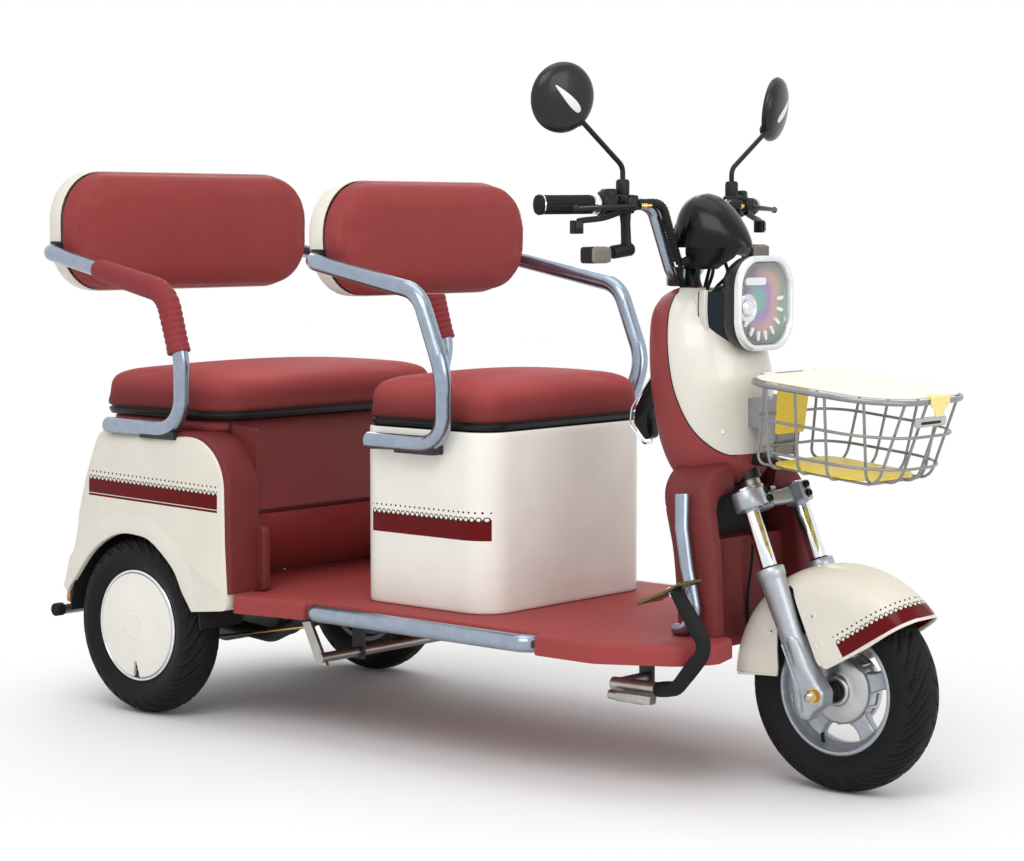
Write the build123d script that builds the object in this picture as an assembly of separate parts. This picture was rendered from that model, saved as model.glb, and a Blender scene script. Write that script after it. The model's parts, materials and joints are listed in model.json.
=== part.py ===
"""Electric leisure tricycle: one steered front wheel, two rear wheels, two seats.

+X points forward, +Y to the rider's left, +Z up, in millimetres. The ground is
z = 0 and the origin is under the middle of the whole machine. Stations along X
are measured from the rear axle or from the front axle, so that a longer
wheelbase moves the front end and stretches the floor.
"""

import math
import os

from build123d import *

# ---------------------------------------------------------------- overall sizes
wheelbase = 1489.0
rear_track = 663.0
origin_shift = 55.5
rear_x = -wheelbase / 2 + origin_shift
front_x = rear_x + wheelbase
gap = 0.3

# ---------------------------------------------------------------- wheels
tyre_radius = 184.0
tyre_width = 94.0
rim_radius = 116.6
bead_radius = 106.0
rim_wall = 4.0
rim_width = 66.0
wheel_z = tyre_radius
rear_wheel_y = rear_track / 2
hubcap_radius = 111.0
hubcap_crown = 7.0
drum_radius = 60.0
drum_width = 74.0
rear_drum_radius = 74.0
rear_drum_width = 54.0
spoke_count = 5
axle_radius = 7.0
stub_radius = 11.0
running_gap = 0.1

# ---------------------------------------------------------------- floor
floor_top = 275.0
floor_thickness = 11.0
skirt_depth = 36.0
skirt_wall = 4.0
floor_rear_x = rear_x + 93.0
floor_half_width = 342.0
floor_wide = 372.0
side_tube_radius = 16.5
side_tube_y = 338.0

# ---------------------------------------------------------------- frame below
rail_radius = 16.0
rail_y = 150.0
rail_z = floor_top - floor_thickness - rail_radius - gap
upper_rail_z = 418.0
rail_rear_x = rear_x - 190.0
beam_radius = 22.0
spine_radius = 14.0
arm_y = 205.0
cross_radius = 12.0
shaft_x = rear_x + 425.0
shaft_z = 150.0
shaft_radius = 10.0
rod_y = -245.0
pedal_pivot_x = front_x - 330.0
pedal_pivot_z = 186.0

# ---------------------------------------------------------------- rear body
body_half_width = 376.0
body_wall = 3.5
fender_top = 589.0
fender_shoulder = 36.0
fender_inner_y = 300.0
fender_front_x = rear_x + 276.0
fender_front_corner = 105.0
liner_radius = tyre_radius + 20.0
liner_wall = 3.0
liner_inner_y = 257.0
trim_depth = 7.0
bumper_x = rear_x - 262.0
bumper_z = 190.0
bumper_radius = 12.5
deck_top = 613.0
bench_front_x = rear_x + 228.0
bench_rear_x = rear_x - 164.0
bench_half_width = 334.0
bench_corner = 62.0
bench_bin_rear_x = rear_x - 102.0
bench_box_front_x = rear_x + 190.0
bench_box_low = 440.0

# ---------------------------------------------------------------- seats
band_height = 17.0
cushion_height = 76.0
driver_box_rear_x = rear_x + 526.5
driver_box_length = 330.0
driver_box_half_width = 245.0
driver_box_top = 619.0
driver_box_wall = 4.0
driver_box_corner = 46.0
lid_gap = 0.5
hinge_ahead = 5.5
hinge_radius = 4.0
hinge_below = 2.5
hinge_length = 46.0

# ---------------------------------------------------------------- seat tubes
arm_tube_radius = 16.5
arm_seat_gap = 0.914
arm_foot_inset = 3.0
bench_arm_foot_y = body_half_width - arm_foot_inset
bench_arm_foot_z = fender_top - fender_shoulder + math.sqrt(
    (fender_shoulder + arm_tube_radius + arm_seat_gap) ** 2 - (fender_shoulder - arm_foot_inset) ** 2
)
bench_arm_y = bench_arm_foot_y + 18.0
bench_back_x = rear_x - 261.5 - arm_tube_radius
bench_back_z = 950.0
driver_arm_foot_y = driver_box_half_width + arm_tube_radius + 4.5
driver_arm_foot_z = driver_box_top - 26.0
driver_arm_y = driver_arm_foot_y + 34.0
driver_back_x = driver_box_rear_x - 72.0 - arm_tube_radius
driver_back_z = 938.0
back_bend = arm_tube_radius + 14.5
sleeve_radius = arm_tube_radius + 7.5

# ---------------------------------------------------------------- backrests
bench_pad_half_width = 347.0
bench_pad_height = 257.0
bench_pad_z = 992.5
driver_pad_half_width = driver_box_half_width + 37.0
driver_pad_height = 230.0
driver_pad_z = 980.0
pad_thickness = 58.0
pad_corner = 105.0
pad_ahead = arm_tube_radius + 5.0
shell_behind = arm_tube_radius + 7.0
shell_wall = 3.0
notch_room = 2.5

# ---------------------------------------------------------------- steering
rake = 22.5
clamp_z = 501.0
clamp_height = 34.0
clamp_wall = 9.5
clamp_bridge = 38.0
clamp_boss = 27.0
fork_offset = 38.0
fork_half_spacing = 78.0
stanchion_radius = 15.5
leg_radius = 22.0
lug_half = 21.0
steer_x = front_x - 157.0 - fork_offset
stem_radius = 12.5
head_tube_radius = 24.0
head_tube_low = 542.0
head_tube_high = 872.0
bar_radius = 11.0
bar_end_y = 320.0
bar_z = 1043.0
bar_low_z = 912.0
grip_radius = 17.0
grip_length = 118.0
perch_radius = 19.0
loom_radius = 6.0

# ---------------------------------------------------------------- front fender
fender_radius = 216.0
fender_half_width = 70.0
fender_wall = 3.0

# ---------------------------------------------------------------- column
shield_half_width = 165.0
shield_inner_half = 117.0
shield_top = 548.0
shield_front_x = front_x - 227.0
rail_front_x = shield_front_x - 66.0
panel_thickness = 4.0
panel_top = 440.0
guard_radius = 15.0

# ---------------------------------------------------------------- headlamp
lamp_x = front_x - 182.0
lamp_z = 866.0
lamp_half = 86.0
lamp_corner = 58.0
lamp_depth = 52.0

# ---------------------------------------------------------------- basket
basket_rear_x = front_x - 123.0
basket_length = 305.0
basket_half_width = 155.0
basket_rim_z = 735.0
basket_depth = 150.0
basket_slope = 5.6
basket_corner = 105.0
basket_rear_corner = 62.0
basket_rim_radius = 5.0
basket_wire_radius = 2.6
basket_lid_thickness = 5.0
lid_barrel_radius = 2.4
lid_barrel_x = -7.5
lid_barrel_y = 60.0

# ---------------------------------------------------------------- helpers


def save(name, shape):
    """Write one node as a STEP file."""
    export_step(shape, os.path.join("parts", name + ".step"))


def group(*shapes):
    """Several solids that do not touch, kept in one node."""
    return Compound(children=[solid for shape in shapes for solid in shape.solids()])


def both_sides(shape):
    """A shape and its mirror image across the middle of the machine."""
    return group(shape, mirror(shape, about=Plane.XZ))


def bar(start, end, radius):
    """A straight round bar."""
    return rod([start, end], radius)


def rod(points, radius, bends=None):
    """A round bar that follows straight runs joined by tangent arcs."""
    if len(points) == 2:
        path = Line(*points)
    else:
        path = FilletPolyline(*points, radius=bends)
    section = Plane(origin=path @ 0, z_dir=path % 0) * Circle(radius)
    return sweep(section, path=path)


def disc(x, y, z, radius, width):
    """A round disc or drum whose axis lies along Y, centred on a point."""
    return Pos(x, y, z) * Rot(90, 0, 0) * Cylinder(radius, width)


def turned(profile, centre=(0, 0, 0)):
    """Turn a closed profile, given as (radius, offset) pairs, about an axle."""
    face = make_face(Polyline(*[(r, y, 0) for r, y in profile], close=True))
    return Pos(*centre) * revolve(face, Axis.Y)


def side_face(points, radii=None):
    """A face in the XZ plane from a closed outline, with rounded corners if asked."""
    corners = [(x, z) for x, z in points]
    if radii is None:
        return make_face(Polyline(*corners, close=True))
    return make_face(FilletPolyline(*corners, radius=radii, close=True))


def across(face, y_low, y_high):
    """Extrude a face drawn in XZ between two Y stations."""
    block = extrude(face, amount=y_high - y_low)
    return Pos(0, y_high, 0) * Rot(90, 0, 0) * block


def plate(points, y_low, y_high, radii=None):
    """A plate with an XZ outline between two Y stations."""
    return across(side_face(points, radii), y_low, y_high)


def plan_block(x_low, x_high, half_width, z_low, z_high, corner):
    """A block with rounded upright corners."""
    outline = RectangleRounded(x_high - x_low, 2 * half_width, corner)
    return Pos((x_low + x_high) / 2, 0, z_low) * extrude(outline, amount=z_high - z_low)


def block(x_low, x_high, y_low, y_high, z_low, z_high):
    """A plain block between two corners."""
    middle = Pos((x_low + x_high) / 2, (y_low + y_high) / 2, (z_low + z_high) / 2)
    return middle * Box(x_high - x_low, y_high - y_low, z_high - z_low)


def steer_point(z, ahead=0.0, y=0.0):
    """A point level with the steering axis at a height, moved ahead square to it."""
    tilt = math.radians(rake)
    return (
        steer_x - (z - clamp_z) * math.tan(tilt) + ahead / math.cos(tilt),
        y,
        z,
    )


def on_fork(z, ahead, y):
    """A placement on the fork, turned so that its Z runs along the steering axis."""
    x, _, _ = steer_point(z, ahead)
    return Pos(x, y, z) * Rot(0, -rake, 0)


# ---------------------------------------------------------------- wheels


def tyre(centre):
    """A tyre with a round tread, seated on the rim."""
    half = tyre_width / 2
    seat = bead_radius + gap
    lip = rim_radius + 2 * gap
    edge = rim_width / 2
    right = [(seat, edge - 9), (lip, edge - 7), (lip + 1, edge + 1)]
    left = [(r, -y) for r, y in reversed(right)]
    carcass = Spline(
        right[-1],
        (147, half),
        (171, half * 0.72),
        (tyre_radius, 0),
        (171, -half * 0.72),
        (147, -half),
        left[0],
    )
    outline = [Polyline(*left, *right), carcass]
    return Pos(*centre) * revolve(make_face(outline), Axis.Y)


def rim_ring():
    """The well of a rim: two flanges and a drop centre."""
    edge = rim_width / 2
    well = bead_radius - rim_wall
    half = [
        (well - 12, edge - 14),
        (well, edge),
        (rim_radius, edge),
        (rim_radius, edge - 6),
        (bead_radius, edge - 8),
        (bead_radius - 10, edge - 16),
    ]
    return turned(half + [(r, -y) for r, y in reversed(half)])


def front_rim():
    """The cast front wheel: a ring, broad spokes and a bored brake drum."""
    bore = axle_radius + running_gap
    half = drum_width / 2
    hub = turned(
        [
            (bore, -half),
            (26, -half),
            (30, -half + 10),
            (drum_radius, -half + 14),
            (drum_radius + 4, half - 20),
            (drum_radius + 4, half - 6),
            (bore, half - 6),
        ]
    )
    wheel = rim_ring() + hub
    reach = bead_radius - rim_wall - 8 - drum_radius
    for index in range(spoke_count):
        blade = Pos(drum_radius + reach / 2, 0, 0) * Box(reach + 6, 24, 24)
        wheel += Rot(0, 17 - index * 360 / spoke_count, 0) * blade
    return Pos(front_x, 0, wheel_z) * wheel


def rear_wheel(side):
    """A pressed rear wheel with its drum and outer cap; side is -1 or 1."""
    outer = rim_width / 2 + 2.6
    well = bead_radius - rim_wall - 10
    profile = [
        (stub_radius + running_gap, -6 - rear_drum_width),
        (rear_drum_radius, -6 - rear_drum_width),
        (rear_drum_radius, -6),
        (well, 14),
        (well, 22),
        (rear_drum_radius, 4),
        (30, 4),
        (30, outer - 8),
        (hubcap_radius - 4, outer - 8),
        (hubcap_radius, outer - 4),
        (hubcap_radius - 12, outer + hubcap_crown * 0.4),
        (0, outer + hubcap_crown),
        (0, 2),
        (stub_radius + running_gap, 2),
    ]
    wheel = rim_ring() + turned(profile)
    if side < 0:
        wheel = mirror(wheel, about=Plane.XZ)
    return Pos(rear_x, side * rear_wheel_y, wheel_z) * wheel


# ---------------------------------------------------------------- frame and axle


def spine(radius):
    """Centre tube from the floor frame up to the steering head."""
    low = (rail_front_x - 14, 0, rail_z)
    middle = (steer_point(head_tube_low + 60)[0] - 52, 0, head_tube_low - 60)
    high = steer_point(head_tube_low + 60, -14)
    return bar(low, middle, radius) + Pos(*middle) * Sphere(radius) + bar(middle, high, radius)


def hanger(x, y, z):
    """A plate that hangs from a rail and carries a shaft along Y."""
    lug = block(x - 15, x + 15, y - 4, y + 4, z - 15, rail_z)
    return lug - disc(x, y, z, shaft_radius + gap, 20)


def chassis_frame():
    """Welded floor frame: rails, cross tubes, spine, hangers and steering head."""
    rail = rod(
        [
            (rail_rear_x, rail_y, upper_rail_z),
            (rear_x + 22, rail_y, upper_rail_z),
            (rear_x + 40, rail_y, rail_z),
            (rail_front_x, rail_y, rail_z),
        ],
        rail_radius,
        [50, 60],
    )
    frame = rail + mirror(rail, about=Plane.XZ)
    side_reach = floor_half_width - 66 - gap
    for x, reach in (
        (rear_x + 150, rail_y + 90),
        (rear_x + 470, side_reach),
        (driver_box_rear_x + driver_box_length, side_reach),
        (rail_front_x - 14, side_reach - 40),
    ):
        frame += bar((x, -reach, rail_z), (x, reach, rail_z), cross_radius)
    for x, reach in ((rail_rear_x + 14, rail_y), (rear_x + 16, arm_y + 20)):
        frame += bar((x, -reach, upper_rail_z), (x, reach, upper_rail_z), cross_radius)
    frame += spine(spine_radius)
    frame += bar(steer_point(head_tube_low), steer_point(head_tube_high), head_tube_radius)
    for y in (-rail_y, rail_y):
        frame += hanger(shaft_x, y, shaft_z)
    frame += hanger(pedal_pivot_x, -rail_y, pedal_pivot_z)
    frame += arm_pivots() + mirror(arm_pivots(), about=Plane.XZ)
    return frame - bar(steer_point(head_tube_low - 20), steer_point(head_tube_high + 20), stem_radius + running_gap)


def rear_axle():
    """Axle beam with stub shafts that carry the rear wheels."""
    inner = rear_wheel_y - rear_drum_width - 12
    beam = bar((rear_x, -inner, wheel_z), (rear_x, inner, wheel_z), beam_radius)
    stub = bar((rear_x, inner - 5, wheel_z), (rear_x, rear_wheel_y, wheel_z), stub_radius)
    arm = plate(
        [(rear_x - 16, wheel_z + 20), (rear_x + 16, wheel_z + 20), (rear_x + 74, 156), (rear_x + 72, 142), (rear_x, 160)],
        rod_y - 3 - gap - 6,
        rod_y - 3 - gap,
    )
    return beam + arm + stub + mirror(stub, about=Plane.XZ)


def drive_motor():
    """Differential case and motor, clamped round the middle of the axle."""
    body = disc(rear_x, 20, wheel_z, 72, 70) + disc(rear_x, -70, wheel_z, 62, 112)
    return body - disc(rear_x, 0, wheel_z, beam_radius + gap, 400)


def rear_suspension():
    """Trailing arms from the frame to the axle, with a damper above each."""
    front_z = rail_z - 34
    arm = rod(
        [
            (rear_x + 330, arm_y, front_z),
            (rear_x + 230, arm_y, front_z - 46),
            (rear_x, arm_y, wheel_z),
        ],
        15,
        [60],
    )
    arm += disc(rear_x + 330, arm_y, front_z, 20, 40)
    arm += disc(rear_x, arm_y, wheel_z, 34, 40)
    arm -= disc(rear_x, arm_y, wheel_z, beam_radius + gap, 60)
    top = upper_rail_z - cross_radius - gap
    damper = bar((rear_x, arm_y, wheel_z + 34 + gap), (rear_x + 12, arm_y, top), 22)
    return both_sides(group(arm, damper))


def arm_pivots():
    """Brackets that hang the trailing arms from the frame."""
    lug = block(rear_x + 316, rear_x + 344, arm_y - 26, arm_y - 21, rail_z - 50, rail_z + 4)
    lug += block(rear_x + 316, rear_x + 344, rail_y, arm_y - 21, rail_z - 4, rail_z + 4)
    lug += bar((rear_x + 330, arm_y - 24, rail_z - 34), (rear_x + 330, arm_y - 20 - gap, rail_z - 34), 9)
    return lug


# ---------------------------------------------------------------- floor


def floor_outline(inset):
    """Plan of the floor board, drawn in from its edge by an inset."""
    well = liner_inner_y - 1
    wide = floor_wide - inset
    straight = floor_half_width - inset
    front = fender_front_x + trim_depth
    right = [
        (floor_rear_x + inset, -well + inset),
        (front + 2 + inset, -well + inset),
        (front + 2 + inset, -wide),
        (rear_x + 440, -straight),
        (front_x - 440, -straight),
        (front_x - 428, -straight - 8),
        (front_x - 300, -straight - 2),
        (front_x - 170, -270 + inset),
        (front_x - 126 - inset, -208 + inset),
        (front_x - 150 - inset, -shield_inner_half - 12),
        (shield_front_x - inset, -shield_inner_half - 8),
    ]
    return right + [(x, -y) for x, y in reversed(right)]


def floor_board():
    """Moulded floor with a skirt round its edge."""
    low = floor_top - skirt_depth
    board = Pos(0, 0, low) * extrude(make_face(Polyline(*floor_outline(0), close=True)), amount=skirt_depth)
    under = make_face(Polyline(*floor_outline(skirt_wall), close=True))
    board -= Pos(0, 0, low) * extrude(under, amount=skirt_depth - floor_thickness)
    for side in (-1, 1):
        edge = side * (side_tube_y - side_tube_radius)
        far = side * (side_tube_y + 60)
        y_low, y_high = sorted((edge, far))
        board -= block(rear_x + 457, front_x - 440, y_low, y_high, low - 5, floor_top + 5)
    for tube in side_tubes(gap).solids():
        board -= tube
    for y in (-rail_y, rail_y):
        board -= bar((floor_rear_x - 10, y, rail_z), (floor_rear_x + 10, y, rail_z), rail_radius + gap)
    middle = (steer_point(head_tube_low + 60)[0] - 52, 0, head_tube_low - 60)
    board -= bar((rail_front_x - 14, 0, rail_z), middle, spine_radius + gap)
    return board


def side_tubes(grow=0.0):
    """Bright tubes along both floor edges, bent in under the floor at their ends."""
    z = floor_top - 19
    inner = floor_half_width - 66
    points = [
        (rear_x + 477, inner, z - 2),
        (rear_x + 477, side_tube_y, z),
        (front_x - 457, side_tube_y, z),
        (front_x - 457, inner, z - 2),
    ]
    return both_sides(rod(points, side_tube_radius + grow, [26, 26]))


# ---------------------------------------------------------------- rear body


def fender_face():
    """Side outline of the rear body."""
    points = [
        (rear_x - 222, 243),
        (rear_x - 170, 470),
        (rear_x - 122, fender_top),
        (fender_front_x, fender_top),
        (fender_front_x, 243),
        (rear_x + 176, 231),
        (rear_x - 100, 231),
    ]
    return side_face(points, [4, 300, 40, fender_front_corner, 8, 4, 4])


def arch_cut():
    """Side shape of the wheel opening."""
    crown = Spline(
        (rear_x - 214, 236),
        (rear_x - 180, 273),
        (rear_x - 137, 320),
        (rear_x - 42, 371),
        (rear_x + 59, 362),
        (rear_x + 122, 314),
        (rear_x + 151, 266),
        (rear_x + 175, 231),
    )
    base = Polyline(crown @ 1, (rear_x + 175, 150), (rear_x - 214, 150), crown @ 0)
    return make_face([crown, base])


def body_block(inset):
    """Solid side of the rear body with a rounded shoulder, drawn in by an inset."""
    half = body_half_width - inset
    outline = fender_face()
    if inset:
        outline = offset(outline, -inset)
    side = across(outline, -half, -fender_inner_y + inset)
    section = Plane.YZ * Pos(0, wheel_z) * RectangleRounded(
        2 * half, 2 * (fender_top - inset - wheel_z), fender_shoulder - inset
    )
    return side & extrude(section, amount=wheelbase, both=True)


def fender():
    """Right rear fender: a hollow side panel with a round wheel arch."""
    panel = body_block(0) - body_block(body_wall)
    panel -= across(arch_cut(), -body_half_width - 10, -fender_inner_y + 10)
    depth = 2 * (body_half_width - body_wall - fender_inner_y)
    return panel - disc(rear_x - 6, -fender_inner_y, wheel_z, liner_radius + gap, depth)


def wheel_liners():
    """Black arches inside the rear fenders."""
    outer_y = body_half_width - body_wall - 1
    length = outer_y - liner_inner_y
    centre = -(liner_inner_y + length / 2)
    liner = disc(rear_x - 6, centre, wheel_z, liner_radius, length)
    liner -= disc(rear_x - 6, centre - liner_wall, wheel_z, liner_radius - liner_wall, length)
    liner -= disc(rear_x, centre, wheel_z, beam_radius + 4, 2 * length)
    liner -= block(rear_x - 300, rear_x + 300, -500, 0, -100, wheel_z + 12)
    return both_sides(liner)


def deck():
    """Red deck under the bench, with the storage bin that hangs from it."""
    wall = 4.0
    x_low = bench_rear_x + 14
    x_high = bench_front_x - 30
    half = bench_half_width - 14
    low = fender_top + gap
    tray = plan_block(x_low, x_high, half, low, deck_top, bench_corner - 10)
    tray -= plan_block(x_low + wall, x_high - wall, half - wall, low + wall, deck_top + 1, bench_corner - 14)
    bin_half = liner_inner_y - 3
    bin_low_x = bench_bin_rear_x
    bin_outer = plan_block(bin_low_x, bench_box_front_x, bin_half, bench_box_low, low + wall, 20)
    bin_inner = plan_block(
        bin_low_x + wall, bench_box_front_x - wall, bin_half - wall, bench_box_low + wall, low + wall + 1, 16
    )
    return tray + bin_outer - bin_inner


def footwell():
    """Red heel board with its shelf, and the trims that wrap the body's front edges."""
    half = liner_inner_y - gap
    x_face = fender_front_x + trim_depth
    board = plate(
        [
            (bench_box_front_x + 0.5, deck_top - 30),
            (x_face - 22, 434),
            (x_face - 44, 424),
            (floor_rear_x + 2, floor_top + gap),
            (floor_rear_x + 7, floor_top + gap),
            (x_face - 40, 419),
            (x_face - 14, 431),
            (x_face - 14, 438),
            (bench_box_front_x + 8, deck_top - 30),
        ],
        -half,
        half,
    )
    face = fender_face()
    ring = offset(face, trim_depth) - offset(face, gap)
    trim = across(ring, -body_half_width + 4, -half)
    keep = block(rear_x + 172, x_face + 20, -body_half_width, -half, floor_top + gap, fender_top)
    trim = trim & keep
    heel = plate(
        [(x_face - 10, floor_top + gap), (x_face + 22, floor_top + gap), (x_face + 22, 394), (x_face - 10, 408)],
        -half - 12,
        -half,
    )
    cheek = plate(
        [
            (floor_rear_x + 2, floor_top + gap),
            (x_face - 7, floor_top + gap),
            (x_face - 7, deck_top - 60),
            (bench_box_front_x + 2, deck_top - 60),
            (x_face - 60, 424),
        ],
        -half,
        -half + 4,
    )
    side = trim + heel + cheek
    return board + side + mirror(side, about=Plane.XZ)


def tail_panel():
    """Cream panel that closes the back between the fenders."""
    wall = body_wall
    points = [(rear_x - 240, 262), (rear_x - 226, 400), (rear_x - 180, 510), (rear_x - 128, fender_top - 2)]
    outer = Spline(*points)
    inner = Spline(*[(x + wall, z) for x, z in points])
    face = make_face([outer, Line(outer @ 1, inner @ 1), inner, Line(inner @ 0, outer @ 0)])
    half = fender_inner_y - 2
    flange = block(rear_x - 130, bench_bin_rear_x - 1, -half, half, fender_top - 4, fender_top)
    return across(face, -half, half) + flange


def tail_lamps():
    """Amber lamps in black housings, seated on the rear bumper tube."""
    low = bumper_z + bumper_radius + gap
    lamp = block(bumper_x - 6, bumper_x + 38, -346, -296, low, low + 58)
    lamp = fillet(lamp.edges().filter_by(Axis.Y).group_by(Axis.Z)[-1], 10)
    return both_sides(lamp)


def rear_bumper():
    """Round tube behind the wheels, carried by two stays from the frame."""
    x = bumper_x
    z = bumper_z
    tube = bar((x, -368, z), (x, 368, z), bumper_radius)
    stay_x = rail_rear_x - gap - 8
    stay = rod([(x, rail_y, z), (stay_x, rail_y, z + 46), (stay_x, rail_y, upper_rail_z + 6)], 8, [30])
    return tube + stay + mirror(stay, about=Plane.XZ)


# ---------------------------------------------------------------- seats


def lid_barrels(front, top, spread):
    """Hinge barrels with their leaves under the front edge of a lid."""
    x = front + hinge_ahead
    z = top - hinge_below
    barrels = Part()
    for y in (-spread, spread):
        low, high = y - hinge_length / 2, y + hinge_length / 2
        barrels += bar((x, low, z), (x, high, z), hinge_radius)
        barrels += block(front - 6, x, low, high, top + lid_gap, z + hinge_radius + 1)
    return barrels


def bench_base():
    """Black pan under the bench cushion, with its hinge barrels."""
    low = deck_top + lid_gap
    pan = plan_block(bench_rear_x, bench_front_x, bench_half_width, low, low + band_height, bench_corner)
    return pan + lid_barrels(bench_front_x, deck_top, bench_half_width * 0.55)


def bench_cushion():
    """Bench cushion."""
    low = deck_top + lid_gap + band_height + gap
    pad = plan_block(bench_rear_x, bench_front_x, bench_half_width, low, low + cushion_height, bench_corner)
    return fillet(pad.edges().group_by(Axis.Z)[-1], 20)


def driver_base():
    """Black pan under the driver's cushion, with its hinge barrels."""
    low = driver_box_top + lid_gap
    front = driver_box_rear_x + driver_box_length
    half = driver_box_half_width - 1
    pan = plan_block(driver_box_rear_x, front, half, low, low + band_height, driver_box_corner)
    return pan + lid_barrels(front, driver_box_top, half * 0.5)


def driver_cushion():
    """Driver's cushion."""
    low = driver_box_top + lid_gap + band_height + gap
    pad = plan_block(
        driver_box_rear_x,
        driver_box_rear_x + driver_box_length,
        driver_box_half_width - 1,
        low,
        low + cushion_height,
        driver_box_corner,
    )
    return fillet(pad.edges().group_by(Axis.Z)[-1], 20)


def driver_box():
    """Hollow cream box that carries the driver's seat."""
    low = floor_top + gap
    front = driver_box_rear_x + driver_box_length
    half = driver_box_half_width
    wall = driver_box_wall
    outer = plan_block(driver_box_rear_x, front, half, low, driver_box_top, driver_box_corner)
    inner = plan_block(
        driver_box_rear_x + wall,
        front - wall,
        half - wall,
        low + wall,
        driver_box_top + 1,
        driver_box_corner - wall,
    )
    return outer - inner


def battery():
    """Battery pack on the floor of the driver's box."""
    low = floor_top + gap + driver_box_wall + gap
    x = driver_box_rear_x + 40
    return block(x, x + 250, -185, 185, low, low + 172)


def arm_path(foot_rear, foot_front, foot_y, foot_z, arm_y_top, knee, elbow, back):
    """Right half of an arm tube's route, from its foot to the middle of its back run."""
    return [
        (foot_rear, -foot_y, foot_z),
        (foot_front, -foot_y, foot_z),
        (knee[0], -arm_y_top, knee[1]),
        (elbow[0], -arm_y_top, elbow[1]),
        (back[0], -back[1], back[2]),
    ]


def bench_arm_route():
    """Route of the bench arm tube, from the right foot to the left foot."""
    right = arm_path(
        rear_x - 76,
        rear_x + 150,
        bench_arm_foot_y,
        bench_arm_foot_z,
        bench_arm_y,
        (rear_x + 172, 740),
        (rear_x + 128, 872),
        (bench_back_x, bench_pad_half_width + arm_tube_radius + 2.5, bench_back_z),
    )
    return right + [(x, -y, z) for x, y, z in reversed(right)]


def driver_arm_route():
    """Route of the driver's arm tube, from the right foot to the left foot."""
    right = arm_path(
        driver_box_rear_x + 42,
        driver_box_rear_x + driver_box_length - 92,
        driver_arm_foot_y,
        driver_arm_foot_z,
        driver_arm_y,
        (driver_box_rear_x + 268, 730),
        (driver_box_rear_x + 206, 882),
        (driver_back_x, driver_pad_half_width + arm_tube_radius + 1.5, driver_back_z),
    )
    return right + [(x, -y, z) for x, y, z in reversed(right)]


bench_bends = [80, 110, 60, back_bend, back_bend, 60, 110, 80]
driver_bends = [74, 110, 60, back_bend, back_bend, 60, 110, 74]


def bench_arm_tube():
    """Bent tube that carries the bench backrest and makes both armrests."""
    return rod(bench_arm_route(), arm_tube_radius, bench_bends)


def driver_arm_tube():
    """Bent tube that carries the driver's backrest and makes both armrests."""
    return rod(driver_arm_route(), arm_tube_radius, driver_bends)


def arm_brackets():
    """Black blocks between the arm tubes' feet and what they are bolted to."""
    z = bench_arm_foot_z
    bench = block(rear_x + 92, rear_x + 140, -bench_arm_foot_y - 10, -bench_arm_foot_y + 34, z - 19, z)
    bench -= bar((rear_x, -bench_arm_foot_y, z), (rear_x + 150, -bench_arm_foot_y, z), arm_tube_radius + gap)
    bench -= across(fender_face(), -body_half_width, -fender_inner_y)
    x = driver_box_rear_x + 188
    y = driver_arm_foot_y
    driver = block(x, x + 48, -y - 6, -driver_box_half_width - gap, driver_arm_foot_z - 20, driver_arm_foot_z)
    driver -= bar((x - 60, -y, driver_arm_foot_z), (x + 90, -y, driver_arm_foot_z), arm_tube_radius + gap)
    return both_sides(group(max(bench.solids(), key=lambda s: s.volume), max(driver.solids(), key=lambda s: s.volume)))


def arm_sleeves():
    """Foam sleeves over the elbows of the bench arm tube."""
    route = bench_arm_route()
    knee, elbow, back = (Vector(*p) for p in route[2:5])
    start = knee + (elbow - knee) * 0.18
    end = elbow + (back - elbow) * 0.56
    points = [tuple(start), tuple(elbow), tuple(end)]
    sleeve = rod(points, sleeve_radius, [60]) - rod(points, arm_tube_radius + gap, [60])
    return both_sides(sleeve)


def back_outline(half_width, height, inset=0.0):
    """Front outline of a backrest, in a YZ plane, drawn in by an inset."""
    return RectangleRounded(2 * (half_width - inset), height - 2 * inset, pad_corner - inset)


def back_block(x_low, x_high, z, half_width, height, inset=0.0):
    """A block with the backrest outline, between two X stations."""
    sketch = Plane(origin=(x_low, 0, z), x_dir=(0, 1, 0), z_dir=(1, 0, 0)) * back_outline(half_width, height, inset)
    return extrude(sketch, amount=x_high - x_low, dir=(1, 0, 0))


def backrest_pad(tube_x, z, half_width, height):
    """Padded front of a backrest."""
    x_low = tube_x + pad_ahead + gap
    pad = back_block(x_low, x_low + pad_thickness, z, half_width, height)
    return fillet(pad.edges().group_by(Axis.X)[-1], 22)


def backrest_shell(tube_x, tube_z, z, half_width, height):
    """Cream tray behind a backrest, notched at each side for the tube."""
    x_low = tube_x - shell_behind
    x_high = tube_x + pad_ahead
    tray = back_block(x_low, x_high, z, half_width, height)
    tray = fillet(tray.edges().group_by(Axis.X)[0], 16)
    hollow = back_block(x_low + shell_wall, x_high + 1, z, half_width, height, shell_wall)
    hollow = fillet(hollow.edges().group_by(Axis.X)[0], 13)
    tray -= hollow
    reach = arm_tube_radius + notch_room
    for side in (-1, 1):
        y_low, y_high = sorted((side * (half_width - 50), side * (half_width + 40)))
        tray -= block(tube_x - reach, x_high + 5, y_low, y_high, tube_z - reach - 2, tube_z + reach + 2)
    return tray


def back_clamps():
    """Saddles that bolt each backrest to its tube."""
    saddles = []
    for tube_x, tube_z, half_width in (
        (bench_back_x, bench_back_z, bench_pad_half_width),
        (driver_back_x, driver_back_z, driver_pad_half_width),
    ):
        for side in (-1, 1):
            y = side * half_width * 0.5
            saddle = block(tube_x, tube_x + pad_ahead, y - 20, y + 20, tube_z - 24, tube_z + 24)
            saddles.append(saddle - bar((tube_x, y - 40, tube_z), (tube_x, y + 40, tube_z), arm_tube_radius + gap))
    return group(*saddles)


# ---------------------------------------------------------------- column


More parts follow.
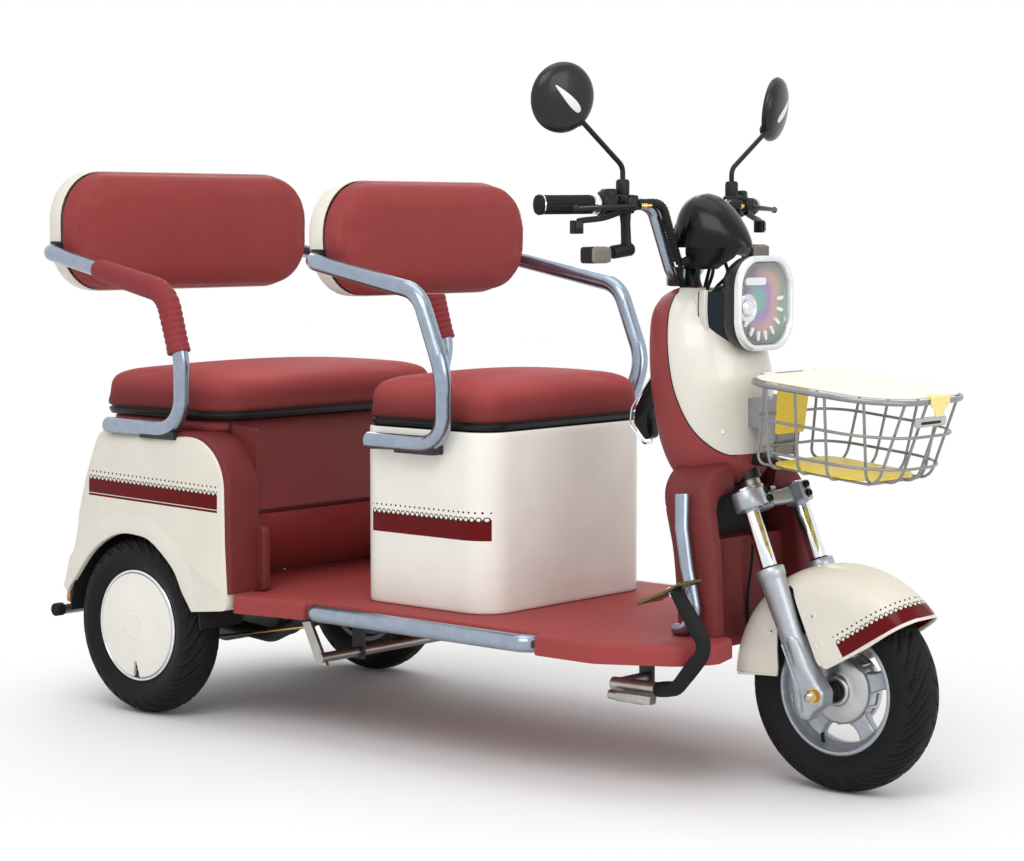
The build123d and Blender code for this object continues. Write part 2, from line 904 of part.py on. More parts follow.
column_sections = [
    # height, centre ahead of the rear-most fit, half length, half width
    (548.0, -276.0, 60.0, 84.0),
    (576.0, -277.0, 74.0, 100.0),
    (616.0, -286.0, 83.0, 112.0),
    (680.0, -295.0, 97.0, 121.0),
    (739.0, -301.0, 103.0, 122.0),
    (800.0, -310.0, 94.0, 108.0),
    (845.0, -322.0, 76.0, 84.0),
    (876.0, -330.0, 50.0, 52.0),
    (888.0, -334.0, 32.0, 32.0),
]


def column_body():
    """Rounded body round the steering head."""
    sections = [
        Pos(front_x + centre, 0, z) * Ellipse(length, width) for z, centre, length, width in column_sections
    ]
    return loft(sections)


def seam_face(step=0.0):
    """Everything ahead of the seam between the two halves of the column body."""
    seam = Spline(
        (front_x - 322 + step, 900),
        (front_x - 306 + step, 827),
        (front_x - 294 + step, 750),
        (front_x - 257 + step, 669),
        (front_x - 226 + step, 622),
        (front_x - 196 + step, 606),
    )
    edge = Polyline(seam @ 1, (front_x - 100, 606), (front_x - 100, 900), seam @ 0)
    return make_face([seam, edge])


def head_space():
    """Room inside the column for the steering head, the stem and the spine."""
    low = steer_point(head_tube_low - 60)
    high = steer_point(head_tube_high + 60)
    return bar(low, high, head_tube_radius + 6) + spine(spine_radius + gap)


def column_parts():
    """The red rear half and the cream front half of the column body."""
    body = column_body() - head_space()
    front = across(seam_face(gap), -200, 200)
    rear = across(seam_face(), -200, 200)
    lamp_room = lamp_block(lamp_x - lamp_depth - gap, lamp_x + 60, lamp_half + gap, lamp_corner)
    lamp_room += Pos(lamp_x - lamp_depth - 20, 0, lamp_z) * Rot(0, 90, 0) * Cylinder(34 + gap, 60)
    cover = max(((body & front) - lamp_room).solids(), key=lambda solid: solid.volume)
    return body - rear - lamp_room, cover


def shield():
    """Red leg shield below the column: a hollow centre and two forward legs."""
    back = plate(
        [
            (shield_front_x - 76, shield_top),
            (shield_front_x - 60, 440),
            (shield_front_x - 30, floor_top + gap),
            (shield_front_x, floor_top + gap),
            (shield_front_x, panel_top + 4),
            (shield_front_x - 34, panel_top + 8),
            (shield_front_x - 34, shield_top),
        ],
        -shield_half_width,
        shield_half_width,
    )
    spine_room = block(shield_front_x - 130, shield_front_x - 18, -24, 24, floor_top - 40, shield_top + 20)
    leg = plate(
        [
            (shield_front_x - 53, 521),
            (shield_front_x - 30, floor_top + gap),
            (shield_front_x + 56, floor_top + gap),
            (shield_front_x + 43, 500),
            (shield_front_x + 24, 540),
            (shield_front_x - 20, shield_top),
        ],
        -shield_half_width,
        -shield_half_width + 42,
    )
    return back + leg + mirror(leg, about=Plane.XZ) - spine_room


def inner_panel():
    """Dark red panel between the legs, behind the front wheel."""
    half = shield_inner_half
    x = shield_front_x + gap
    return block(x, x + panel_thickness, -half, half, 240, panel_top)


def guard_bars():
    """Bright bars set against the legs of the shield."""
    y = shield_half_width + guard_radius + gap
    points = [
        (shield_front_x - 14, y, 528),
        (shield_front_x - 26, y, 486),
        (shield_front_x + 10, y, 400),
        (shield_front_x + 34, y, 335),
        (shield_front_x + 6, y, 298),
    ]
    guard = rod(points, guard_radius, [22, 60, 24])
    return both_sides(guard)


def bag_hook():
    """Folding hook for a bag, on the rider's side of the column."""
    x = front_x - 404
    hook = plate(
        [
            (x + 60, 748),
            (x - 10, 752),
            (x - 22, 738),
            (x - 64, 662),
            (x - 66, 636),
            (x - 36, 604),
            (x - 28, 612),
            (x - 34, 650),
            (x - 8, 690),
            (x + 60, 694),
        ],
        -17,
        17,
    )
    return max((hook - column_body()).solids(), key=lambda solid: -solid.center().X)


# ---------------------------------------------------------------- headlamp


def lamp_block(x_low, x_high, half, corner):
    """A block with the rounded square outline of the headlamp."""
    sketch = Plane(origin=(x_low, 0, lamp_z), x_dir=(0, 1, 0), z_dir=(1, 0, 0)) * RectangleRounded(
        2 * half, 2 * half, corner
    )
    return extrude(sketch, amount=x_high - x_low, dir=(1, 0, 0))


def headlamp_housing():
    """Black bowl and bright bezel round the lens."""
    bowl = lamp_block(lamp_x - lamp_depth, lamp_x, lamp_half, lamp_corner)
    bowl = fillet(bowl.edges().group_by(Axis.X)[0], 20)
    hollow = lamp_block(lamp_x - lamp_depth + 22, lamp_x + 1, lamp_half - 11, lamp_corner - 11)
    neck = Pos(lamp_x - lamp_depth - 20, 0, lamp_z) * Rot(0, 90, 0) * Cylinder(34, 60)
    room = bar(steer_point(head_tube_low), steer_point(head_tube_high + 60), head_tube_radius + 6)
    return bowl - hollow + neck - room


def headlamp_lens():
    """Crowned lens in the headlamp bezel."""
    lens = lamp_block(lamp_x - 10, lamp_x + 8, lamp_half - 11 - gap, lamp_corner - 11 - gap)
    return fillet(lens.edges().group_by(Axis.X)[-1], 12)


# ---------------------------------------------------------------- basket


def basket_place(drop):
    """A plane of the basket, below its rim by a drop, sloping down to the front."""
    return Pos(basket_rear_x, 0, basket_rim_z - drop) * Rot(0, basket_slope, 0)


def basket_plan(length, half_width, corner):
    """Corner points and radii of a basket hoop: square at the back, round in front."""
    small = corner * basket_rear_corner / basket_corner
    points = [(0, -half_width, 0), (length, -half_width, 0), (length, half_width, 0), (0, half_width, 0)]
    return points, [small, corner, corner, small]


def hoop(drop, length, half_width, radius, corner=basket_corner):
    """A closed wire hoop of the basket."""
    points, radii = basket_plan(length, half_width, corner)
    path = FilletPolyline(*points, radius=radii, close=True)
    section = Plane(origin=path @ 0, z_dir=path % 0) * Circle(radius)
    return basket_place(drop) * sweep(section, path=path)


def basket():
    """Wire basket: three hoops, ribs and a mounting plate."""
    low_length = basket_length - 36
    low_half = basket_half_width - 36
    wires = hoop(0, basket_length, basket_half_width, basket_rim_radius)
    wires += hoop(62, basket_length - 12, basket_half_width - 14, basket_wire_radius)
    wires += hoop(120, low_length + 6, low_half + 8, basket_wire_radius)
    for share in (0.18, 0.38, 0.58, 0.78):
        x = share * basket_length
        reach = basket_half_width - max(0.0, share - 0.6) * 160
        foot = reach - 42
        points = [(x, -reach, 0), (x, -foot - 8, -basket_depth), (x, foot + 8, -basket_depth), (x, reach, 0)]
        wires += basket_place(0) * rod(points, basket_wire_radius, [30, 30])
    for y in (-84, -28, 28, 84):
        front = basket_length - (y / 100) ** 2 * 14
        points = [(3, y, 0), (3, y, -basket_depth), (front - 40, y, -basket_depth), (front, y, 0)]
        wires += basket_place(0) * rod(points, basket_wire_radius, [16, 30])
    back = basket_place(0) * block(-8, 3, -40, 40, -basket_depth + 8, -30)
    bracket = block(basket_rear_x - 100, basket_rear_x - 3, -32, 32, basket_rim_z - 92, basket_rim_z - 40)
    return wires + back + (bracket - column_body())


def basket_liner():
    """Yellow plate on the basket's floor."""
    points, radii = basket_plan(basket_length - 99, basket_half_width - 58, 60)
    face = make_face(FilletPolyline(*points, radius=radii, close=True))
    low = -basket_depth + basket_wire_radius + gap
    return basket_place(0) * Pos(34, 0, low) * extrude(face, amount=4)


def basket_lid():
    """Flat lid over the basket, hinged along its back edge."""
    points, radii = basket_plan(basket_length - 4, basket_half_width - 2, basket_corner)
    face = make_face(FilletPolyline(*points, radius=radii, close=True))
    low = basket_rim_radius + gap
    lid = Pos(4, 0, low) * extrude(face, amount=basket_lid_thickness)
    latch = block(basket_length + 5.5, basket_length + 9, -26, 26, -34, low + basket_lid_thickness)
    latch += block(basket_length - 20, basket_length + 9, -26, 26, low, low + basket_lid_thickness)
    barrel_z = low + lid_barrel_radius
    for y in (-lid_barrel_y, lid_barrel_y):
        lid += bar((lid_barrel_x, y - 15, barrel_z), (lid_barrel_x, y + 15, barrel_z), lid_barrel_radius)
        lid += block(lid_barrel_x, 10, y - 15, y + 15, low, barrel_z + lid_barrel_radius - 0.4)
    return basket_place(0) * (lid + latch)


# ---------------------------------------------------------------- fork and bars


def fork_yoke():
    """Steering stem with the lower clamp that grips both fork tubes."""
    yoke = on_fork(clamp_z, fork_offset - 8, 0) * Box(clamp_bridge, 2 * fork_half_spacing, clamp_height)
    yoke += on_fork(clamp_z, 2, 0) * Cylinder(clamp_boss, clamp_height)
    for side in (-1, 1):
        place = on_fork(clamp_z, fork_offset, side * fork_half_spacing)
        yoke += place * Cylinder(stanchion_radius + clamp_wall, clamp_height)
        yoke -= place * Cylinder(stanchion_radius + running_gap, 200)
    stem = bar(steer_point(clamp_z - 8), steer_point(bar_low_z - 18), stem_radius)
    return yoke + stem


def fork_tubes():
    """Chromed upper tubes of the fork."""
    tube = bar(
        steer_point(clamp_z + clamp_height / 2 + 4, fork_offset, fork_half_spacing),
        steer_point(300, fork_offset, fork_half_spacing),
        stanchion_radius,
    )
    return both_sides(tube)


def fork_legs():
    """Cast lower legs with lugs for the axle."""
    leg = bar(
        steer_point(362, fork_offset, fork_half_spacing),
        steer_point(wheel_z - 24, fork_offset, fork_half_spacing),
        leg_radius,
    )
    y = fork_half_spacing
    lug = plate(
        [
            (front_x - 46, wheel_z + 46),
            (front_x + 8, wheel_z + 18),
            (front_x + 16, wheel_z - 6),
            (front_x + 2, wheel_z - 30),
            (front_x - 30, wheel_z - 30),
        ],
        y - lug_half,
        y + lug_half,
    )
    leg += lug
    bore = bar(
        steer_point(380, fork_offset, fork_half_spacing),
        steer_point(296, fork_offset, fork_half_spacing),
        stanchion_radius,
    )
    leg -= bore
    leg -= disc(front_x, y, wheel_z, axle_radius, 80)
    return both_sides(leg)


def front_axle():
    """Front axle bolt with its nuts."""
    reach = fork_half_spacing + lug_half
    axle = disc(front_x, 0, wheel_z, axle_radius, 2 * reach + 30)
    for side in (-1, 1):
        axle += disc(front_x, side * (reach + gap + 5), wheel_z, 12, 10)
        inner = fork_half_spacing - lug_half - gap
        length = inner - drum_width / 2 - 1
        axle += disc(front_x, side * (drum_width / 2 + 1 + length / 2), wheel_z, 11, length)
    return axle


def front_fender():
    """Front fender: a hollow crowned shell, slotted for the fork legs."""
    centre = (front_x + 8, wheel_z + 8)
    start = math.radians(35)
    arc = [
        (centre[0] + fender_radius * math.cos(a), centre[1] + fender_radius * math.sin(a))
        for a in (start, math.radians(105), math.radians(176))
    ]
    low = [(front_x - 184, 199), (front_x - 96, 207), (front_x - 4, 231), (front_x + 90, 270)]
    crown = ThreePointArc(*arc)
    face = make_face([crown, Polyline(crown @ 1, *low, crown @ 0)])
    outer = across(face, -fender_half_width, fender_half_width)
    wall = fender_wall
    inner_radius = fender_radius - wall
    inner_arc = [
        (centre[0] + inner_radius * math.cos(a), centre[1] + inner_radius * math.sin(a))
        for a in (math.radians(0), math.radians(90), math.radians(180))
    ]
    bowl = ThreePointArc(*inner_arc)
    under = Polyline(bowl @ 1, (inner_arc[2][0], 100), (inner_arc[0][0], 100), bowl @ 0)
    hollow = across(make_face([bowl, under]), -fender_half_width + wall, fender_half_width - wall)
    outer = fillet(crown_edges(outer), 42)
    hollow = fillet(crown_edges(hollow), 42 - wall)
    shell = outer - hollow
    for side in (-1, 1):
        reach = 2 * (leg_radius + 2 - gap)
        slot = on_fork(280, fork_offset, side * (fork_half_spacing + 2)) * Box(2 * leg_radius + 14, reach, 190)
        lug_room = Pos(front_x - 14, side * 84, wheel_z + 10) * Box(90, 60, 90)
        shell -= slot + lug_room
    return shell


def crown_edges(solid):
    """The long curved edges of a shell's crown."""
    return [edge for edge in solid.edges() if edge.geom_type == GeomType.CIRCLE and edge.length > 200]


def bar_route():
    """Route of the handlebar from the right end to the left end."""
    x = steer_point(bar_low_z)[0]
    right = [
        (x - 78, -bar_end_y, bar_z),
        (x + 12, -115, bar_z + 2),
        (x, -35, bar_low_z),
    ]
    return right + [(px, -py, pz) for px, py, pz in reversed(right)]


def handlebar():
    """Bent handlebar held in a clamp on top of the stem."""
    tube = rod(bar_route(), bar_radius, [42, 34, 34, 42])
    x = steer_point(bar_low_z)[0]
    clamp = block(x - 20, x + 20, -26, 26, bar_low_z - 17, bar_low_z + 17)
    stem_room = bar(steer_point(bar_low_z - 60), steer_point(bar_low_z - 18), stem_radius)
    return tube + clamp - stem_room


def grip_axis():
    """End point of the right grip, and the unit direction inward along the bar."""
    end, bend = (Vector(*p) for p in bar_route()[:2])
    return end, (bend - end).normalized()


def on_grip(distance):
    """A point along the right grip, measured in from the bar end."""
    end, inward = grip_axis()
    return end + inward * distance


def grips():
    """Rubber grips on the bar ends."""
    outer = bar(tuple(on_grip(-4)), tuple(on_grip(grip_length)), grip_radius)
    inner = bar(tuple(on_grip(0)), tuple(on_grip(grip_length + 10)), bar_radius + gap)
    return both_sides(outer - inner)


def controls():
    """Lever perches with their levers and switch housings."""
    start = grip_length + 3
    perch = bar(tuple(on_grip(start)), tuple(on_grip(start + 62)), perch_radius)
    _, inward = grip_axis()
    ahead = Vector(inward.Y, -inward.X, 0)
    if ahead.X < 0:
        ahead = ahead * -1
    pivot = on_grip(start + 20) + ahead * 34
    perch += bar(tuple(on_grip(start + 20)), tuple(pivot), 9)
    tip = on_grip(45) + ahead * 55 - Vector(0, 0, 18)
    knee = on_grip(start + 9) + ahead * 48 - Vector(0, 0, 5)
    perch += bar(tuple(pivot), tuple(knee), 7)
    perch += bar(tuple(knee), tuple(tip), 5.5)
    perch += Pos(*tuple(knee)) * Sphere(7)
    perch += Pos(*tuple(tip)) * Sphere(8)
    perch -= bar(tuple(on_grip(start - 10)), tuple(on_grip(start + 80)), bar_radius + gap)
    return both_sides(perch)


def wiring_loom():
    """Cable looms held along the front of the bar, from the switches to the pod's base."""
    x = steer_point(bar_low_z)[0]
    points = [
        (x + 14, -157, bar_z + 2),
        (x + 31, -108, bar_z + 4),
        (x + 21, -43, bar_low_z + 21),
        (x + 51, -43, bar_low_z + 38),
    ]
    return both_sides(rod(points, loom_radius, [30, 12]))


def mirrors():
    """Round mirrors on bent stems that rise from the lever perches."""
    foot = on_grip(grip_length + 34) + Vector(4, 0, perch_radius + 1)
    head = (foot.X - 6, -bar_end_y - 2, 1230)
    elbow = (foot.X + 2, foot.Y + 4, 1102)
    middle = (head[0] + 2, head[1] + 46, 1180)
    stem = rod([tuple(foot), elbow, middle, (head[0] + 4, head[1], head[2])], 5, [24, 40])
    face = Pos(*head) * Rot(0, 82, 12) * Cylinder(62.5, 16)
    return both_sides(stem + fillet(face.edges(), 5))


def turn_signals():
    """Turn signals on elbow brackets under the lever perches."""
    top = on_grip(grip_length + 50) - Vector(0, 0, perch_radius + gap)
    elbow = (top.X + 4, top.Y, 958)
    tip = (elbow[0] - 6, elbow[1] - 64, 954)
    arm = rod([tuple(top), elbow, tip], 8, [14])
    lamp = Pos(*tip) * Box(30, 58, 30)
    return both_sides(arm + fillet(lamp.edges(), 6))


def instrument_pod():
    """Gloss instrument pod ahead of the handlebar clamp."""
    x = steer_point(bar_low_z)[0]
    pod = Pos(x + 68, 0, 1008) * scale(Sphere(1), by=(66, 60, 56))
    pod = pod - block(x - 100, x + 200, -100, 100, 900, 966)
    base = block(x + 34, x + 96, -36, 36, 934, 966)
    stay = block(x + 20 + gap, x + 60, -14, 14, bar_low_z - 12, 936)
    return pod + base + stay


# ---------------------------------------------------------------- controls below


def brake_shaft():
    """Brake cross shaft under the floor with its lever."""
    x = shaft_x
    shaft = bar((x, -262, shaft_z), (x, rail_y + 12, shaft_z), shaft_radius)
    lever = plate(
        [(x - 14, shaft_z - 14), (x + 14, shaft_z - 14), (x - 32, shaft_z + 70), (x - 54, shaft_z + 66)],
        rod_y - 3 - gap - 8,
        rod_y - 3 - gap,
    )
    return shaft + lever


def brake_rod():
    """Brass rod from the brake lever back to the arm on the axle."""
    return bar((rear_x + 66, rod_y, shaft_z), (rear_x + 384, rod_y, shaft_z + 58), 3)


def brake_pedal():
    """Brake pedal on a sleeved lever that curves up past the floor's front corner."""
    y = -262
    lever = rod(
        [
            (pedal_pivot_x, y + 24, pedal_pivot_z),
            (front_x - 245, y + 24, pedal_pivot_z),
            (front_x - 177, y, 199),
            (front_x - 111, y, 277),
            (front_x - 186, y + 4, 374),
        ],
        11.5,
        [30, 24, 26],
    )
    pad = Pos(front_x - 206, y + 16, 366) * Rot(0, -25, 0) * Box(104, 74, 9)
    pivot = bar(
        (pedal_pivot_x, -240, pedal_pivot_z), (pedal_pivot_x, -rail_y + 12, pedal_pivot_z), shaft_radius
    )
    return lever + pad + pivot


# ---------------------------------------------------------------- build


def build():
    """Write every node."""
    os.makedirs("parts", exist_ok=True)
    save("chassis_frame", chassis_frame())
    save("rear_axle", rear_axle())
    save("drive_motor", drive_motor())
    save("rear_suspension", rear_suspension())
    save("floor_board", floor_board())
    save("side_tubes", side_tubes())
    save("rear_fenders", both_sides(fender()))
    save("wheel_liners", wheel_liners())
    save("bench_deck", deck())
    save("footwell_panel", footwell())
    save("tail_panel", tail_panel())
    save("tail_lamps", tail_lamps())
    save("rear_bumper", rear_bumper())
    save("bench_pan", bench_base())
    save("bench_cushion", bench_cushion())
    save("driver_pan", driver_base())
    save("driver_cushion", driver_cushion())
    save("driver_seat_box", driver_box())
    save("battery_pack", battery())
    save("bench_arm_tube", bench_arm_tube())
    save("driver_arm_tube", driver_arm_tube())
    save("arm_brackets", arm_brackets())
    save("arm_sleeves", arm_sleeves())
    save("bench_back_pad", backrest_pad(bench_back_x, bench_pad_z, bench_pad_half_width, bench_pad_height))
    save(
        "bench_back_shell",
        backrest_shell(bench_back_x, bench_back_z, bench_pad_z, bench_pad_half_width, bench_pad_height),
    )
    save("driver_back_pad", backrest_pad(driver_back_x, driver_pad_z, driver_pad_half_width, driver_pad_height))
    save(
        "driver_back_shell",
        backrest_shell(driver_back_x, driver_back_z, driver_pad_z, driver_pad_half_width, driver_pad_height),
    )
    save("back_clamps", back_clamps())
    cover_rear, cover_front = column_parts()
    save("column_cover", cover_rear)
    save("front_cover", cover_front)
    save("leg_shield", shield())
    save("inner_panel", inner_panel())
    save("guard_bars", guard_bars())
    save("bag_hook", bag_hook())
    save("headlamp_housing", headlamp_housing())
    save("headlamp_lens", headlamp_lens())
    save("front_basket", basket())
    save("basket_liner", basket_liner())
    save("basket_lid", basket_lid())
    save("fork_yoke", fork_yoke())
    save("fork_tubes", fork_tubes())
    save("fork_legs", fork_legs())
    save("front_axle", front_axle())
    save("front_fender", front_fender())
    save("handlebar", handlebar())
    save("grips", grips())
    save("bar_controls", controls())
    save("wiring_loom", wiring_loom())
    save("mirrors", mirrors())
    save("turn_signals", turn_signals())
    save("instrument_pod", instrument_pod())
    save("brake_shaft", brake_shaft())
    save("brake_rod", brake_rod())
    save("brake_pedal", brake_pedal())
    save("front_rim", front_rim())
    save("front_tyre", tyre((front_x, 0, wheel_z)))
    for name, side in (("right", -1), ("left", 1)):
        save("rear_" + name + "_wheel", rear_wheel(side))
        save("rear_" + name + "_tyre", tyre((rear_x, side * rear_wheel_y, wheel_z)))


if __name__ == "__main__":
    build()
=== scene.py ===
"""Looks of an electric leisure tricycle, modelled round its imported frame.

Sizes are millimetres. X runs forward from the rear axle, Y to the rider's left
and Z up from the ground, and each finished mesh is put into the frame's metres.
"""

import json
import logging
import math
from dataclasses import dataclass, field
from enum import Enum
from typing import Callable, Iterable, Sequence

import bmesh
import bpy
import numpy as np
from mathutils import Matrix, Vector

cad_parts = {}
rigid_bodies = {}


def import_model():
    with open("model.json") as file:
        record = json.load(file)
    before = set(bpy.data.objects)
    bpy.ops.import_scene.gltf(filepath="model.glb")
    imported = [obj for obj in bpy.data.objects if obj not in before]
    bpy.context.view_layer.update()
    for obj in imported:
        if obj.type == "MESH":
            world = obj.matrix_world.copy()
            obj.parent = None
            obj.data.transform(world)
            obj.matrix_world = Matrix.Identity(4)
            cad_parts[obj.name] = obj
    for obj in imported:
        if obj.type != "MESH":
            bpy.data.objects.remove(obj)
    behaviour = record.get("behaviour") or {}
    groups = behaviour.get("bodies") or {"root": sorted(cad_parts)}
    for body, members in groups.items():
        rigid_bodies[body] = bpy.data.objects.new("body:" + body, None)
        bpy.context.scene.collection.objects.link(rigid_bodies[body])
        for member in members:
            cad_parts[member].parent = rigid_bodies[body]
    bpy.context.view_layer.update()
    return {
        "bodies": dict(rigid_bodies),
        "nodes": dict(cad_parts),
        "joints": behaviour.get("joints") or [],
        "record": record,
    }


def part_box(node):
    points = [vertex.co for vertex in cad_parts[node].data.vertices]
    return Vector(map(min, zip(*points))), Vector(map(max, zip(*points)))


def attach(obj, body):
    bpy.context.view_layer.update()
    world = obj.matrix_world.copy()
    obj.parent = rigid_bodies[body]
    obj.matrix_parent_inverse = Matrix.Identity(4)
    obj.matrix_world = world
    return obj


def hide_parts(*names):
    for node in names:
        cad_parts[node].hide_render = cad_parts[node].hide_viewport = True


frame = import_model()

MM = 0.001
REAR_AXLE_X = sum(corner[0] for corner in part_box("rear_right_tyre")) / 2 / MM
FRONT_AXLE = sum(corner[0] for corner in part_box("front_tyre")) / 2 / MM - REAR_AXLE_X
WHEEL_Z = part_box("front_tyre")[1][2] / 2 / MM
TYRE_HALF_WIDTH = 47.0
REAR_TRACK_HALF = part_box("rear_left_tyre")[1][1] / MM - TYRE_HALF_WIDTH
log = logging.getLogger("tricycle")

Point = Sequence[float]
Colour = tuple[float, float, float]


class Body(Enum):
    """The bodies that pieces ride on."""

    CHASSIS = "chassis"
    STEERING = "steering"
    FRONT_WHEEL = "front_wheel"
    RIGHT_WHEEL = "right_wheel"
    LEFT_WHEEL = "left_wheel"
    DRIVER_LID = "driver_lid"
    BENCH_LID = "bench_lid"
    CARRIER_LID = "carrier_lid"


# ------------------------------------------------------------------ shader graph


class Value:
    """A number on a shader socket, so that sums of masks read as sums."""

    def __init__(self, graph: "Tree", socket: bpy.types.NodeSocket) -> None:
        """Wrap a socket.

        Args:
            graph: the graph that holds the socket's node.
            socket: the output socket.
        """
        self.graph = graph
        self.socket = socket

    def _math(self, operation: str, *others: "Value | float", flip: bool = False) -> "Value":
        """Add one Math node.

        Args:
            operation: the Math node's operation.
            others: the second and third inputs.
            flip: put this value second.

        Returns:
            The node's result.
        """
        given = [self, *others]
        if flip:
            given[0], given[1] = given[1], given[0]
        node = self.graph.node("ShaderNodeMath", {"operation": operation}, dict(enumerate(given)))
        return Value(self.graph, node.outputs[0])

    def __add__(self, other: "Value | float") -> "Value":
        """Sum."""
        return self._math("ADD", other)

    __radd__ = __add__

    def __mul__(self, other: "Value | float") -> "Value":
        """Product."""
        return self._math("MULTIPLY", other)

    __rmul__ = __mul__

    def __sub__(self, other: "Value | float") -> "Value":
        """Difference."""
        return self._math("SUBTRACT", other)

    def __rsub__(self, other: "Value | float") -> "Value":
        """Difference with this value second."""
        return self._math("SUBTRACT", other, flip=True)

    def __truediv__(self, other: "Value | float") -> "Value":
        """Quotient."""
        return self._math("DIVIDE", other)

    def __rtruediv__(self, other: "Value | float") -> "Value":
        """Quotient with this value second."""
        return self._math("DIVIDE", other, flip=True)

    def __pow__(self, other: "Value | float") -> "Value":
        """Power."""
        return self._math("POWER", other)

    def __gt__(self, other: "Value | float") -> "Value":
        """One where this value is the larger."""
        return self._math("GREATER_THAN", other)

    def __lt__(self, other: "Value | float") -> "Value":
        """One where this value is the smaller."""
        return self._math("LESS_THAN", other)

    def __abs__(self) -> "Value":
        """Absolute value."""
        return self._math("ABSOLUTE")

    def cell(self, pitch: float) -> "Value":
        """Distance from the middle of a repeated cell, in the value's own unit."""
        share = self._math("DIVIDE", pitch)._math("FRACT")
        return (share - 0.5) * pitch

    def at_most(self, other: "Value | float") -> "Value":
        """The smaller of two values."""
        return self._math("MINIMUM", other)

    def at_least(self, other: "Value | float") -> "Value":
        """The larger of two values."""
        return self._math("MAXIMUM", other)

    def ramp(self, low: float, high: float) -> "Value":
        """A smooth rise from 0 at low to 1 at high.

        Args:
            low: the value where it starts.
            high: the value where it is complete.

        Returns:
            The share risen.
        """
        settings = {"interpolation_type": "SMOOTHSTEP"}
        node = self.graph.node(
            "ShaderNodeMapRange", settings, {"Value": self, "From Min": low, "From Max": high}
        )
        return Value(self.graph, node.outputs["Result"])


class Tree:
    """The nodes of a material or of the world."""

    def __init__(self, owner: bpy.types.Material | bpy.types.World) -> None:
        """Take the owner's tree and empty it.

        Args:
            owner: what the nodes belong to.
        """
        owner.use_nodes = True
        self.tree = owner.node_tree
        self.tree.nodes.clear()

    def node(self, kind: str, settings: dict | None = None, inputs: dict | None = None) -> bpy.types.Node:
        """Add a node.

        Args:
            kind: the node's type name.
            settings: properties set before the sockets; "stops" fills a ramp.
            inputs: values or links by socket name or number.

        Returns:
            The node.
        """
        made = self.tree.nodes.new(kind)
        for key, value in (settings or {}).items():
            if key == "stops":
                ramp = made.color_ramp
                while len(ramp.elements) < len(value):
                    ramp.elements.new(0.5)
                for element, (place, colour) in zip(ramp.elements, value):
                    element.position = place
                    element.color = (*colour, 1.0)
            else:
                setattr(made, key, value)
        for key, value in (inputs or {}).items():
            if isinstance(value, Value):
                self.tree.links.new(value.socket, made.inputs[key])
            elif isinstance(value, bpy.types.NodeSocket):
                self.tree.links.new(value, made.inputs[key])
            else:
                made.inputs[key].default_value = value
        return made


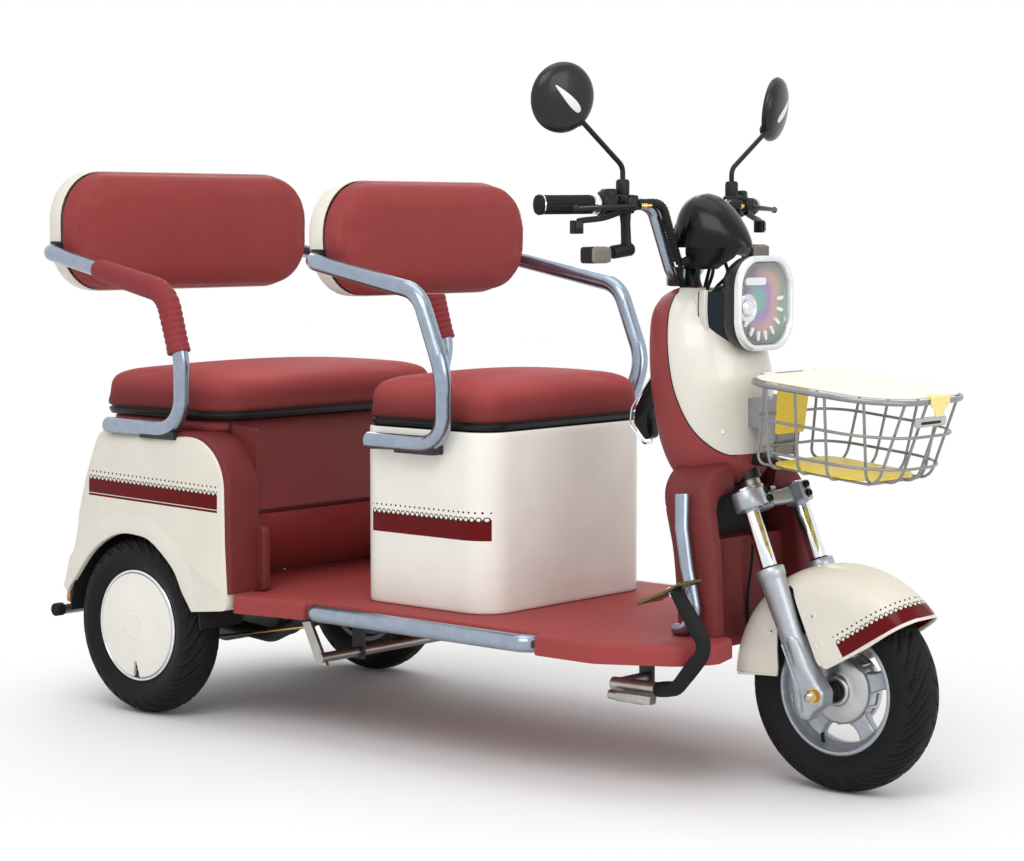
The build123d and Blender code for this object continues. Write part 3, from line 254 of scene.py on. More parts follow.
class Graph(Tree):
    """One material's nodes, with a Principled shader ready to take values."""

    def __init__(self, name: str) -> None:
        """Start an empty material.

        Args:
            name: the material's name.
        """
        self.material = bpy.data.materials.new(name)
        super().__init__(self.material)
        self.shader = self.node("ShaderNodeBsdfPrincipled")
        self.output = self.node("ShaderNodeOutputMaterial", {}, {"Surface": self.shader.outputs[0]})

    def place(self, axis: int) -> Value:
        """Object coordinate along one axis, in millimetres.

        Args:
            axis: 0, 1 or 2.

        Returns:
            The coordinate.
        """
        split = self.node("ShaderNodeSeparateXYZ", {}, {0: self.spot})
        return Value(self, split.outputs[axis]) * (1 / MM)

    @property
    def spot(self) -> bpy.types.NodeSocket:
        """The object coordinates in metres."""
        return self.node("ShaderNodeTexCoord").outputs["Object"]

    def noise(
        self, grain: float, detail: float = 4.0, rough: float = 0.55, stretch: Point = (1, 1, 1)
    ) -> Value:
        """Noise with features of about one grain.

        Args:
            grain: size of a feature in millimetres.
            detail: octaves.
            rough: share that each octave keeps.
            stretch: scale along each axis.

        Returns:
            A value around 0.5.
        """
        vector = self.spot
        if tuple(stretch) != (1, 1, 1):
            scaled = self.node(
                "ShaderNodeVectorMath", {"operation": "MULTIPLY"}, {0: vector, 1: tuple(stretch)}
            )
            vector = scaled.outputs[0]
        sockets = {"Vector": vector, "Scale": 1 / (grain * MM), "Detail": detail, "Roughness": rough}
        return Value(self, self.node("ShaderNodeTexNoise", {}, sockets).outputs[0])

    def cells(self, grain: float, feature: str = "F1", vary: float = 1.0) -> Value:
        """Cell distance of a Voronoi pattern.

        Args:
            grain: size of a cell in millimetres.
            feature: the Voronoi feature.
            vary: randomness of the cells.

        Returns:
            The distance, in cells.
        """
        sockets = {"Vector": self.spot, "Scale": 1 / (grain * MM), "Randomness": vary}
        return Value(
            self, self.node("ShaderNodeTexVoronoi", {"feature": feature}, sockets).outputs["Distance"]
        )

    def mix(self, factor: "Value | float", first: object, second: object) -> bpy.types.NodeSocket:
        """Blend two colours.

        Args:
            factor: share of the second colour.
            first: a colour or a colour socket.
            second: a colour or a colour socket.

        Returns:
            The blended colour's socket.
        """
        colours = [(*c, 1.0) if isinstance(c, tuple) else c for c in (first, second)]
        node = self.node("ShaderNodeMix", {"data_type": "RGBA"}, {0: factor, 6: colours[0], 7: colours[1]})
        return node.outputs[2]

    def bump(
        self, height: Value, depth: float, below: bpy.types.NodeSocket | None = None
    ) -> bpy.types.NodeSocket:
        """Turn a height into a normal.

        Args:
            height: the height, 0 to 1.
            depth: depth of a full step, in millimetres.
            below: a normal to build on.

        Returns:
            The normal's socket.
        """
        sockets = {"Height": height, "Distance": depth * MM, "Strength": 1.0}
        if below is not None:
            sockets["Normal"] = below
        return self.node("ShaderNodeBump", {}, sockets).outputs[0]

    def dress(self, **sockets: object) -> bpy.types.Material:
        """Set the Principled shader's sockets, named with underscores for spaces.

        Args:
            sockets: values, colours or links.

        Returns:
            The finished material.
        """
        for key, value in sockets.items():
            target = self.shader.inputs[key.replace("_", " ")]
            if isinstance(value, Value):
                self.tree.links.new(value.socket, target)
            elif isinstance(value, bpy.types.NodeSocket):
                self.tree.links.new(value, target)
            elif isinstance(value, tuple) and len(value) == 3:
                target.default_value = (*value, 1.0)
            else:
                target.default_value = value
        return self.material


def shade(colour: Colour, factor: float) -> Colour:
    """A colour made lighter or darker.

    Args:
        colour: the colour.
        factor: 1 keeps it.

    Returns:
        The new colour.
    """
    return tuple(min(1.0, c * factor) for c in colour)


# ------------------------------------------------------------------ finishes


@dataclass(frozen=True)
class Finish:
    """A surface finish. Each kind builds its own nodes once and shares the material."""

    name: str
    colour: Colour
    slot: str

    def nodes(self, graph: Graph) -> bpy.types.Material:
        """Fill the graph.

        Args:
            graph: a new material's graph.

        Returns:
            The material.
        """
        return graph.dress(Base_Color=self.colour)

    def material(self) -> bpy.types.Material:
        """The material, made on first use."""
        name = f"{self.name}_look"
        return bpy.data.materials.get(name) or self.nodes(Graph(name))


@dataclass(frozen=True)
class Enamel(Finish):
    """Smooth gloss enamel on steel or moulded panels, with a trace of orange peel."""

    roughness: float = 0.22
    coat: float = 0.3
    specular: float = 0.3

    def paint(self, graph: Graph) -> bpy.types.NodeSocket:
        """The enamel's colour, with faint cloudiness."""
        cloud = graph.noise(90, 3).ramp(0.3, 0.7)
        return graph.mix(cloud, shade(self.colour, 0.97), shade(self.colour, 1.02))

    def nodes(self, graph: Graph) -> bpy.types.Material:
        """Fill the graph.

        Args:
            graph: a new material's graph.

        Returns:
            The material.
        """
        smear = graph.noise(35, 5, 0.65)
        peel = graph.noise(2.2, 2)
        return graph.dress(
            Base_Color=self.paint(graph),
            Roughness=smear * 0.16 + (self.roughness - 0.07),
            Specular_IOR_Level=self.specular,
            Coat_Weight=self.coat,
            Coat_Roughness=0.06,
            Normal=graph.bump(peel, 0.02),
        )


@dataclass(frozen=True)
class StripedEnamel(Enamel):
    """Enamel with a printed band: a plain stripe under a scalloped edge and a row of dots.

    The band runs along a line in side view, and round a nose if the shape has one.
    """

    origin: Point = (0.0, 0.0)
    slope: float = 0.0
    length: float = 300.0
    width: float = 38.0
    pitch: float = 12.5
    nose: float = 0.0
    pinstripe: float = 0.0
    stripe: Colour = (0.115, 0.0, 0.001)
    coat: float = 0.12
    specular: float = 0.1

    def spread(self, graph: Graph) -> tuple[Value, Value]:
        """Distances along the band and up from its lower edge.

        Args:
            graph: the material's graph.

        Returns:
            The two distances.
        """
        turn = math.radians(self.slope)
        x = graph.place(0) - (REAR_AXLE_X + self.origin[0])
        z = graph.place(2) - self.origin[1]
        along = x * math.cos(turn) + z * math.sin(turn)
        if self.nose:
            along = along + (self.nose - abs(graph.place(1))) * 0.75
        return along, z * math.cos(turn) - x * math.sin(turn)

    @staticmethod
    def round_off(first: Value, second: Value) -> Value:
        """Distance from a point, given its two offsets."""
        return (first * first + second * second) ** 0.5

    def paint(self, graph: Graph) -> bpy.types.NodeSocket:
        """The enamel's colour with the band printed over it.

        Args:
            graph: the material's graph.

        Returns:
            The colour's socket.
        """
        along, up = self.spread(graph)
        inside = (along > 0.0) * (along < self.length)
        rise = up - self.width
        reach = self.round_off(along.cell(self.pitch), rise)
        hole = reach < self.pitch * 0.26
        outline = (reach < self.pitch * 0.42) * (1 - hole)
        band = (up > 0.0) * (up < self.width) * (1 - hole) * inside
        lift = self.round_off((along + self.pitch / 2).cell(self.pitch), rise - self.pitch * 1.05)
        dots = (lift < self.pitch * 0.17) * inside
        ink = graph.mix(graph.noise(25, 3), shade(self.stripe, 0.85), shade(self.stripe, 1.3))
        colour = graph.mix(band, super().paint(graph), ink)
        colour = graph.mix((outline * inside).at_least(dots), colour, (0.02, 0.012, 0.012))
        if self.pinstripe:
            line = (abs(up - self.pinstripe) < 0.8) * inside
            colour = graph.mix(line, colour, shade(self.colour, 0.95))
        return colour


@dataclass(frozen=True)
class Moulded(Finish):
    """Moulded plastic with a fine leather-like grain."""

    roughness: float = 0.5
    grain: float = 1.1
    depth: float = 0.06
    coat: float = 0.0
    specular: float = 0.22

    def nodes(self, graph: Graph) -> bpy.types.Material:
        """Fill the graph.

        Args:
            graph: a new material's graph.

        Returns:
            The material.
        """
        cloud = graph.noise(70, 4, 0.6)
        pebble = graph.cells(self.grain).ramp(0.05, 0.65)
        dust = graph.noise(18, 6, 0.7).ramp(0.55, 0.8)
        tone = graph.mix(cloud, shade(self.colour, 0.9), shade(self.colour, 1.1))
        return graph.dress(
            Base_Color=graph.mix(dust * 0.12, tone, shade(self.colour, 1.5)),
            Roughness=cloud * 0.16 + pebble * 0.06 + (self.roughness - 0.1),
            Specular_IOR_Level=self.specular,
            Coat_Weight=self.coat,
            Coat_Roughness=0.15,
            Normal=graph.bump(pebble, self.depth),
        )


@dataclass(frozen=True)
class Hide(Finish):
    """Coated upholstery: pebbled grain and soft folds, with painted light on top and painted shade lower down."""

    # The next three fields paint light and shade by height: between the two heights of the first, the colour goes
    # from the second factor (painted shade, below) to the third (painted light, on top).
    fade: tuple[float, float] = (0.0, 1.0)
    painted_shade_level: float = 1.0
    bright: float = 1.0

    def nodes(self, graph: Graph) -> bpy.types.Material:
        """Fill the graph.

        Args:
            graph: a new material's graph.

        Returns:
            The material.
        """
        cloud = graph.noise(120, 3)
        pores = graph.cells(1.7).ramp(0.0, 0.6)
        wrinkle = graph.cells(4.5, "DISTANCE_TO_EDGE").ramp(0.0, 0.12)
        fold = graph.noise(40, 2)
        tone = graph.mix(cloud, shade(self.colour, 0.88), shade(self.colour, 1.12))
        tone = graph.mix((1 - pores) * 0.35, tone, shade(self.colour, 0.7))
        # Painted light and shade: the colour is scaled up with height, darker low down and lighter on top.
        if self.bright != 1.0:
            height = graph.place(2).ramp(*self.fade)
            grown = height * (self.bright - self.painted_shade_level) + self.painted_shade_level
            scale = graph.node("ShaderNodeCombineXYZ", {}, {0: grown, 1: grown, 2: grown})
            tone = graph.node(
                "ShaderNodeVectorMath", {"operation": "MULTIPLY"}, {0: tone, 1: scale.outputs[0]}
            ).outputs[0]
        fine = graph.bump(pores * 0.7 + wrinkle * 0.3, 0.09)
        return graph.dress(
            Base_Color=tone,
            Roughness=cloud * 0.14 + pores * 0.08 + 0.46,
            Specular_IOR_Level=0.11,
            Normal=graph.bump(fold, 1.2, fine),
        )


@dataclass(frozen=True)
class Metal(Finish):
    """Metal or metallic paint with brushing or casting texture."""

    roughness: float = 0.25
    metallic: float = 1.0
    grain: float = 1.5
    depth: float = 0.01
    stain: float = 0.85
    coat: float = 0.0

    def nodes(self, graph: Graph) -> bpy.types.Material:
        """Fill the graph.

        Args:
            graph: a new material's graph.

        Returns:
            The material.
        """
        cloud = graph.noise(30, 5, 0.65)
        speck = graph.noise(self.grain, 3)
        tone = graph.mix(cloud.ramp(0.35, 0.75), shade(self.colour, self.stain), self.colour)
        return graph.dress(
            Base_Color=tone,
            Metallic=self.metallic,
            Roughness=cloud * 0.12 + speck * 0.06 + (self.roughness - 0.08),
            Coat_Weight=self.coat,
            Coat_Roughness=0.1,
            Normal=graph.bump(speck, self.depth),
        )


@dataclass(frozen=True)
class Rubber(Finish):
    """Matt rubber with mould dust."""

    roughness: float = 0.72
    grain: float = 0.9
    depth: float = 0.05

    def nodes(self, graph: Graph) -> bpy.types.Material:
        """Fill the graph.

        Args:
            graph: a new material's graph.

        Returns:
            The material.
        """
        cloud = graph.noise(22, 6, 0.7)
        speck = graph.noise(self.grain, 3)
        dust = cloud.ramp(0.5, 0.78)
        return graph.dress(
            Base_Color=graph.mix(dust * 0.5, self.colour, shade(self.colour, 2.2)),
            Roughness=cloud * 0.2 + (self.roughness - 0.12),
            Specular_IOR_Level=0.16,
            Normal=graph.bump(speck, self.depth),
        )


@dataclass(frozen=True)
class Glazing(Finish):
    """A clear cover that mostly shows what is behind it."""

    cover: float = 0.05

    def nodes(self, graph: Graph) -> bpy.types.Material:
        """Fill the graph.

        Args:
            graph: a new material's graph.

        Returns:
            The material.
        """
        smear = graph.noise(30, 4)
        return graph.dress(
            Base_Color=self.colour,
            Roughness=smear * 0.05 + 0.02,
            Alpha=smear * 0.05 + (self.cover - 0.02),
            Coat_Weight=1.0,
            Coat_Roughness=0.02,
        )


@dataclass(frozen=True)
class Pearl(Finish):
    """Dark reflector panel with a rainbow film, as on a coated lamp bowl."""

    middle: float = 866.0

    def nodes(self, graph: Graph) -> bpy.types.Material:
        """Fill the graph.

        Args:
            graph: a new material's graph.

        Returns:
            The material.
        """
        swirl = graph.noise(70, 1, 0.3)
        across = graph.place(1)
        up = graph.place(2) - self.middle
        reach = (across * across + up * up) ** 0.5
        bands = reach * 0.0075 + swirl * 0.5
        stops = [
            (0.24, (0.16, 0.40, 0.20)),
            (0.38, (0.10, 0.36, 0.34)),
            (0.52, (0.30, 0.16, 0.42)),
            (0.66, (0.55, 0.30, 0.26)),
            (0.82, (0.20, 0.32, 0.24)),
        ]
        film = graph.node("ShaderNodeValToRGB", {"stops": stops}, {0: bands}).outputs[0]
        rim = (across * -0.4 + reach).ramp(38, 82)
        return graph.dress(
            Base_Color=graph.mix(rim, film, self.colour),
            Metallic=0.35,
            Roughness=swirl * 0.1 + 0.12,
            Coat_Weight=0.8,
            Coat_Roughness=0.03,
        )


class Palette:
    """Every finish of the tricycle."""

    RED: Colour = (0.262, 0.042, 0.042)
    CREAM: Colour = (0.78, 0.74, 0.655)

    cream = Enamel("cream_enamel", CREAM, "cream_paint")
    # A lighter copy of the body cream: painted light for the driver's box and the hubcaps.
    lit_copy_cream = Enamel("lit_copy_cream_enamel", (0.88, 0.855, 0.79), "cream_paint")
    # A darker copy of the body cream: painted shade for the column's front cover and its cup.
    shaded_copy_cream = Enamel("shaded_cream_cover_enamel", (0.72, 0.69, 0.615), "cream_paint")
    shell = Enamel("cream_shell", CREAM, "cream_shell", roughness=0.35)
    red = Moulded("red_moulding", RED, "red_panel", roughness=0.5, grain=0.8, depth=0.03, coat=0.06)
    # A lighter copy of the body red: painted light for the lower heel board, which sits in deep shade.
    lit_heel_red = Moulded(
        "lit_heel_red_moulding", (0.42, 0.085, 0.08), "red_panel", roughness=0.55, grain=0.8, depth=0.03
    )
    # A darker copy of the body red: painted shade for the front trims, heels, upper heel board, footwell cheeks,
    # leg shield and its inner panel.
    shaded_red = Moulded(
        "shaded_red_moulding", (0.16, 0.026, 0.026), "red_panel", roughness=0.5, grain=0.8, depth=0.03
    )
    black_plain = Moulded(
        "black_band", (0.012, 0.012, 0.013), "black_steel", roughness=0.34, grain=0.8, depth=0.02
    )
    floor = Moulded("red_floor", (0.33, 0.054, 0.053), "red_floor", roughness=0.56, grain=0.9, depth=0.05)
    hide = Hide("red_upholstery", (0.3, 0.053, 0.052), "red_leather")
    # Seat cushions: painted shade at half strength below 642 mm, painted light at 1.25 times above 712 mm.
    seat_hide = Hide("red_seat_upholstery", (0.325, 0.057, 0.056), "red_leather", (642, 712), 0.5, 1.25)
    thread = Moulded("red_thread", (0.36, 0.07, 0.075), "red_leather", 0.6, 0.5, 0.05)
    foam = Moulded("red_foam", (0.26, 0.036, 0.042), "red_foam", roughness=0.62, grain=0.7, depth=0.08)
    silver = Metal("silver_tube", (0.36, 0.425, 0.52), "silver_tube", 0.22, 0.9, coat=0.12)
    chrome = Metal("bright_chrome", (0.82, 0.84, 0.87), "chrome_tube", 0.1, 1.0, stain=0.95)
    alloy = Metal("cast_alloy", (0.47, 0.50, 0.55), "cast_grey", 0.4, 0.75, 0.9, 0.05, coat=0.1)
    satin = Metal("satin_alloy", (0.60, 0.61, 0.62), "cast_grey", 0.3, 0.95, 0.8, 0.02)
    steel = Metal("plated_steel", (0.52, 0.51, 0.47), "silver_tube", 0.34, 0.9, 1.2, 0.02)
    wire = Metal("grey_wire", (0.3, 0.305, 0.315), "grey_wire", 0.36, 0.6, 1.0, 0.02, coat=0.15)
    brass = Metal("yellow_plating", (0.78, 0.56, 0.20), "brass_plated", 0.24, 1.0, 1.0, 0.02)
    olive = Metal("dark_gold_plating", (0.17, 0.14, 0.055), "brass_plated", 0.26, 0.95, 1.0, 0.02)
    frame_black = Metal("frame_enamel", (0.022, 0.023, 0.025), "frame_black", 0.38, 0.25, 1.4, 0.03)
    motor = Metal("motor_casting", (0.12, 0.125, 0.13), "motor_grey", 0.45, 0.6, 1.2, 0.06)
    black = Moulded(
        "black_moulding", (0.012, 0.012, 0.013), "black_plastic", roughness=0.36, grain=0.7, depth=0.02
    )
    soft_black = Moulded("black_matt_moulding", (0.015, 0.015, 0.016), "black_plastic", 0.52, 0.9, 0.05)
    lamp_black = Enamel("lamp_bowl_black", (0.012, 0.0125, 0.014), "black_plastic", 0.3, 0.2, 0.25)
    pale_yellow = Moulded(
        "pale_yellow_plastic", (0.86, 0.74, 0.3), "yellow_plastic", roughness=0.38, grain=1.2, depth=0.01
    )
    gloss = Enamel("piano_black", (0.003, 0.003, 0.0035), "gloss_black", 0.24, 0.12, 0.2)
    rubber = Rubber("black_rubber", (0.013, 0.013, 0.0135), "black_rubber")
    tyre = Rubber("tyre_rubber", (0.0095, 0.0095, 0.01), "tyre_rubber", roughness=0.62, grain=1.2, depth=0.08)
    yellow = Moulded(
        "yellow_plastic", (0.93, 0.71, 0.09), "yellow_plastic", roughness=0.38, grain=1.2, depth=0.01
    )
    white = Moulded(
        "ivory_plastic", (0.88, 0.86, 0.74), "white_plastic", roughness=0.4, grain=1.2, depth=0.01
    )
    bezel = Metal("bezel_silver", (0.86, 0.87, 0.88), "chrome_tube", 0.24, 0.45, coat=0.4)
    # Bluish black, painted shade for the gap between the lamp bowl and the cream cover.
    gap_shadow_black = Moulded("lamp_gap_shadow_black", (0.006, 0.012, 0.022), "black_plastic", roughness=0.35, depth=0.02)
    pearl = Pearl("lamp_film", (0.035, 0.035, 0.04), "lamp_glass")
    signal = Moulded("signal_lens", (0.2, 0.18, 0.165), "smoked_lens", 0.16, 3.0, 0.05, coat=0.5)
    amber = Moulded("amber_lens", (0.62, 0.22, 0.05), "amber_lens", 0.25, 2.0, 0.1, coat=0.6)
    glazing = Glazing("clear_cover", (0.9, 0.93, 0.96), "lamp_glass")
    mirror = Metal("mirror_glass", (0.88, 0.9, 0.92), "mirror_glass", 0.09, 1.0, 40, 0.0, stain=1.0)
    plate_white = Moulded("lamp_mark", (0.8, 0.84, 0.88), "lamp_glass", 0.3, 2.0, 0.01, coat=0.3)


# ------------------------------------------------------------------ outlines and paths


def rounded(
    points: Sequence[Point], radii: float | Sequence[float], closed: bool = False, steps: int = 8
) -> list[Vector]:
    """Round the corners of a polyline with tangent arcs.

    Args:
        points: corners, in two or three dimensions.
        radii: one radius, or one for each corner that turns.
        closed: join the last corner to the first.
        steps: segments of each arc.

    Returns:
        The points of the rounded line.
    """
    corners = [Vector(p) for p in points]
    count = len(corners)
    turning = range(count) if closed else range(1, count - 1)
    sizes = [radii] * len(turning) if isinstance(radii, (int, float)) else list(radii)
    made: list[Vector] = [] if closed else [corners[0]]
    for index, radius in zip(turning, sizes):
        here = corners[index]
        back = corners[index - 1] - here
        ahead = corners[(index + 1) % count] - here
        half = back.angle(ahead) / 2
        if radius <= 0 or half > math.pi / 2 - 1e-3:
            made.append(here)
            continue
        reach = min(radius / math.tan(half), back.length * 0.499, ahead.length * 0.499)
        size = reach * math.tan(half)
        start = here + back.normalized() * reach
        centre = here + (back.normalized() + ahead.normalized()).normalized() * (size / math.sin(half))
        first = start - centre
        last = here + ahead.normalized() * reach - centre
        sweep = first.angle(last)
        for step in range(steps + 1):
            share = step / steps
            weights = math.sin((1 - share) * sweep), math.sin(share * sweep)
            made.append(centre + (first * weights[0] + last * weights[1]) / math.sin(sweep))
    if not closed:
        made.append(corners[-1])
    return made


def smooth_line(points: Sequence[Point], count: int, closed: bool = False) -> list[Vector]:
    """A smooth line through a few points.

    Args:
        points: the points it passes.
        count: how many points to return.
        closed: join the end to the start.

    Returns:
        Points evenly spread over the parameter.
    """
    given = [Vector(p) for p in points]
    size = len(given)

    def at(index: int) -> Vector:
        """A given point, with the ends reflected.

        Args:
            index: its number, which may lie one past either end.

        Returns:
            The point.
        """
        if closed:
            return given[index % size]
        if index < 0:
            return given[0] * 2 - given[1]
        if index >= size:
            return given[-1] * 2 - given[-2]
        return given[index]

    spans = size if closed else size - 1
    made = []
    for step in range(count):
        place = step / (count if closed else count - 1) * spans
        span = min(int(place), spans - 1)
        share = place - span
        a, b, c, d = (at(span + offset) for offset in (-1, 0, 1, 2))
        bend = (a * 2 - b * 5 + c * 4 - d) * share**2 + (b * 3 - a - c * 3 + d) * share**3
        made.append((b * 2 + (c - a) * share + bend) * 0.5)
    return made


def respaced(line: Sequence[Vector], count: int, closed: bool = False) -> list[Vector]:
    """The same line with points at equal distances.

    Args:
        line: the points.
        count: how many to return.
        closed: join the end to the start.

    Returns:
        The new points.
    """
    points = np.array([tuple(p) for p in (list(line) + [line[0]] if closed else line)], float)
    reach = np.concatenate([[0], np.cumsum(np.linalg.norm(np.diff(points, axis=0), axis=1))])
    places = np.linspace(0, reach[-1], count, endpoint=not closed)
    columns = [np.interp(places, reach, points[:, axis]) for axis in range(points.shape[1])]
    return [Vector(row) for row in np.stack(columns, axis=1)]


def offset_line(line: Sequence[Vector], inset: float) -> list[Vector]:
    """Move a closed flat outline inwards along its own normals.

    Args:
        line: points in two dimensions.
        inset: distance, outwards when negative.

    Returns:
        The moved points.
    """
    area = sum(a.x * b.y - b.x * a.y for a, b in zip(line, [*line[1:], line[0]]))
    turn = 1.0 if area > 0 else -1.0
    made = []
    for index, here in enumerate(line):
        tangent = (line[(index + 1) % len(line)] - line[index - 1]).normalized()
        made.append(here + Vector((-tangent.y, tangent.x)) * inset * turn)
    return made


def rounded_box(half_x: float, half_y: float, corner: float, count: int = 96) -> list[Vector]:
    """A rounded rectangle about the origin, with evenly spaced points."""
    corners = [(-half_x, -half_y), (half_x, -half_y), (half_x, half_y), (-half_x, half_y)]
    return respaced(rounded(corners, corner, closed=True, steps=10), count, closed=True)


def bulged(part: float, power: float) -> float:
    """A sine or cosine raised to a power, with its sign kept."""
    return math.copysign(abs(part) ** power, part)


def oval(half_x: float, half_y: float, count: int = 48, power: float = 2.0) -> list[Vector]:
    """A superellipse about the origin.

    Args:
        half_x: half its length.
        half_y: half its width.
        count: how many points.
        power: 2 for an ellipse, more for a squarer form.

    Returns:
        The points.
    """
    made = []
    for step in range(count):
        turn = 2 * math.pi * step / count
        x, y = (bulged(part, 2 / power) for part in (math.cos(turn), math.sin(turn)))
        made.append(Vector((x * half_x, y * half_y)))
    return made


# ------------------------------------------------------------------ shapes


@dataclass
class Shape:
    """Points and faces of one closed piece, in millimetres from the rear axle."""

    verts: list[Vector] = field(default_factory=list)
    faces: list[tuple[int, ...]] = field(default_factory=list)

    def __add__(self, other: "Shape") -> "Shape":
        """Both shapes in one.

        Args:
            other: the second shape.

        Returns:
            The joined shape.
        """
        shift = len(self.verts)
        moved = [tuple(index + shift for index in face) for face in other.faces]
        return Shape(self.verts + other.verts, self.faces + moved)

    def mapped(self, change: Callable[[Vector], Vector]) -> "Shape":
        """Move every point.

        Args:
            change: gives the new place of a point.

        Returns:
            The moved shape.
        """
        return Shape([change(v) for v in self.verts], self.faces)

    def moved(self, x: float = 0.0, y: float = 0.0, z: float = 0.0) -> "Shape":
        """The shape shifted."""
        return self.mapped(lambda v: v + Vector((x, y, z)))

    def mirrored(self) -> "Shape":
        """The shape on the other side of the machine."""
        flipped = [tuple(reversed(face)) for face in self.faces]
        return Shape([Vector((v.x, -v.y, v.z)) for v in self.verts], flipped)

    def both(self) -> "Shape":
        """The shape and its mirror image."""
        return self + self.mirrored()

    def turned(self, degrees: float, axis: Point, centre: Point = (0, 0, 0)) -> "Shape":
        """The shape turned about a line.

        Args:
            degrees: the angle.
            axis: the line's direction.
            centre: a point on the line.

        Returns:
            The turned shape.
        """
        turn = Matrix.Rotation(math.radians(degrees), 3, Vector(axis))
        middle = Vector(centre)
        return self.mapped(lambda v: turn @ (v - middle) + middle)


def loft(
    rings: Sequence[Sequence[Vector]], caps: bool = True, closed: bool = False, open_ring: bool = False
) -> Shape:
    """Join rings of equal count with quads.

    Args:
        rings: the rings, in order.
        caps: close both ends with a fan.
        closed: join the last ring to the first.
        open_ring: leave each ring open, for a sheet.

    Returns:
        The shape.
    """
    count = len(rings[0])
    shape = Shape([Vector(p) for ring in rings for p in ring])
    spans = len(rings) if closed else len(rings) - 1
    for row in range(spans):
        low, high = row * count, (row + 1) % len(rings) * count
        for column in range(count - 1 if open_ring else count):
            nxt = (column + 1) % count
            shape.faces.append((low + column, low + nxt, high + nxt, high + column))
    if caps and not closed:
        for ring, base in ((rings[0], 0), (rings[-1], (len(rings) - 1) * count)):
            middle = sum((Vector(p) for p in ring), Vector((0, 0, 0))) / count
            shape.verts.append(middle)
            hub = len(shape.verts) - 1
            order = [(base + c, base + (c + 1) % count, hub) for c in range(count)]
            shape.faces += [tuple(reversed(face)) for face in order] if base == 0 else order
    return shape


def path_frames(path: Sequence[Vector], up: Point | None = None) -> list[tuple[Vector, Vector, Vector]]:
    """Frames carried along a path without twist.

    Args:
        path: the points.
        up: a direction that the first axis starts nearest to.

    Returns:
        For each point its tangent and two normals.
    """
    tangents = []
    for index in range(len(path)):
        ahead = path[min(index + 1, len(path) - 1)]
        behind = path[max(index - 1, 0)]
        tangents.append((ahead - behind).normalized())
    guess = Vector(up) if up else Vector((0, 0, 1)) if abs(tangents[0].z) < 0.9 else Vector((1, 0, 0))
    normal = (guess - tangents[0] * guess.dot(tangents[0])).normalized()
    frames = []
    for tangent in tangents:
        normal = (normal - tangent * normal.dot(tangent)).normalized()
        frames.append((tangent, normal, tangent.cross(normal)))
    return frames


def tube(
    path: Sequence[Point],
    radius: float | Callable[[float], float],
    sides: int = 20,
    caps: bool = True,
    flat: tuple[float, float] = (1.0, 1.0),
    up: Point | None = None,
) -> Shape:
    """A round or oval bar along a path.

    Args:
        path: the points.
        radius: the radius, or a function of the share along.
        sides: points round the bar.
        caps: close the ends.
        flat: stretch along the two normals.
        up: where the first normal starts.

    Returns:
        The shape.
    """
    line = [Vector(p) for p in path]
    reach = [0.0]
    for a, b in zip(line, line[1:]):
        reach.append(reach[-1] + (b - a).length)
    rings = []
    for place, here, (_, first, second) in zip(reach, line, path_frames(line, up)):
        size = radius(place / reach[-1]) if callable(radius) else radius
        ring = []
        for step in range(sides):
            turn = 2 * math.pi * step / sides
            ring.append(
                here + first * math.cos(turn) * size * flat[0] + second * math.sin(turn) * size * flat[1]
            )
        rings.append(ring)
    return loft(rings, caps)


def rod(
    points: Sequence[Point], radius: float, bends: float | Sequence[float] = 0.0, sides: int = 20,
    rim: float = 0.0
) -> Shape:
    """A round bar with rounded bends and, if asked, softened ends.

    Args:
        points: the corners of its path.
        radius: its radius.
        bends: radii of the bends.
        sides: points round it.
        rim: radius of the softened ends.

    Returns:
        The shape.
    """
    line = rounded(points, bends, steps=10) if len(points) > 2 else [Vector(p) for p in points]
    if not rim:
        return tube(line, radius, sides)
    start = (line[1] - line[0]).normalized()
    end = (line[-1] - line[-2]).normalized()
    head = [line[0] + start * rim * s for s in (0.0, 0.12, 0.4)]
    tail = [line[-1] - end * rim * s for s in (0.4, 0.12, 0.0)]
    whole = [*head, line[0] + start * rim, *line[1:-1], line[-1] - end * rim, *tail]
    sizes = [radius - rim, radius - rim * 0.45, radius - rim * 0.12, *[radius] * (len(line))]
    sizes += [radius - rim * 0.12, radius - rim * 0.45, radius - rim]
    rings = []
    for here, size, (_, first, second) in zip(whole, sizes, path_frames(whole)):
        turns = [2 * math.pi * step / sides for step in range(sides)]
        rings.append([here + first * math.cos(t) * size + second * math.sin(t) * size for t in turns])
    return loft(rings)


def revolve(
    profile: Sequence[Point], centre: Point, steps: int = 96, axis: Point = (0, 1, 0), closed: bool = True
) -> Shape:
    """Turn a profile about a line.

    Args:
        profile: (radius, distance along the line) pairs.
        centre: a point on the line.
        steps: points round it.
        axis: the line's direction.
        closed: join the profile's end to its start.

    Returns:
        The shape.
    """
    line = Vector(axis).normalized()
    first = line.cross(Vector((0, 0, 1)) if abs(line.z) < 0.9 else Vector((1, 0, 0))).normalized()
    second = line.cross(first)
    middle = Vector(centre)
    rings = []
    for step in range(steps):
        turn = 2 * math.pi * step / steps
        out = first * math.cos(turn) + second * math.sin(turn)
        rings.append([middle + out * r + line * a for r, a in profile])
    return loft(rings, closed=True, open_ring=not closed)


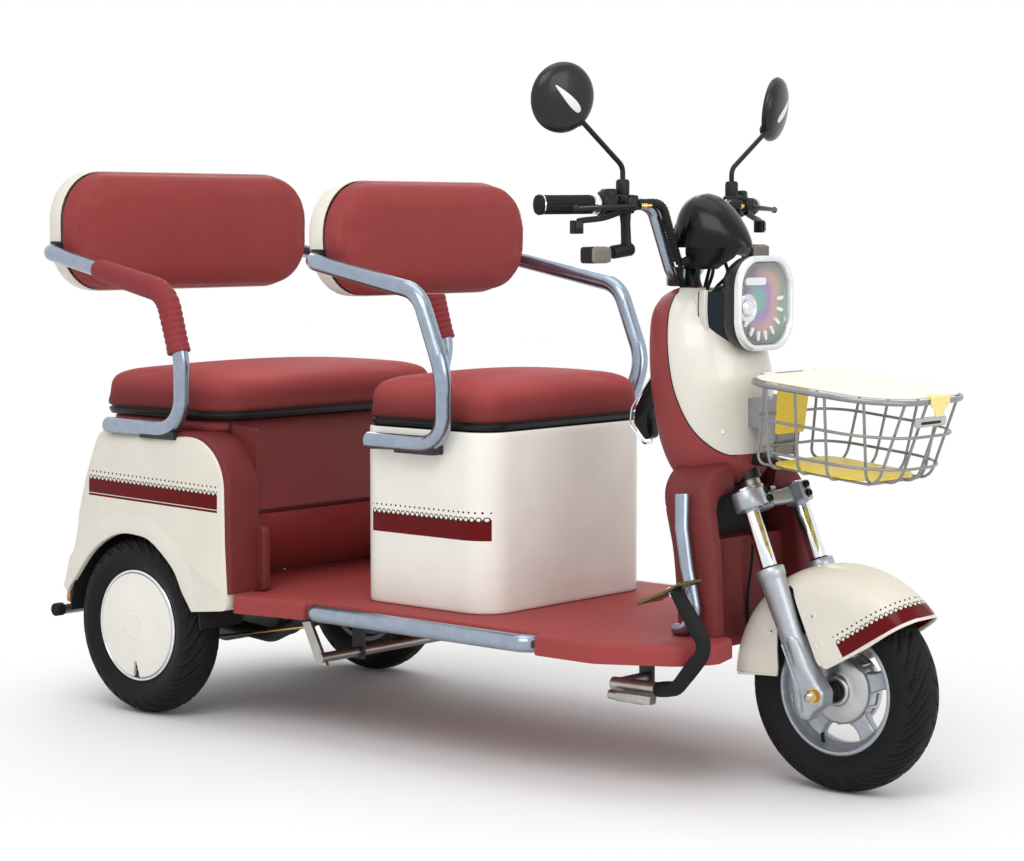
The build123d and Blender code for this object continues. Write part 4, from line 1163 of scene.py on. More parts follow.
def knob(profile: Sequence[Point], start: Point, axis: Point, steps: int = 40) -> Shape:
    """A turned solid along a line, closed at both ends.

    Args:
        profile: (radius, distance along) pairs, from one end to the other.
        start: where the line starts.
        axis: its direction.
        steps: points round it.

    Returns:
        The shape.
    """
    line = Vector(axis).normalized()
    first = line.cross(Vector((0, 0, 1)) if abs(line.z) < 0.9 else Vector((1, 0, 0))).normalized()
    second = line.cross(first)
    rings = []
    for radius, along in profile:
        turns = [2 * math.pi * step / steps for step in range(steps)]
        middle = Vector(start) + line * along
        rings.append([middle + first * math.cos(t) * radius + second * math.sin(t) * radius for t in turns])
    return loft(rings)


def softened(length: float, radius: float, rim: float) -> list[tuple[float, float]]:
    """Profile of a plain knob with round edges.

    Args:
        length: how long the knob is.
        radius: its radius.
        rim: radius of its edges.

    Returns:
        (radius, distance) pairs.
    """
    bend = [
        (radius - rim + rim * math.sin(a), rim - rim * math.cos(a)) for a in np.linspace(0, math.pi / 2, 5)
    ]
    return [*bend, *[(r, length - a) for r, a in reversed(bend)]]


class Side(Enum):
    """How a flat outline is laid in space."""

    PLAN = "plan"
    ACROSS = "across"
    FRONT = "front"


def laid(side: Side, point: Vector, depth: float) -> Vector:
    """Put a flat outline's point in space.

    Args:
        side: which plane the outline is drawn in.
        point: the point.
        depth: distance square to the plane.

    Returns:
        The place.
    """
    if side is Side.PLAN:
        return Vector((point.x, point.y, depth))
    if side is Side.ACROSS:
        return Vector((point.x, depth, point.y))
    return Vector((depth, point.x, point.y))


def slab(
    outline: Sequence[Vector], low: float, high: float, roll: float, side: Side = Side.PLAN, steps: int = 4
) -> Shape:
    """A plate with rolled edges.

    Args:
        outline: its closed outline.
        low: the lower face.
        high: the upper face.
        roll: radius of its edges.
        side: the plane of the outline.
        steps: segments of a rolled edge.

    Returns:
        The shape.
    """
    flat = [Vector(p) for p in outline]
    angles = [math.pi / 2 * step / steps for step in range(steps + 1)]
    levels = [(roll - roll * math.sin(a), low + roll - roll * math.cos(a)) for a in angles]
    levels += [(roll - roll * math.sin(a), high - roll + roll * math.cos(a)) for a in reversed(angles)]
    rings = [[laid(side, p, depth) for p in offset_line(flat, inset)] for inset, depth in levels]
    return loft(rings)


def pad_levels(
    low: float, high: float, roll: float, base: float = 6.0, rest: int = 6
) -> list[tuple[float, float]]:
    """Insets and heights of a plate with a small lower edge and a broad upper one.

    Args:
        low: the lower face.
        high: the upper face.
        roll: radius of the upper edge.
        base: radius of the lower edge.
        rest: rings on the upper face, one millimetre apart.

    Returns:
        (inset, height) pairs.
    """
    angles = [math.pi / 2 * step / 5 for step in range(6)]
    levels = [(base - base * math.sin(a), low + base - base * math.cos(a)) for a in angles]
    levels += [(roll - roll * math.sin(a), high - roll + roll * math.cos(a)) for a in reversed(angles)]
    return levels + [(roll + step, high) for step in range(1, rest + 1)]


# ------------------------------------------------------------------ pieces


class Workshop:
    """Turns shapes into dressed pieces that ride on the frame's bodies."""

    @staticmethod
    def mesh(name: str, shape: Shape) -> bpy.types.Object:
        """Make a bare object.

        Args:
            name: its name.
            shape: its shape.

        Returns:
            The object, linked to the scene.
        """
        data = bpy.data.meshes.new(name)
        points = [((v.x + REAR_AXLE_X) * MM, v.y * MM, v.z * MM) for v in shape.verts]
        data.from_pydata(points, [], shape.faces)
        work = bmesh.new()
        work.from_mesh(data)
        bmesh.ops.recalc_face_normals(work, faces=work.faces)
        work.to_mesh(data)
        work.free()
        made = bpy.data.objects.new(name, data)
        bpy.context.scene.collection.objects.link(made)
        return made

    @staticmethod
    def settle(made: bpy.types.Object) -> None:
        """Apply an object's modifiers.

        Args:
            made: the object.
        """
        graph = bpy.context.evaluated_depsgraph_get()
        final = bpy.data.meshes.new_from_object(made.evaluated_get(graph))
        old = made.data
        made.modifiers.clear()
        made.data = final
        bpy.data.meshes.remove(old)

    @classmethod
    def cut(cls, made: bpy.types.Object, *tools: Shape) -> None:
        """Cut shapes out of an object.

        Args:
            made: the object.
            tools: the shapes to remove.
        """
        cutters = []
        for index, tool in enumerate(tools):
            cutter = cls.mesh(f"{made.name}_cutter_{index}", tool)
            cutter.hide_render = True
            step = made.modifiers.new("cut", "BOOLEAN")
            step.operation = "DIFFERENCE"
            step.solver = "EXACT"
            step.object = cutter
            cutters.append(cutter)
        cls.settle(made)
        for cutter in cutters:
            bpy.data.objects.remove(cutter)

    @staticmethod
    def soften(made: bpy.types.Object, width: float, segments: int = 3, angle: float = 35.0) -> None:
        """Round an object's hard edges.

        Args:
            made: the object.
            width: radius of the rounding in millimetres.
            segments: segments of each edge.
            angle: edges sharper than this many degrees.
        """
        step = made.modifiers.new("edges", "BEVEL")
        step.width = width * MM
        step.segments = segments
        step.limit_method = "ANGLE"
        step.angle_limit = math.radians(angle)
        step.use_clamp_overlap = True

    @classmethod
    def dress(
        cls,
        made: bpy.types.Object,
        finish: Finish,
        body: Body,
        stands_for: Iterable[str] = (),
        sharp: float = 40.0,
    ) -> bpy.types.Object:
        """Give an object its finish and its body, and hide the CAD nodes that it replaces.

        Args:
            made: the object.
            finish: its finish.
            body: what it rides on.
            stands_for: CAD nodes that it replaces.
            sharp: edges sharper than this many degrees stay crisp.

        Returns:
            The object.
        """
        if made.modifiers:
            cls.settle(made)
        made.data.materials.clear()
        made.data.materials.append(finish.material())
        made.data.polygons.foreach_set("use_smooth", [True] * len(made.data.polygons))
        made.data.set_sharp_from_angle(angle=math.radians(sharp))
        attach(made, body.value)
        nodes = list(stands_for)
        if nodes:
            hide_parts(*nodes)
        log.info("%s: %d faces on %s", made.name, len(made.data.polygons), body.value)
        return made

    @classmethod
    def piece(
        cls,
        name: str,
        shape: Shape,
        finish: Finish,
        body: Body,
        stands_for: Iterable[str] = (),
        bevel: float = 0.0,
        sharp: float = 40.0,
    ) -> bpy.types.Object:
        """Make and dress a piece in one step.

        Args:
            name: its name.
            shape: its shape.
            finish: its finish.
            body: what it rides on.
            stands_for: CAD nodes that it replaces.
            bevel: radius of its hard edges.
            sharp: edges sharper than this many degrees stay crisp.

        Returns:
            The object.
        """
        made = cls.mesh(name, shape)
        if bevel:
            cls.soften(made, bevel)
        return cls.dress(made, finish, body, stands_for, sharp)

    @staticmethod
    def carry(finish: Finish, *nodes: str) -> None:
        """Give CAD nodes that stay in view their finish.

        Args:
            finish: the finish.
            nodes: the nodes.
        """
        for name in nodes:
            node = frame["nodes"][name]
            node.data.materials.clear()
            node.data.materials.append(finish.material())
            node.data.polygons.foreach_set("material_index", [0] * len(node.data.polygons))
            log.info("%s: kept, in %s", name, finish.name)


# ------------------------------------------------------------------ upholstery


@dataclass
class SoftPad:
    """A stuffed pad: swollen by a short cloth simulation, then sewn."""

    name: str
    node: str
    body: Body
    outline: list[Vector]
    side: Side
    low: float
    high: float
    crown: float
    roll: float
    voxel: float = 6.0
    pressure: float = 4.0
    cap: float = 7.0
    held: float = 7.0
    held_blend: float = 12.0
    fill: float = 0.85
    frames: int = 20
    even_passes: int = 6
    cover: Finish = Palette.hide

    def depth(self, place: Vector) -> float:
        """Height of a point above the pad's back, in millimetres.

        Args:
            place: the point, in metres.

        Returns:
            The height.
        """
        if self.side is Side.PLAN:
            return place.z / MM - self.low
        return place.x / MM - REAR_AXLE_X - self.low

    def swell(self, made: bpy.types.Object) -> None:
        """Blow the pad up a little, holding its back and capping how far it moves.

        Args:
            made: the pad.
        """
        rest = [v.co.copy() for v in made.data.vertices]
        pins = made.vertex_groups.new(name="held")
        still = [i for i, place in enumerate(rest) if self.depth(place) < self.held]
        pins.add(still, 1.0, "REPLACE")
        cloth = made.modifiers.new("cloth", "CLOTH")
        settings = cloth.settings
        settings.use_pressure = True
        settings.uniform_pressure_force = self.pressure
        settings.effector_weights.gravity = 0.0
        settings.vertex_group_mass = "held"
        settings.quality = 4
        settings.mass = 0.3
        cloth.collision_settings.use_self_collision = False
        scene = bpy.context.scene
        for step in range(1, self.frames + 1):
            scene.frame_set(step)
        Workshop.settle(made)
        scene.frame_set(1)
        made.vertex_groups.clear()
        edges = np.array([tuple(edge.vertices) for edge in made.data.edges])
        before = np.array([tuple(place) for place in rest])
        moves = np.array([tuple(vertex.co) for vertex in made.data.vertices]) - before
        depths = np.array([self.depth(place) for place in rest])
        share = np.clip((depths - self.held) / self.held_blend, 0.0, 1.0)
        length = np.linalg.norm(moves, axis=1) + 1e-9
        moves *= np.minimum(1.0, self.cap * MM / length)[:, None]
        for _ in range(self.even_passes):
            total = np.zeros_like(moves)
            tally = np.zeros(len(moves))
            for a, b in (edges.T, edges.T[::-1]):
                np.add.at(total, a, moves[b])
                np.add.at(tally, a, 1.0)
            moves = moves * 0.4 + total / tally[:, None] * 0.6
        made.data.vertices.foreach_set("co", (before + moves * share[:, None]).ravel())

    def dome(self, made: bpy.types.Object) -> None:
        """Lift the middle of the pad into one smooth crown.

        Args:
            made: the pad.
        """
        places = np.array([tuple(vertex.co) for vertex in made.data.vertices]) / MM
        places[:, 0] -= REAR_AXLE_X
        first, second, up = (0, 1, 2) if self.side is Side.PLAN else (1, 2, 0)
        plan = np.array([tuple(p)[:2] for p in self.outline])
        middle, half = (plan.max(0) + plan.min(0)) / 2, (plan.max(0) - plan.min(0)) / 2
        spread = 1.0
        for index, axis in enumerate((first, second)):
            spread = spread * (1 - np.minimum(1, abs(places[:, axis] - middle[index]) / half[index]) ** 2.2)
        rise = np.clip((places[:, up] - self.low) / (self.high - self.low) * 2 - 0.9, 0, 1)
        places[:, up] += self.crown * spread * rise
        places[:, 0] += REAR_AXLE_X
        made.data.vertices.foreach_set("co", (places * MM).ravel())

    def sew(self, made: bpy.types.Object) -> None:
        """Press the seams in and lay their threads; a plain pad has none.

        Args:
            made: the pad.
        """

    def build(self) -> bpy.types.Object:
        """Make the pad.

        Returns:
            The finished pad.
        """
        levels = pad_levels(self.low, self.high, self.roll)
        rings = [
            [laid(self.side, p, depth) for p in offset_line(self.outline, inset)] for inset, depth in levels
        ]
        made = Workshop.mesh(self.name, loft(rings))
        remesh = made.modifiers.new("even", "REMESH")
        remesh.mode = "VOXEL"
        remesh.voxel_size = self.voxel * MM
        Workshop.settle(made)
        relax = made.modifiers.new("relax", "SMOOTH")
        relax.factor = 0.5
        relax.iterations = 2
        Workshop.settle(made)
        self.dome(made)
        self.swell(made)
        finer = made.modifiers.new("finer", "SUBSURF")
        finer.levels = finer.render_levels = 1
        Workshop.settle(made)
        self.sew(made)
        Workshop.dress(made, self.cover, self.body, [self.node], sharp=180)
        return made


@dataclass
class SeatCushion(SoftPad):
    """A seat cushion with a curved dart sewn at each front corner."""

    front: float = 300.0
    half_width: float = 240.0
    dart: float = 96.0
    cover: Finish = Palette.seat_hide

    def dart_path(self) -> list[Vector]:
        """Plan of the dart at the right front corner.

        Returns:
            Its points.
        """
        start = Vector((self.front - self.dart * 1.9, -self.half_width + self.dart * 0.5))
        knee = Vector((self.front - self.dart * 1.1, -self.half_width + self.dart * 0.34))
        end = Vector((self.front - self.dart * 0.42, -self.half_width + self.dart * 0.2))
        foot = Vector((self.front - self.dart * 0.2, -self.half_width + self.dart * 0.08))
        return smooth_line([start, knee, end, foot], 40)

    def sew(self, made: bpy.types.Object) -> None:
        """Draw the cover in along both darts.

        Args:
            made: the cushion.
        """
        line = np.array([tuple(p) for p in self.dart_path()])
        count = len(made.data.vertices)
        places = np.empty(count * 3)
        made.data.vertices.foreach_get("co", places)
        places = places.reshape(-1, 3) / MM
        flat = np.stack([places[:, 0] - REAR_AXLE_X, -np.abs(places[:, 1])], axis=1)
        distance = np.full(count, 1e9)
        for point in line:
            distance = np.minimum(distance, np.hypot(*(flat - point).T))
        above = np.clip((places[:, 2] - self.low - 16) / 20, 0, 1)
        press = 0.6 * np.exp(-((distance / 2.8) ** 2)) * above
        centre = np.array([self.front - 150 + REAR_AXLE_X, 0.0, self.low + 20])
        inward = centre - places
        inward[:, 2] *= 2.5
        inward /= np.linalg.norm(inward, axis=1)[:, None]
        places += inward * press[:, None]
        made.data.vertices.foreach_set("co", (places * MM).ravel())


@dataclass
class BackPad(SoftPad):
    """A backrest pad with a double-stitched seam near each end."""

    half_width: float = 347.0
    centre_z: float = 990.0
    half_height: float = 128.0
    seam_in: float = 19.0
    stitch: float = 6.4

    def sew(self, made: bpy.types.Object) -> None:
        """Press in the end seams and lay two rows of thread along each.

        Args:
            made: the pad.
        """
        from_seam = self.half_width - self.seam_in
        count = len(made.data.vertices)
        places = np.empty(count * 3)
        made.data.vertices.foreach_get("co", places)
        places = places.reshape(-1, 3) / MM
        rise = (places[:, 2] - self.centre_z) / self.half_height
        seam_y = from_seam - 14 * rise**4
        distance = np.abs(places[:, 1]) - seam_y
        depth = places[:, 0] - REAR_AXLE_X - self.low
        press = 2.6 * np.exp(-((distance / 3.4) ** 2)) * np.clip((depth - 8) / 16, 0, 1)
        places[:, 0] -= press
        made.data.vertices.foreach_set("co", (places * MM).ravel())
        self.threads(made, from_seam)

    def threads(self, made: bpy.types.Object, from_seam: float) -> None:
        """Lay the threads.

        Args:
            made: the pad.
            from_seam: distance of the seam from the middle.
        """
        made.data.update()
        graph = bpy.context.evaluated_depsgraph_get()
        graph.update()
        shape = Shape()
        limit = self.half_height - 4
        spots = np.arange(-limit, limit, self.stitch)
        for row in (-4.4, 4.4):
            for z in spots:
                ends = []
                for part in (0.14, 0.5, 0.86):
                    up = z + self.stitch * part
                    y = from_seam - 14 * (up / self.half_height) ** 4 + row
                    start = Vector(((self.high + 80 + REAR_AXLE_X) * MM, -y * MM, (self.centre_z + up) * MM))
                    hit, where, _, _ = made.ray_cast(start, Vector((-1, 0, 0)))
                    if hit and where.x / MM - REAR_AXLE_X > self.low + 6:
                        lift = 0.35 if part == 0.5 else -0.35
                        ends.append(Vector((where.x / MM - REAR_AXLE_X + lift, where.y / MM, where.z / MM)))
                if len(ends) == 3:
                    shape = shape + tube(ends, 0.62, sides=6)
        Workshop.piece(self.name + "_stitching", shape.both(), Palette.thread, self.body, sharp=180)


@dataclass
class Upholstery:
    """Both seat cushions and both backrest pads."""

    bench_corners: tuple[Point, ...] = ((-164, 334), (-164, -334), (228, -334), (228, 334))
    bench_radii: tuple[float, ...] = (62, 62, 82, 82)
    box_x: tuple[float, float] = (526.5, 856.5)
    box_half: float = 244.0
    bench_back: tuple[float, float] = (-256.2, -198.2)
    driver_back: tuple[float, float] = (459.8, 517.8)

    def bench_outline(self) -> list[Vector]:
        """Plan of the bench.

        Returns:
            Its points.
        """
        return respaced(
            rounded(self.bench_corners, self.bench_radii, closed=True, steps=12), 200, closed=True
        )

    def box_outline(self, inset: float = 0.0) -> list[Vector]:
        """Plan of the driver's seat.

        Args:
            inset: distance inside the box's outline.

        Returns:
            Its points.
        """
        rear, front = self.box_x
        half = self.box_half
        corners = [(rear, half), (rear, -half), (front, -half), (front, half)]
        line = respaced(rounded(corners, (44, 44, 60, 60), closed=True, steps=12), 160, closed=True)
        return offset_line(line, inset) if inset else line

    def back_outline(self, half_width: float, half_height: float, z: float) -> list[Vector]:
        """Front view of a backrest: a rounded rectangle."""
        line = rounded_box(half_width, half_height, 108, 180)
        return [Vector((p.x, p.y + z)) for p in line]

    def build(self) -> None:
        """Make the pads and the black bands under the cushions."""
        bench = offset_line(self.bench_outline(), 0.5)
        SeatCushion(
            "bench_seat_pad", "bench_cushion", Body.BENCH_LID, bench, Side.PLAN, 629.4, 697.0, 15.0, 26.0,
            voxel=7.2, front=228.0, half_width=334.0, dart=110.0,
        ).build()
        box = offset_line(self.box_outline(), 0.5)
        SeatCushion(
            "driver_seat_pad", "driver_cushion", Body.DRIVER_LID, box, Side.PLAN, 635.4, 703.0, 14.0, 26.0,
            voxel=6.8, front=856.0, half_width=244.0, dart=90.0,
        ).build()
        self.back("bench", self.bench_back, 345.0, 126.5, 992.5)
        self.back("driver", self.driver_back, 280.0, 113.0, 980.0)
        self.band("bench_band", "bench_pan", Body.BENCH_LID, self.bench_outline(), 613.7)
        self.band("driver_band", "driver_pan", Body.DRIVER_LID, self.box_outline(), 619.7)

    def back(
        self, seat: str, depth: tuple[float, float], half_width: float, half_height: float, z: float
    ) -> None:
        """Make one backrest pad.

        Args:
            seat: which seat it belongs to.
            depth: its back and front along X.
            half_width: half its width.
            half_height: half its height.
            z: height of its middle.
        """
        outline = self.back_outline(half_width, half_height, z)
        BackPad(
            f"{seat}_backrest_pad", f"{seat}_back_pad", Body.CHASSIS, outline, Side.FRONT, depth[0],
            depth[1] - 9, 9.0,
            22.0, voxel=5.8, cap=6.0, half_width=half_width, centre_z=z, half_height=half_height,
        ).build()

    def band(self, name: str, node: str, body: Body, outline: list[Vector], low: float) -> None:
        """Make the black band under a cushion.

        Args:
            name: the piece's name.
            node: the CAD pan that it stands for.
            body: the lid that it rides on.
            outline: its plan.
            low: height of its lower face.
        """
        levels = [
            (9.0, low), (5.5, low + 0.4), (3.5, low + 3), (1.0, low + 9), (0.4, low + 11), (1.4, low + 13),
            (6, low + 13.6), (6, low + 16.8),
        ]
        rings = [
            [laid(Side.PLAN, p, depth) for p in offset_line(outline, inset + 2.5)] for inset, depth in levels
        ]
        Workshop.piece(name, loft(rings), Palette.black_plain, body, [node], sharp=60)


# ------------------------------------------------------------------ arm tubes and backs


@dataclass
class FoamSleeves:
    """Ribbed foam sleeves over the elbows of the bench arm tube."""

    points: tuple[Point, ...] = ((165.0, -391, 752.0), (128, -391, 872), (-98, -377.0, 915))
    radius: float = 23.0
    ribs: int = 15
    ribbed_share: float = 0.56
    rib_depth: float = 1.5
    bore: float = 17.2
    sides: int = 30

    def profile(self, share: float) -> float:
        """Radius of the sleeve.

        Args:
            share: how far along its length from the lower end, 0 to 1.

        Returns:
            The radius.
        """
        lip = 1.6 * math.exp(-((share / 0.025) ** 2)) - 2.2 * math.exp(-((share / 0.006) ** 2))
        tail = -5.0 * max(0.0, (share - 0.955) / 0.045) ** 2
        fade = max(0.0, min(1.0, (self.ribbed_share - share) / 0.1)) * min(1.0, share / 0.03)
        wave = math.cos(share / self.ribbed_share * self.ribs * 2 * math.pi)
        swell = 1.2 * math.exp(-(((share - 0.4) / 0.25) ** 2))
        return self.radius + lip + tail + swell - self.rib_depth * fade * (0.5 - 0.5 * wave) ** 2

    def build(self) -> None:
        """Make both sleeves."""
        line = respaced(rounded(self.points, 60, steps=14), 220)
        start = (line[1] - line[0]).normalized()
        end = (line[-1] - line[-2]).normalized()
        body = tube(line, self.profile, sides=self.sides, caps=False)
        rings = [body.verts[i * self.sides : (i + 1) * self.sides] for i in range(len(line))]
        inner = self.bore

        def ring(at: Vector, like: list[Vector], radius: float, shift: Vector) -> list[Vector]:
            """A smaller ring inside an end ring."""
            return [at + (p - at).normalized() * radius + shift for p in like]

        head = [
            ring(line[0], rings[0], r, start * d) for r, d in ((inner - 3, 3), (inner, 1.5), (inner + 1.5, 0))
        ]
        tail = [
            ring(line[-1], rings[-1], r, end * d)
            for r, d in ((inner + 1.5, 0), (inner, -1.5), (inner - 3, -3))
        ]
        shape = loft([*head, *rings, *tail])
        Workshop.piece(
            "arm_foam_sleeves", shape.both(), Palette.foam, Body.CHASSIS, ["arm_sleeves"], sharp=60
        )


@dataclass
class BackShells:
    """Cream trays behind the backrests, with their screws."""

    wall: float = 3.0
    edge: float = 17.0

    def tray(
        self, seat: str, x: tuple[float, float], half: float, half_height: float, z: float, tube_z: float
    ) -> None:
        """Make one tray.

        Args:
            seat: which seat it belongs to.
            x: its back and front.
            half: half its width.
            half_height: half its height.
            z: height of its middle.
            tube_z: height of the tube that enters it.
        """
        back, front = x
        line = [Vector((p.x, p.y + z)) for p in rounded_box(half, half_height, 106, 180)]
        wall, edge = self.wall, self.edge
        hollow = edge - wall
        angles = [math.pi / 2 * s / 6 for s in range(7)]
        outer = [(edge - edge * math.sin(a), back + edge - edge * math.cos(a)) for a in angles]
        inner = [(edge - hollow * math.sin(a), back + edge - hollow * math.cos(a)) for a in reversed(angles)]
        levels = [(90, back + 0.01), (44, back), *outer, (0, front - 1.0), (0.8, front)]
        levels += [(wall - 0.6, front), (wall, front - 1.0), *inner, (44, back + wall), (90, back + wall)]
        rings = [[laid(Side.FRONT, p, depth) for p in offset_line(line, inset)] for inset, depth in levels]
        made = Workshop.mesh(f"{seat}_backrest_tray", loft(rings))
        left, right, low, high = back + 4.5, front + 6, tube_z - 21, tube_z + 21
        notch = [Vector(p) for p in ((left, low), (right, low), (right, high), (left, high))]
        cutter = slab(
            respaced(rounded(notch, 8, closed=True), 48, closed=True), half - 50, half + 40, 1.0, Side.ACROSS
        )
        Workshop.cut(made, cutter.both())
        Workshop.dress(made, Palette.shell, Body.CHASSIS, [f"{seat}_back_shell"], sharp=50)
        head = [(0, 0), (7, 0), (7.5, 1), (7, 2.2), (4, 3), (3.4, 1.2), (0, 1.2)]
        screws = Shape()
        for y in (-half * 0.5, half * 0.5):
            screws = screws + knob(head, (back + 0.3, y, z), (-1, 0, 0), 20)
        Workshop.piece(f"{seat}_tray_screws", screws, Palette.soft_black, Body.CHASSIS)

    def build(self) -> None:
        """Make both trays."""
        self.tray("bench", (-301.5, -256.6), 346.5, 128.0, 992.5, 950.0)
        self.tray("driver", (414.5, 459.4), 281.5, 114.5, 980.0, 938.0)


# ------------------------------------------------------------------ wheels


@dataclass
class Tyre:
    """A road tyre with curved directional grooves over its shoulders."""

    name: str
    node: str
    body: Body
    centre: Point
    blocks: int = 30
    steps: int = 510
    across: int = 61
    groove: float = 4.0

    def section(self) -> list[tuple[float, float]]:
        """The tyre's profile.

        Returns:
            Half-width and radius pairs from one bead to the other.
        """
        half = [
            (-30.0, 107.0), (-34.5, 117.5), (-40.0, 126.0), (-45.2, 138.0), (-46.6, 149.0), (-44.2, 159.5)
        ]
        half += [(-38.5, 168.5), (-29.5, 176.0), (-17.0, 181.8), (0.0, 183.9)]
        line = [Vector(p) for p in half] + [Vector((-y, r)) for y, r in reversed(half[:-1])]
        return [tuple(p) for p in respaced(smooth_line(line, 200), self.across)]

    def dip(self, turn: float, y: float, radius: float) -> float:
        """How far a groove sinks the tread at a place.

        Args:
            turn: angle round the axle.
            y: distance from the middle of the tread.
            radius: radius there.

        Returns:
            A depth in millimetres.
        """
        if radius < 122:
            return 0.0
        side = abs(y) / 46.0
        bend = side**1.7 * 1.9 + (0.5 if y > 0 else 0.0)
        cell = (turn * self.blocks / (2 * math.pi) + bend) % 1.0
        middle = abs(cell - 0.5)
        width = 0.11 if side > 0.12 else 0.0
        cut = max(0.0, 1 - (middle / width) ** 4) if width and middle < width else 0.0
        reach = min(1.0, max(0.0, (radius - 153) / 5)) * min(1.0, max(0.0, (side - 0.12) / 0.08))
        second = (turn * self.blocks / (2 * math.pi) + bend * 0.9 + 0.5) % 1.0
        short = max(0.0, 1 - (abs(second - 0.5) / 0.06) ** 4) if 0.45 < side < 0.97 and radius > 158 else 0.0
        rings = sum(math.exp(-(((radius - r) / 0.8) ** 2)) for r in (127.5, 152.5, 155.0)) * 0.5
        centre = 1.5 * math.exp(-((y / 1.6) ** 4))
        return self.groove * max(cut * reach, short * 0.8) + rings + centre

    def build(self) -> None:
        """Make the tyre."""
        section = self.section()
        normals = []
        for index, (y, r) in enumerate(section):
            ahead = Vector(section[min(index + 1, len(section) - 1)])
            behind = Vector(section[max(index - 1, 0)])
            run = (ahead - behind).normalized()
            normals.append((run.y, -run.x))
        rings = []
        for step in range(self.steps):
            turn = 2 * math.pi * step / self.steps
            c, s = math.cos(turn), math.sin(turn)
            ring = []
            for (y, r), (ny, nr) in zip(section, normals):
                sink = self.dip(turn, y, r)
                out_y, out_r = y + ny * sink, r + nr * sink
                ring.append(
                    Vector((self.centre[0] + c * out_r, self.centre[1] + out_y, self.centre[2] + s * out_r))
                )
            rings.append(ring)
        Workshop.piece(self.name, loft(rings, closed=True), Palette.tyre, self.body, [self.node], sharp=50)


@dataclass
class RearWheel:
    """A rear wheel: cream hubcap in a bright rim, drum behind."""

    side: int
    name: str
    body: Body
    rim: float = 116.6
    cap: float = 107.0
    emboss: float = 23.0

    def centre(self) -> Vector:
        """Middle of the wheel."""
        return Vector((0.0, self.side * REAR_TRACK_HALF, WHEEL_Z))

    def turn_of(self, profile: Sequence[Point], steps: int = 120, closed: bool = True) -> Shape:
        """Turn a profile given outwards from the wheel's middle plane."""
        return revolve([(r, a * self.side) for r, a in profile], self.centre(), steps, closed=closed)

    def hubcap(self) -> None:
        """A shallow dome with a raised ring in its middle and a notch for the valve."""
        radii = np.concatenate([np.linspace(0.01, 30, 22), np.linspace(31, self.cap, 28)])
        face = []
        for r in radii:
            dome = 39.5 + 5.0 * math.cos(r / self.cap * math.pi / 2) ** 0.8
            ring = 1.0 * math.exp(
                -(((r - self.emboss) / 1.6) ** 2)
            ) - 0.8 * (1 - min(1, max(0, (r - 20) / 3)))
            face.append((float(r), dome + ring))
        edge = [(self.cap + 1.0, 38.6), (self.cap + 1.3, 37.2), (self.cap, 34), (self.cap - 4, 32)]
        made = Workshop.mesh(
            f"{self.name}_hubcap", self.turn_of([*face, *edge, (0.01, 32)], 120, closed=False)
        )
        low = self.centre()
        notch = ((-13, -12), (13, -12), (3.4, 32), (-2.5, 34))
        outline = [Vector((low.x + x, low.z - self.cap + up)) for x, up in notch]
        y = sorted((low.y + self.side * 20, low.y + self.side * 60))
        Workshop.cut(
            made,
            slab(respaced(rounded(outline, 2, closed=True), 40, closed=True), y[0], y[1], 0.5, Side.ACROSS),
        )
        Workshop.soften(made, 0.8, 2, 50)
        # The hubcap takes the lighter copy of the cream, which is painted light.
        Workshop.dress(made, Palette.lit_copy_cream, self.body, [f"rear_{self.name}_wheel"], sharp=35)

    def build(self) -> None:
        """Make the wheel."""
        self.hubcap()
        lip = [
            (108.8, 35.2), (109.6, 37.6), (111.2, 38.8), (113.4, 38.6), (115.4, 37), (116.6, 34.4),
            (116.6, 27), (112, 26), (109, 30),
        ]
        Workshop.piece(f"{self.name}_wheel_lip", self.turn_of(lip, 140), Palette.chrome, self.body)
        well = [
            (109, 33), (108, 20), (100, 12), (100, -14), (106, -24), (107, -33), (116.6, -34), (116.6, -30),
            (110, -28), (104, -18),
        ]
        well += [(96, -16), (93, -10), (93, 14), (102, 24), (103, 31)]
        Workshop.piece(f"{self.name}_wheel_rim", self.turn_of(well, 120), Palette.motor, self.body)
        gap_ring = [(107.6, 31), (107.6, 35.2), (109, 35.4), (109.4, 31)]
        Workshop.piece(f"{self.name}_wheel_gap", self.turn_of(gap_ring, 120), Palette.soft_black, self.body)
        disc = [
            (0.01, 30), (96, 30), (96, 26), (74, 22), (74, -20), (70, -25), (60, -27), (34, -28), (30, -33),
            (0.01, -33),
        ]
        made = Workshop.mesh(f"{self.name}_wheel_drum", self.turn_of(disc, 110, closed=False))
        Workshop.soften(made, 1.5, 2, 30)
        Workshop.dress(made, Palette.motor, self.body)
        places = ((24, 98), (32, 92), (37, 84))
        stem = tube([Vector((0, self.side * (REAR_TRACK_HALF + out), WHEEL_Z - r)) for out, r in places], 3.4, 14)
        Workshop.piece(f"{self.name}_wheel_valve", stem, Palette.rubber, self.body)


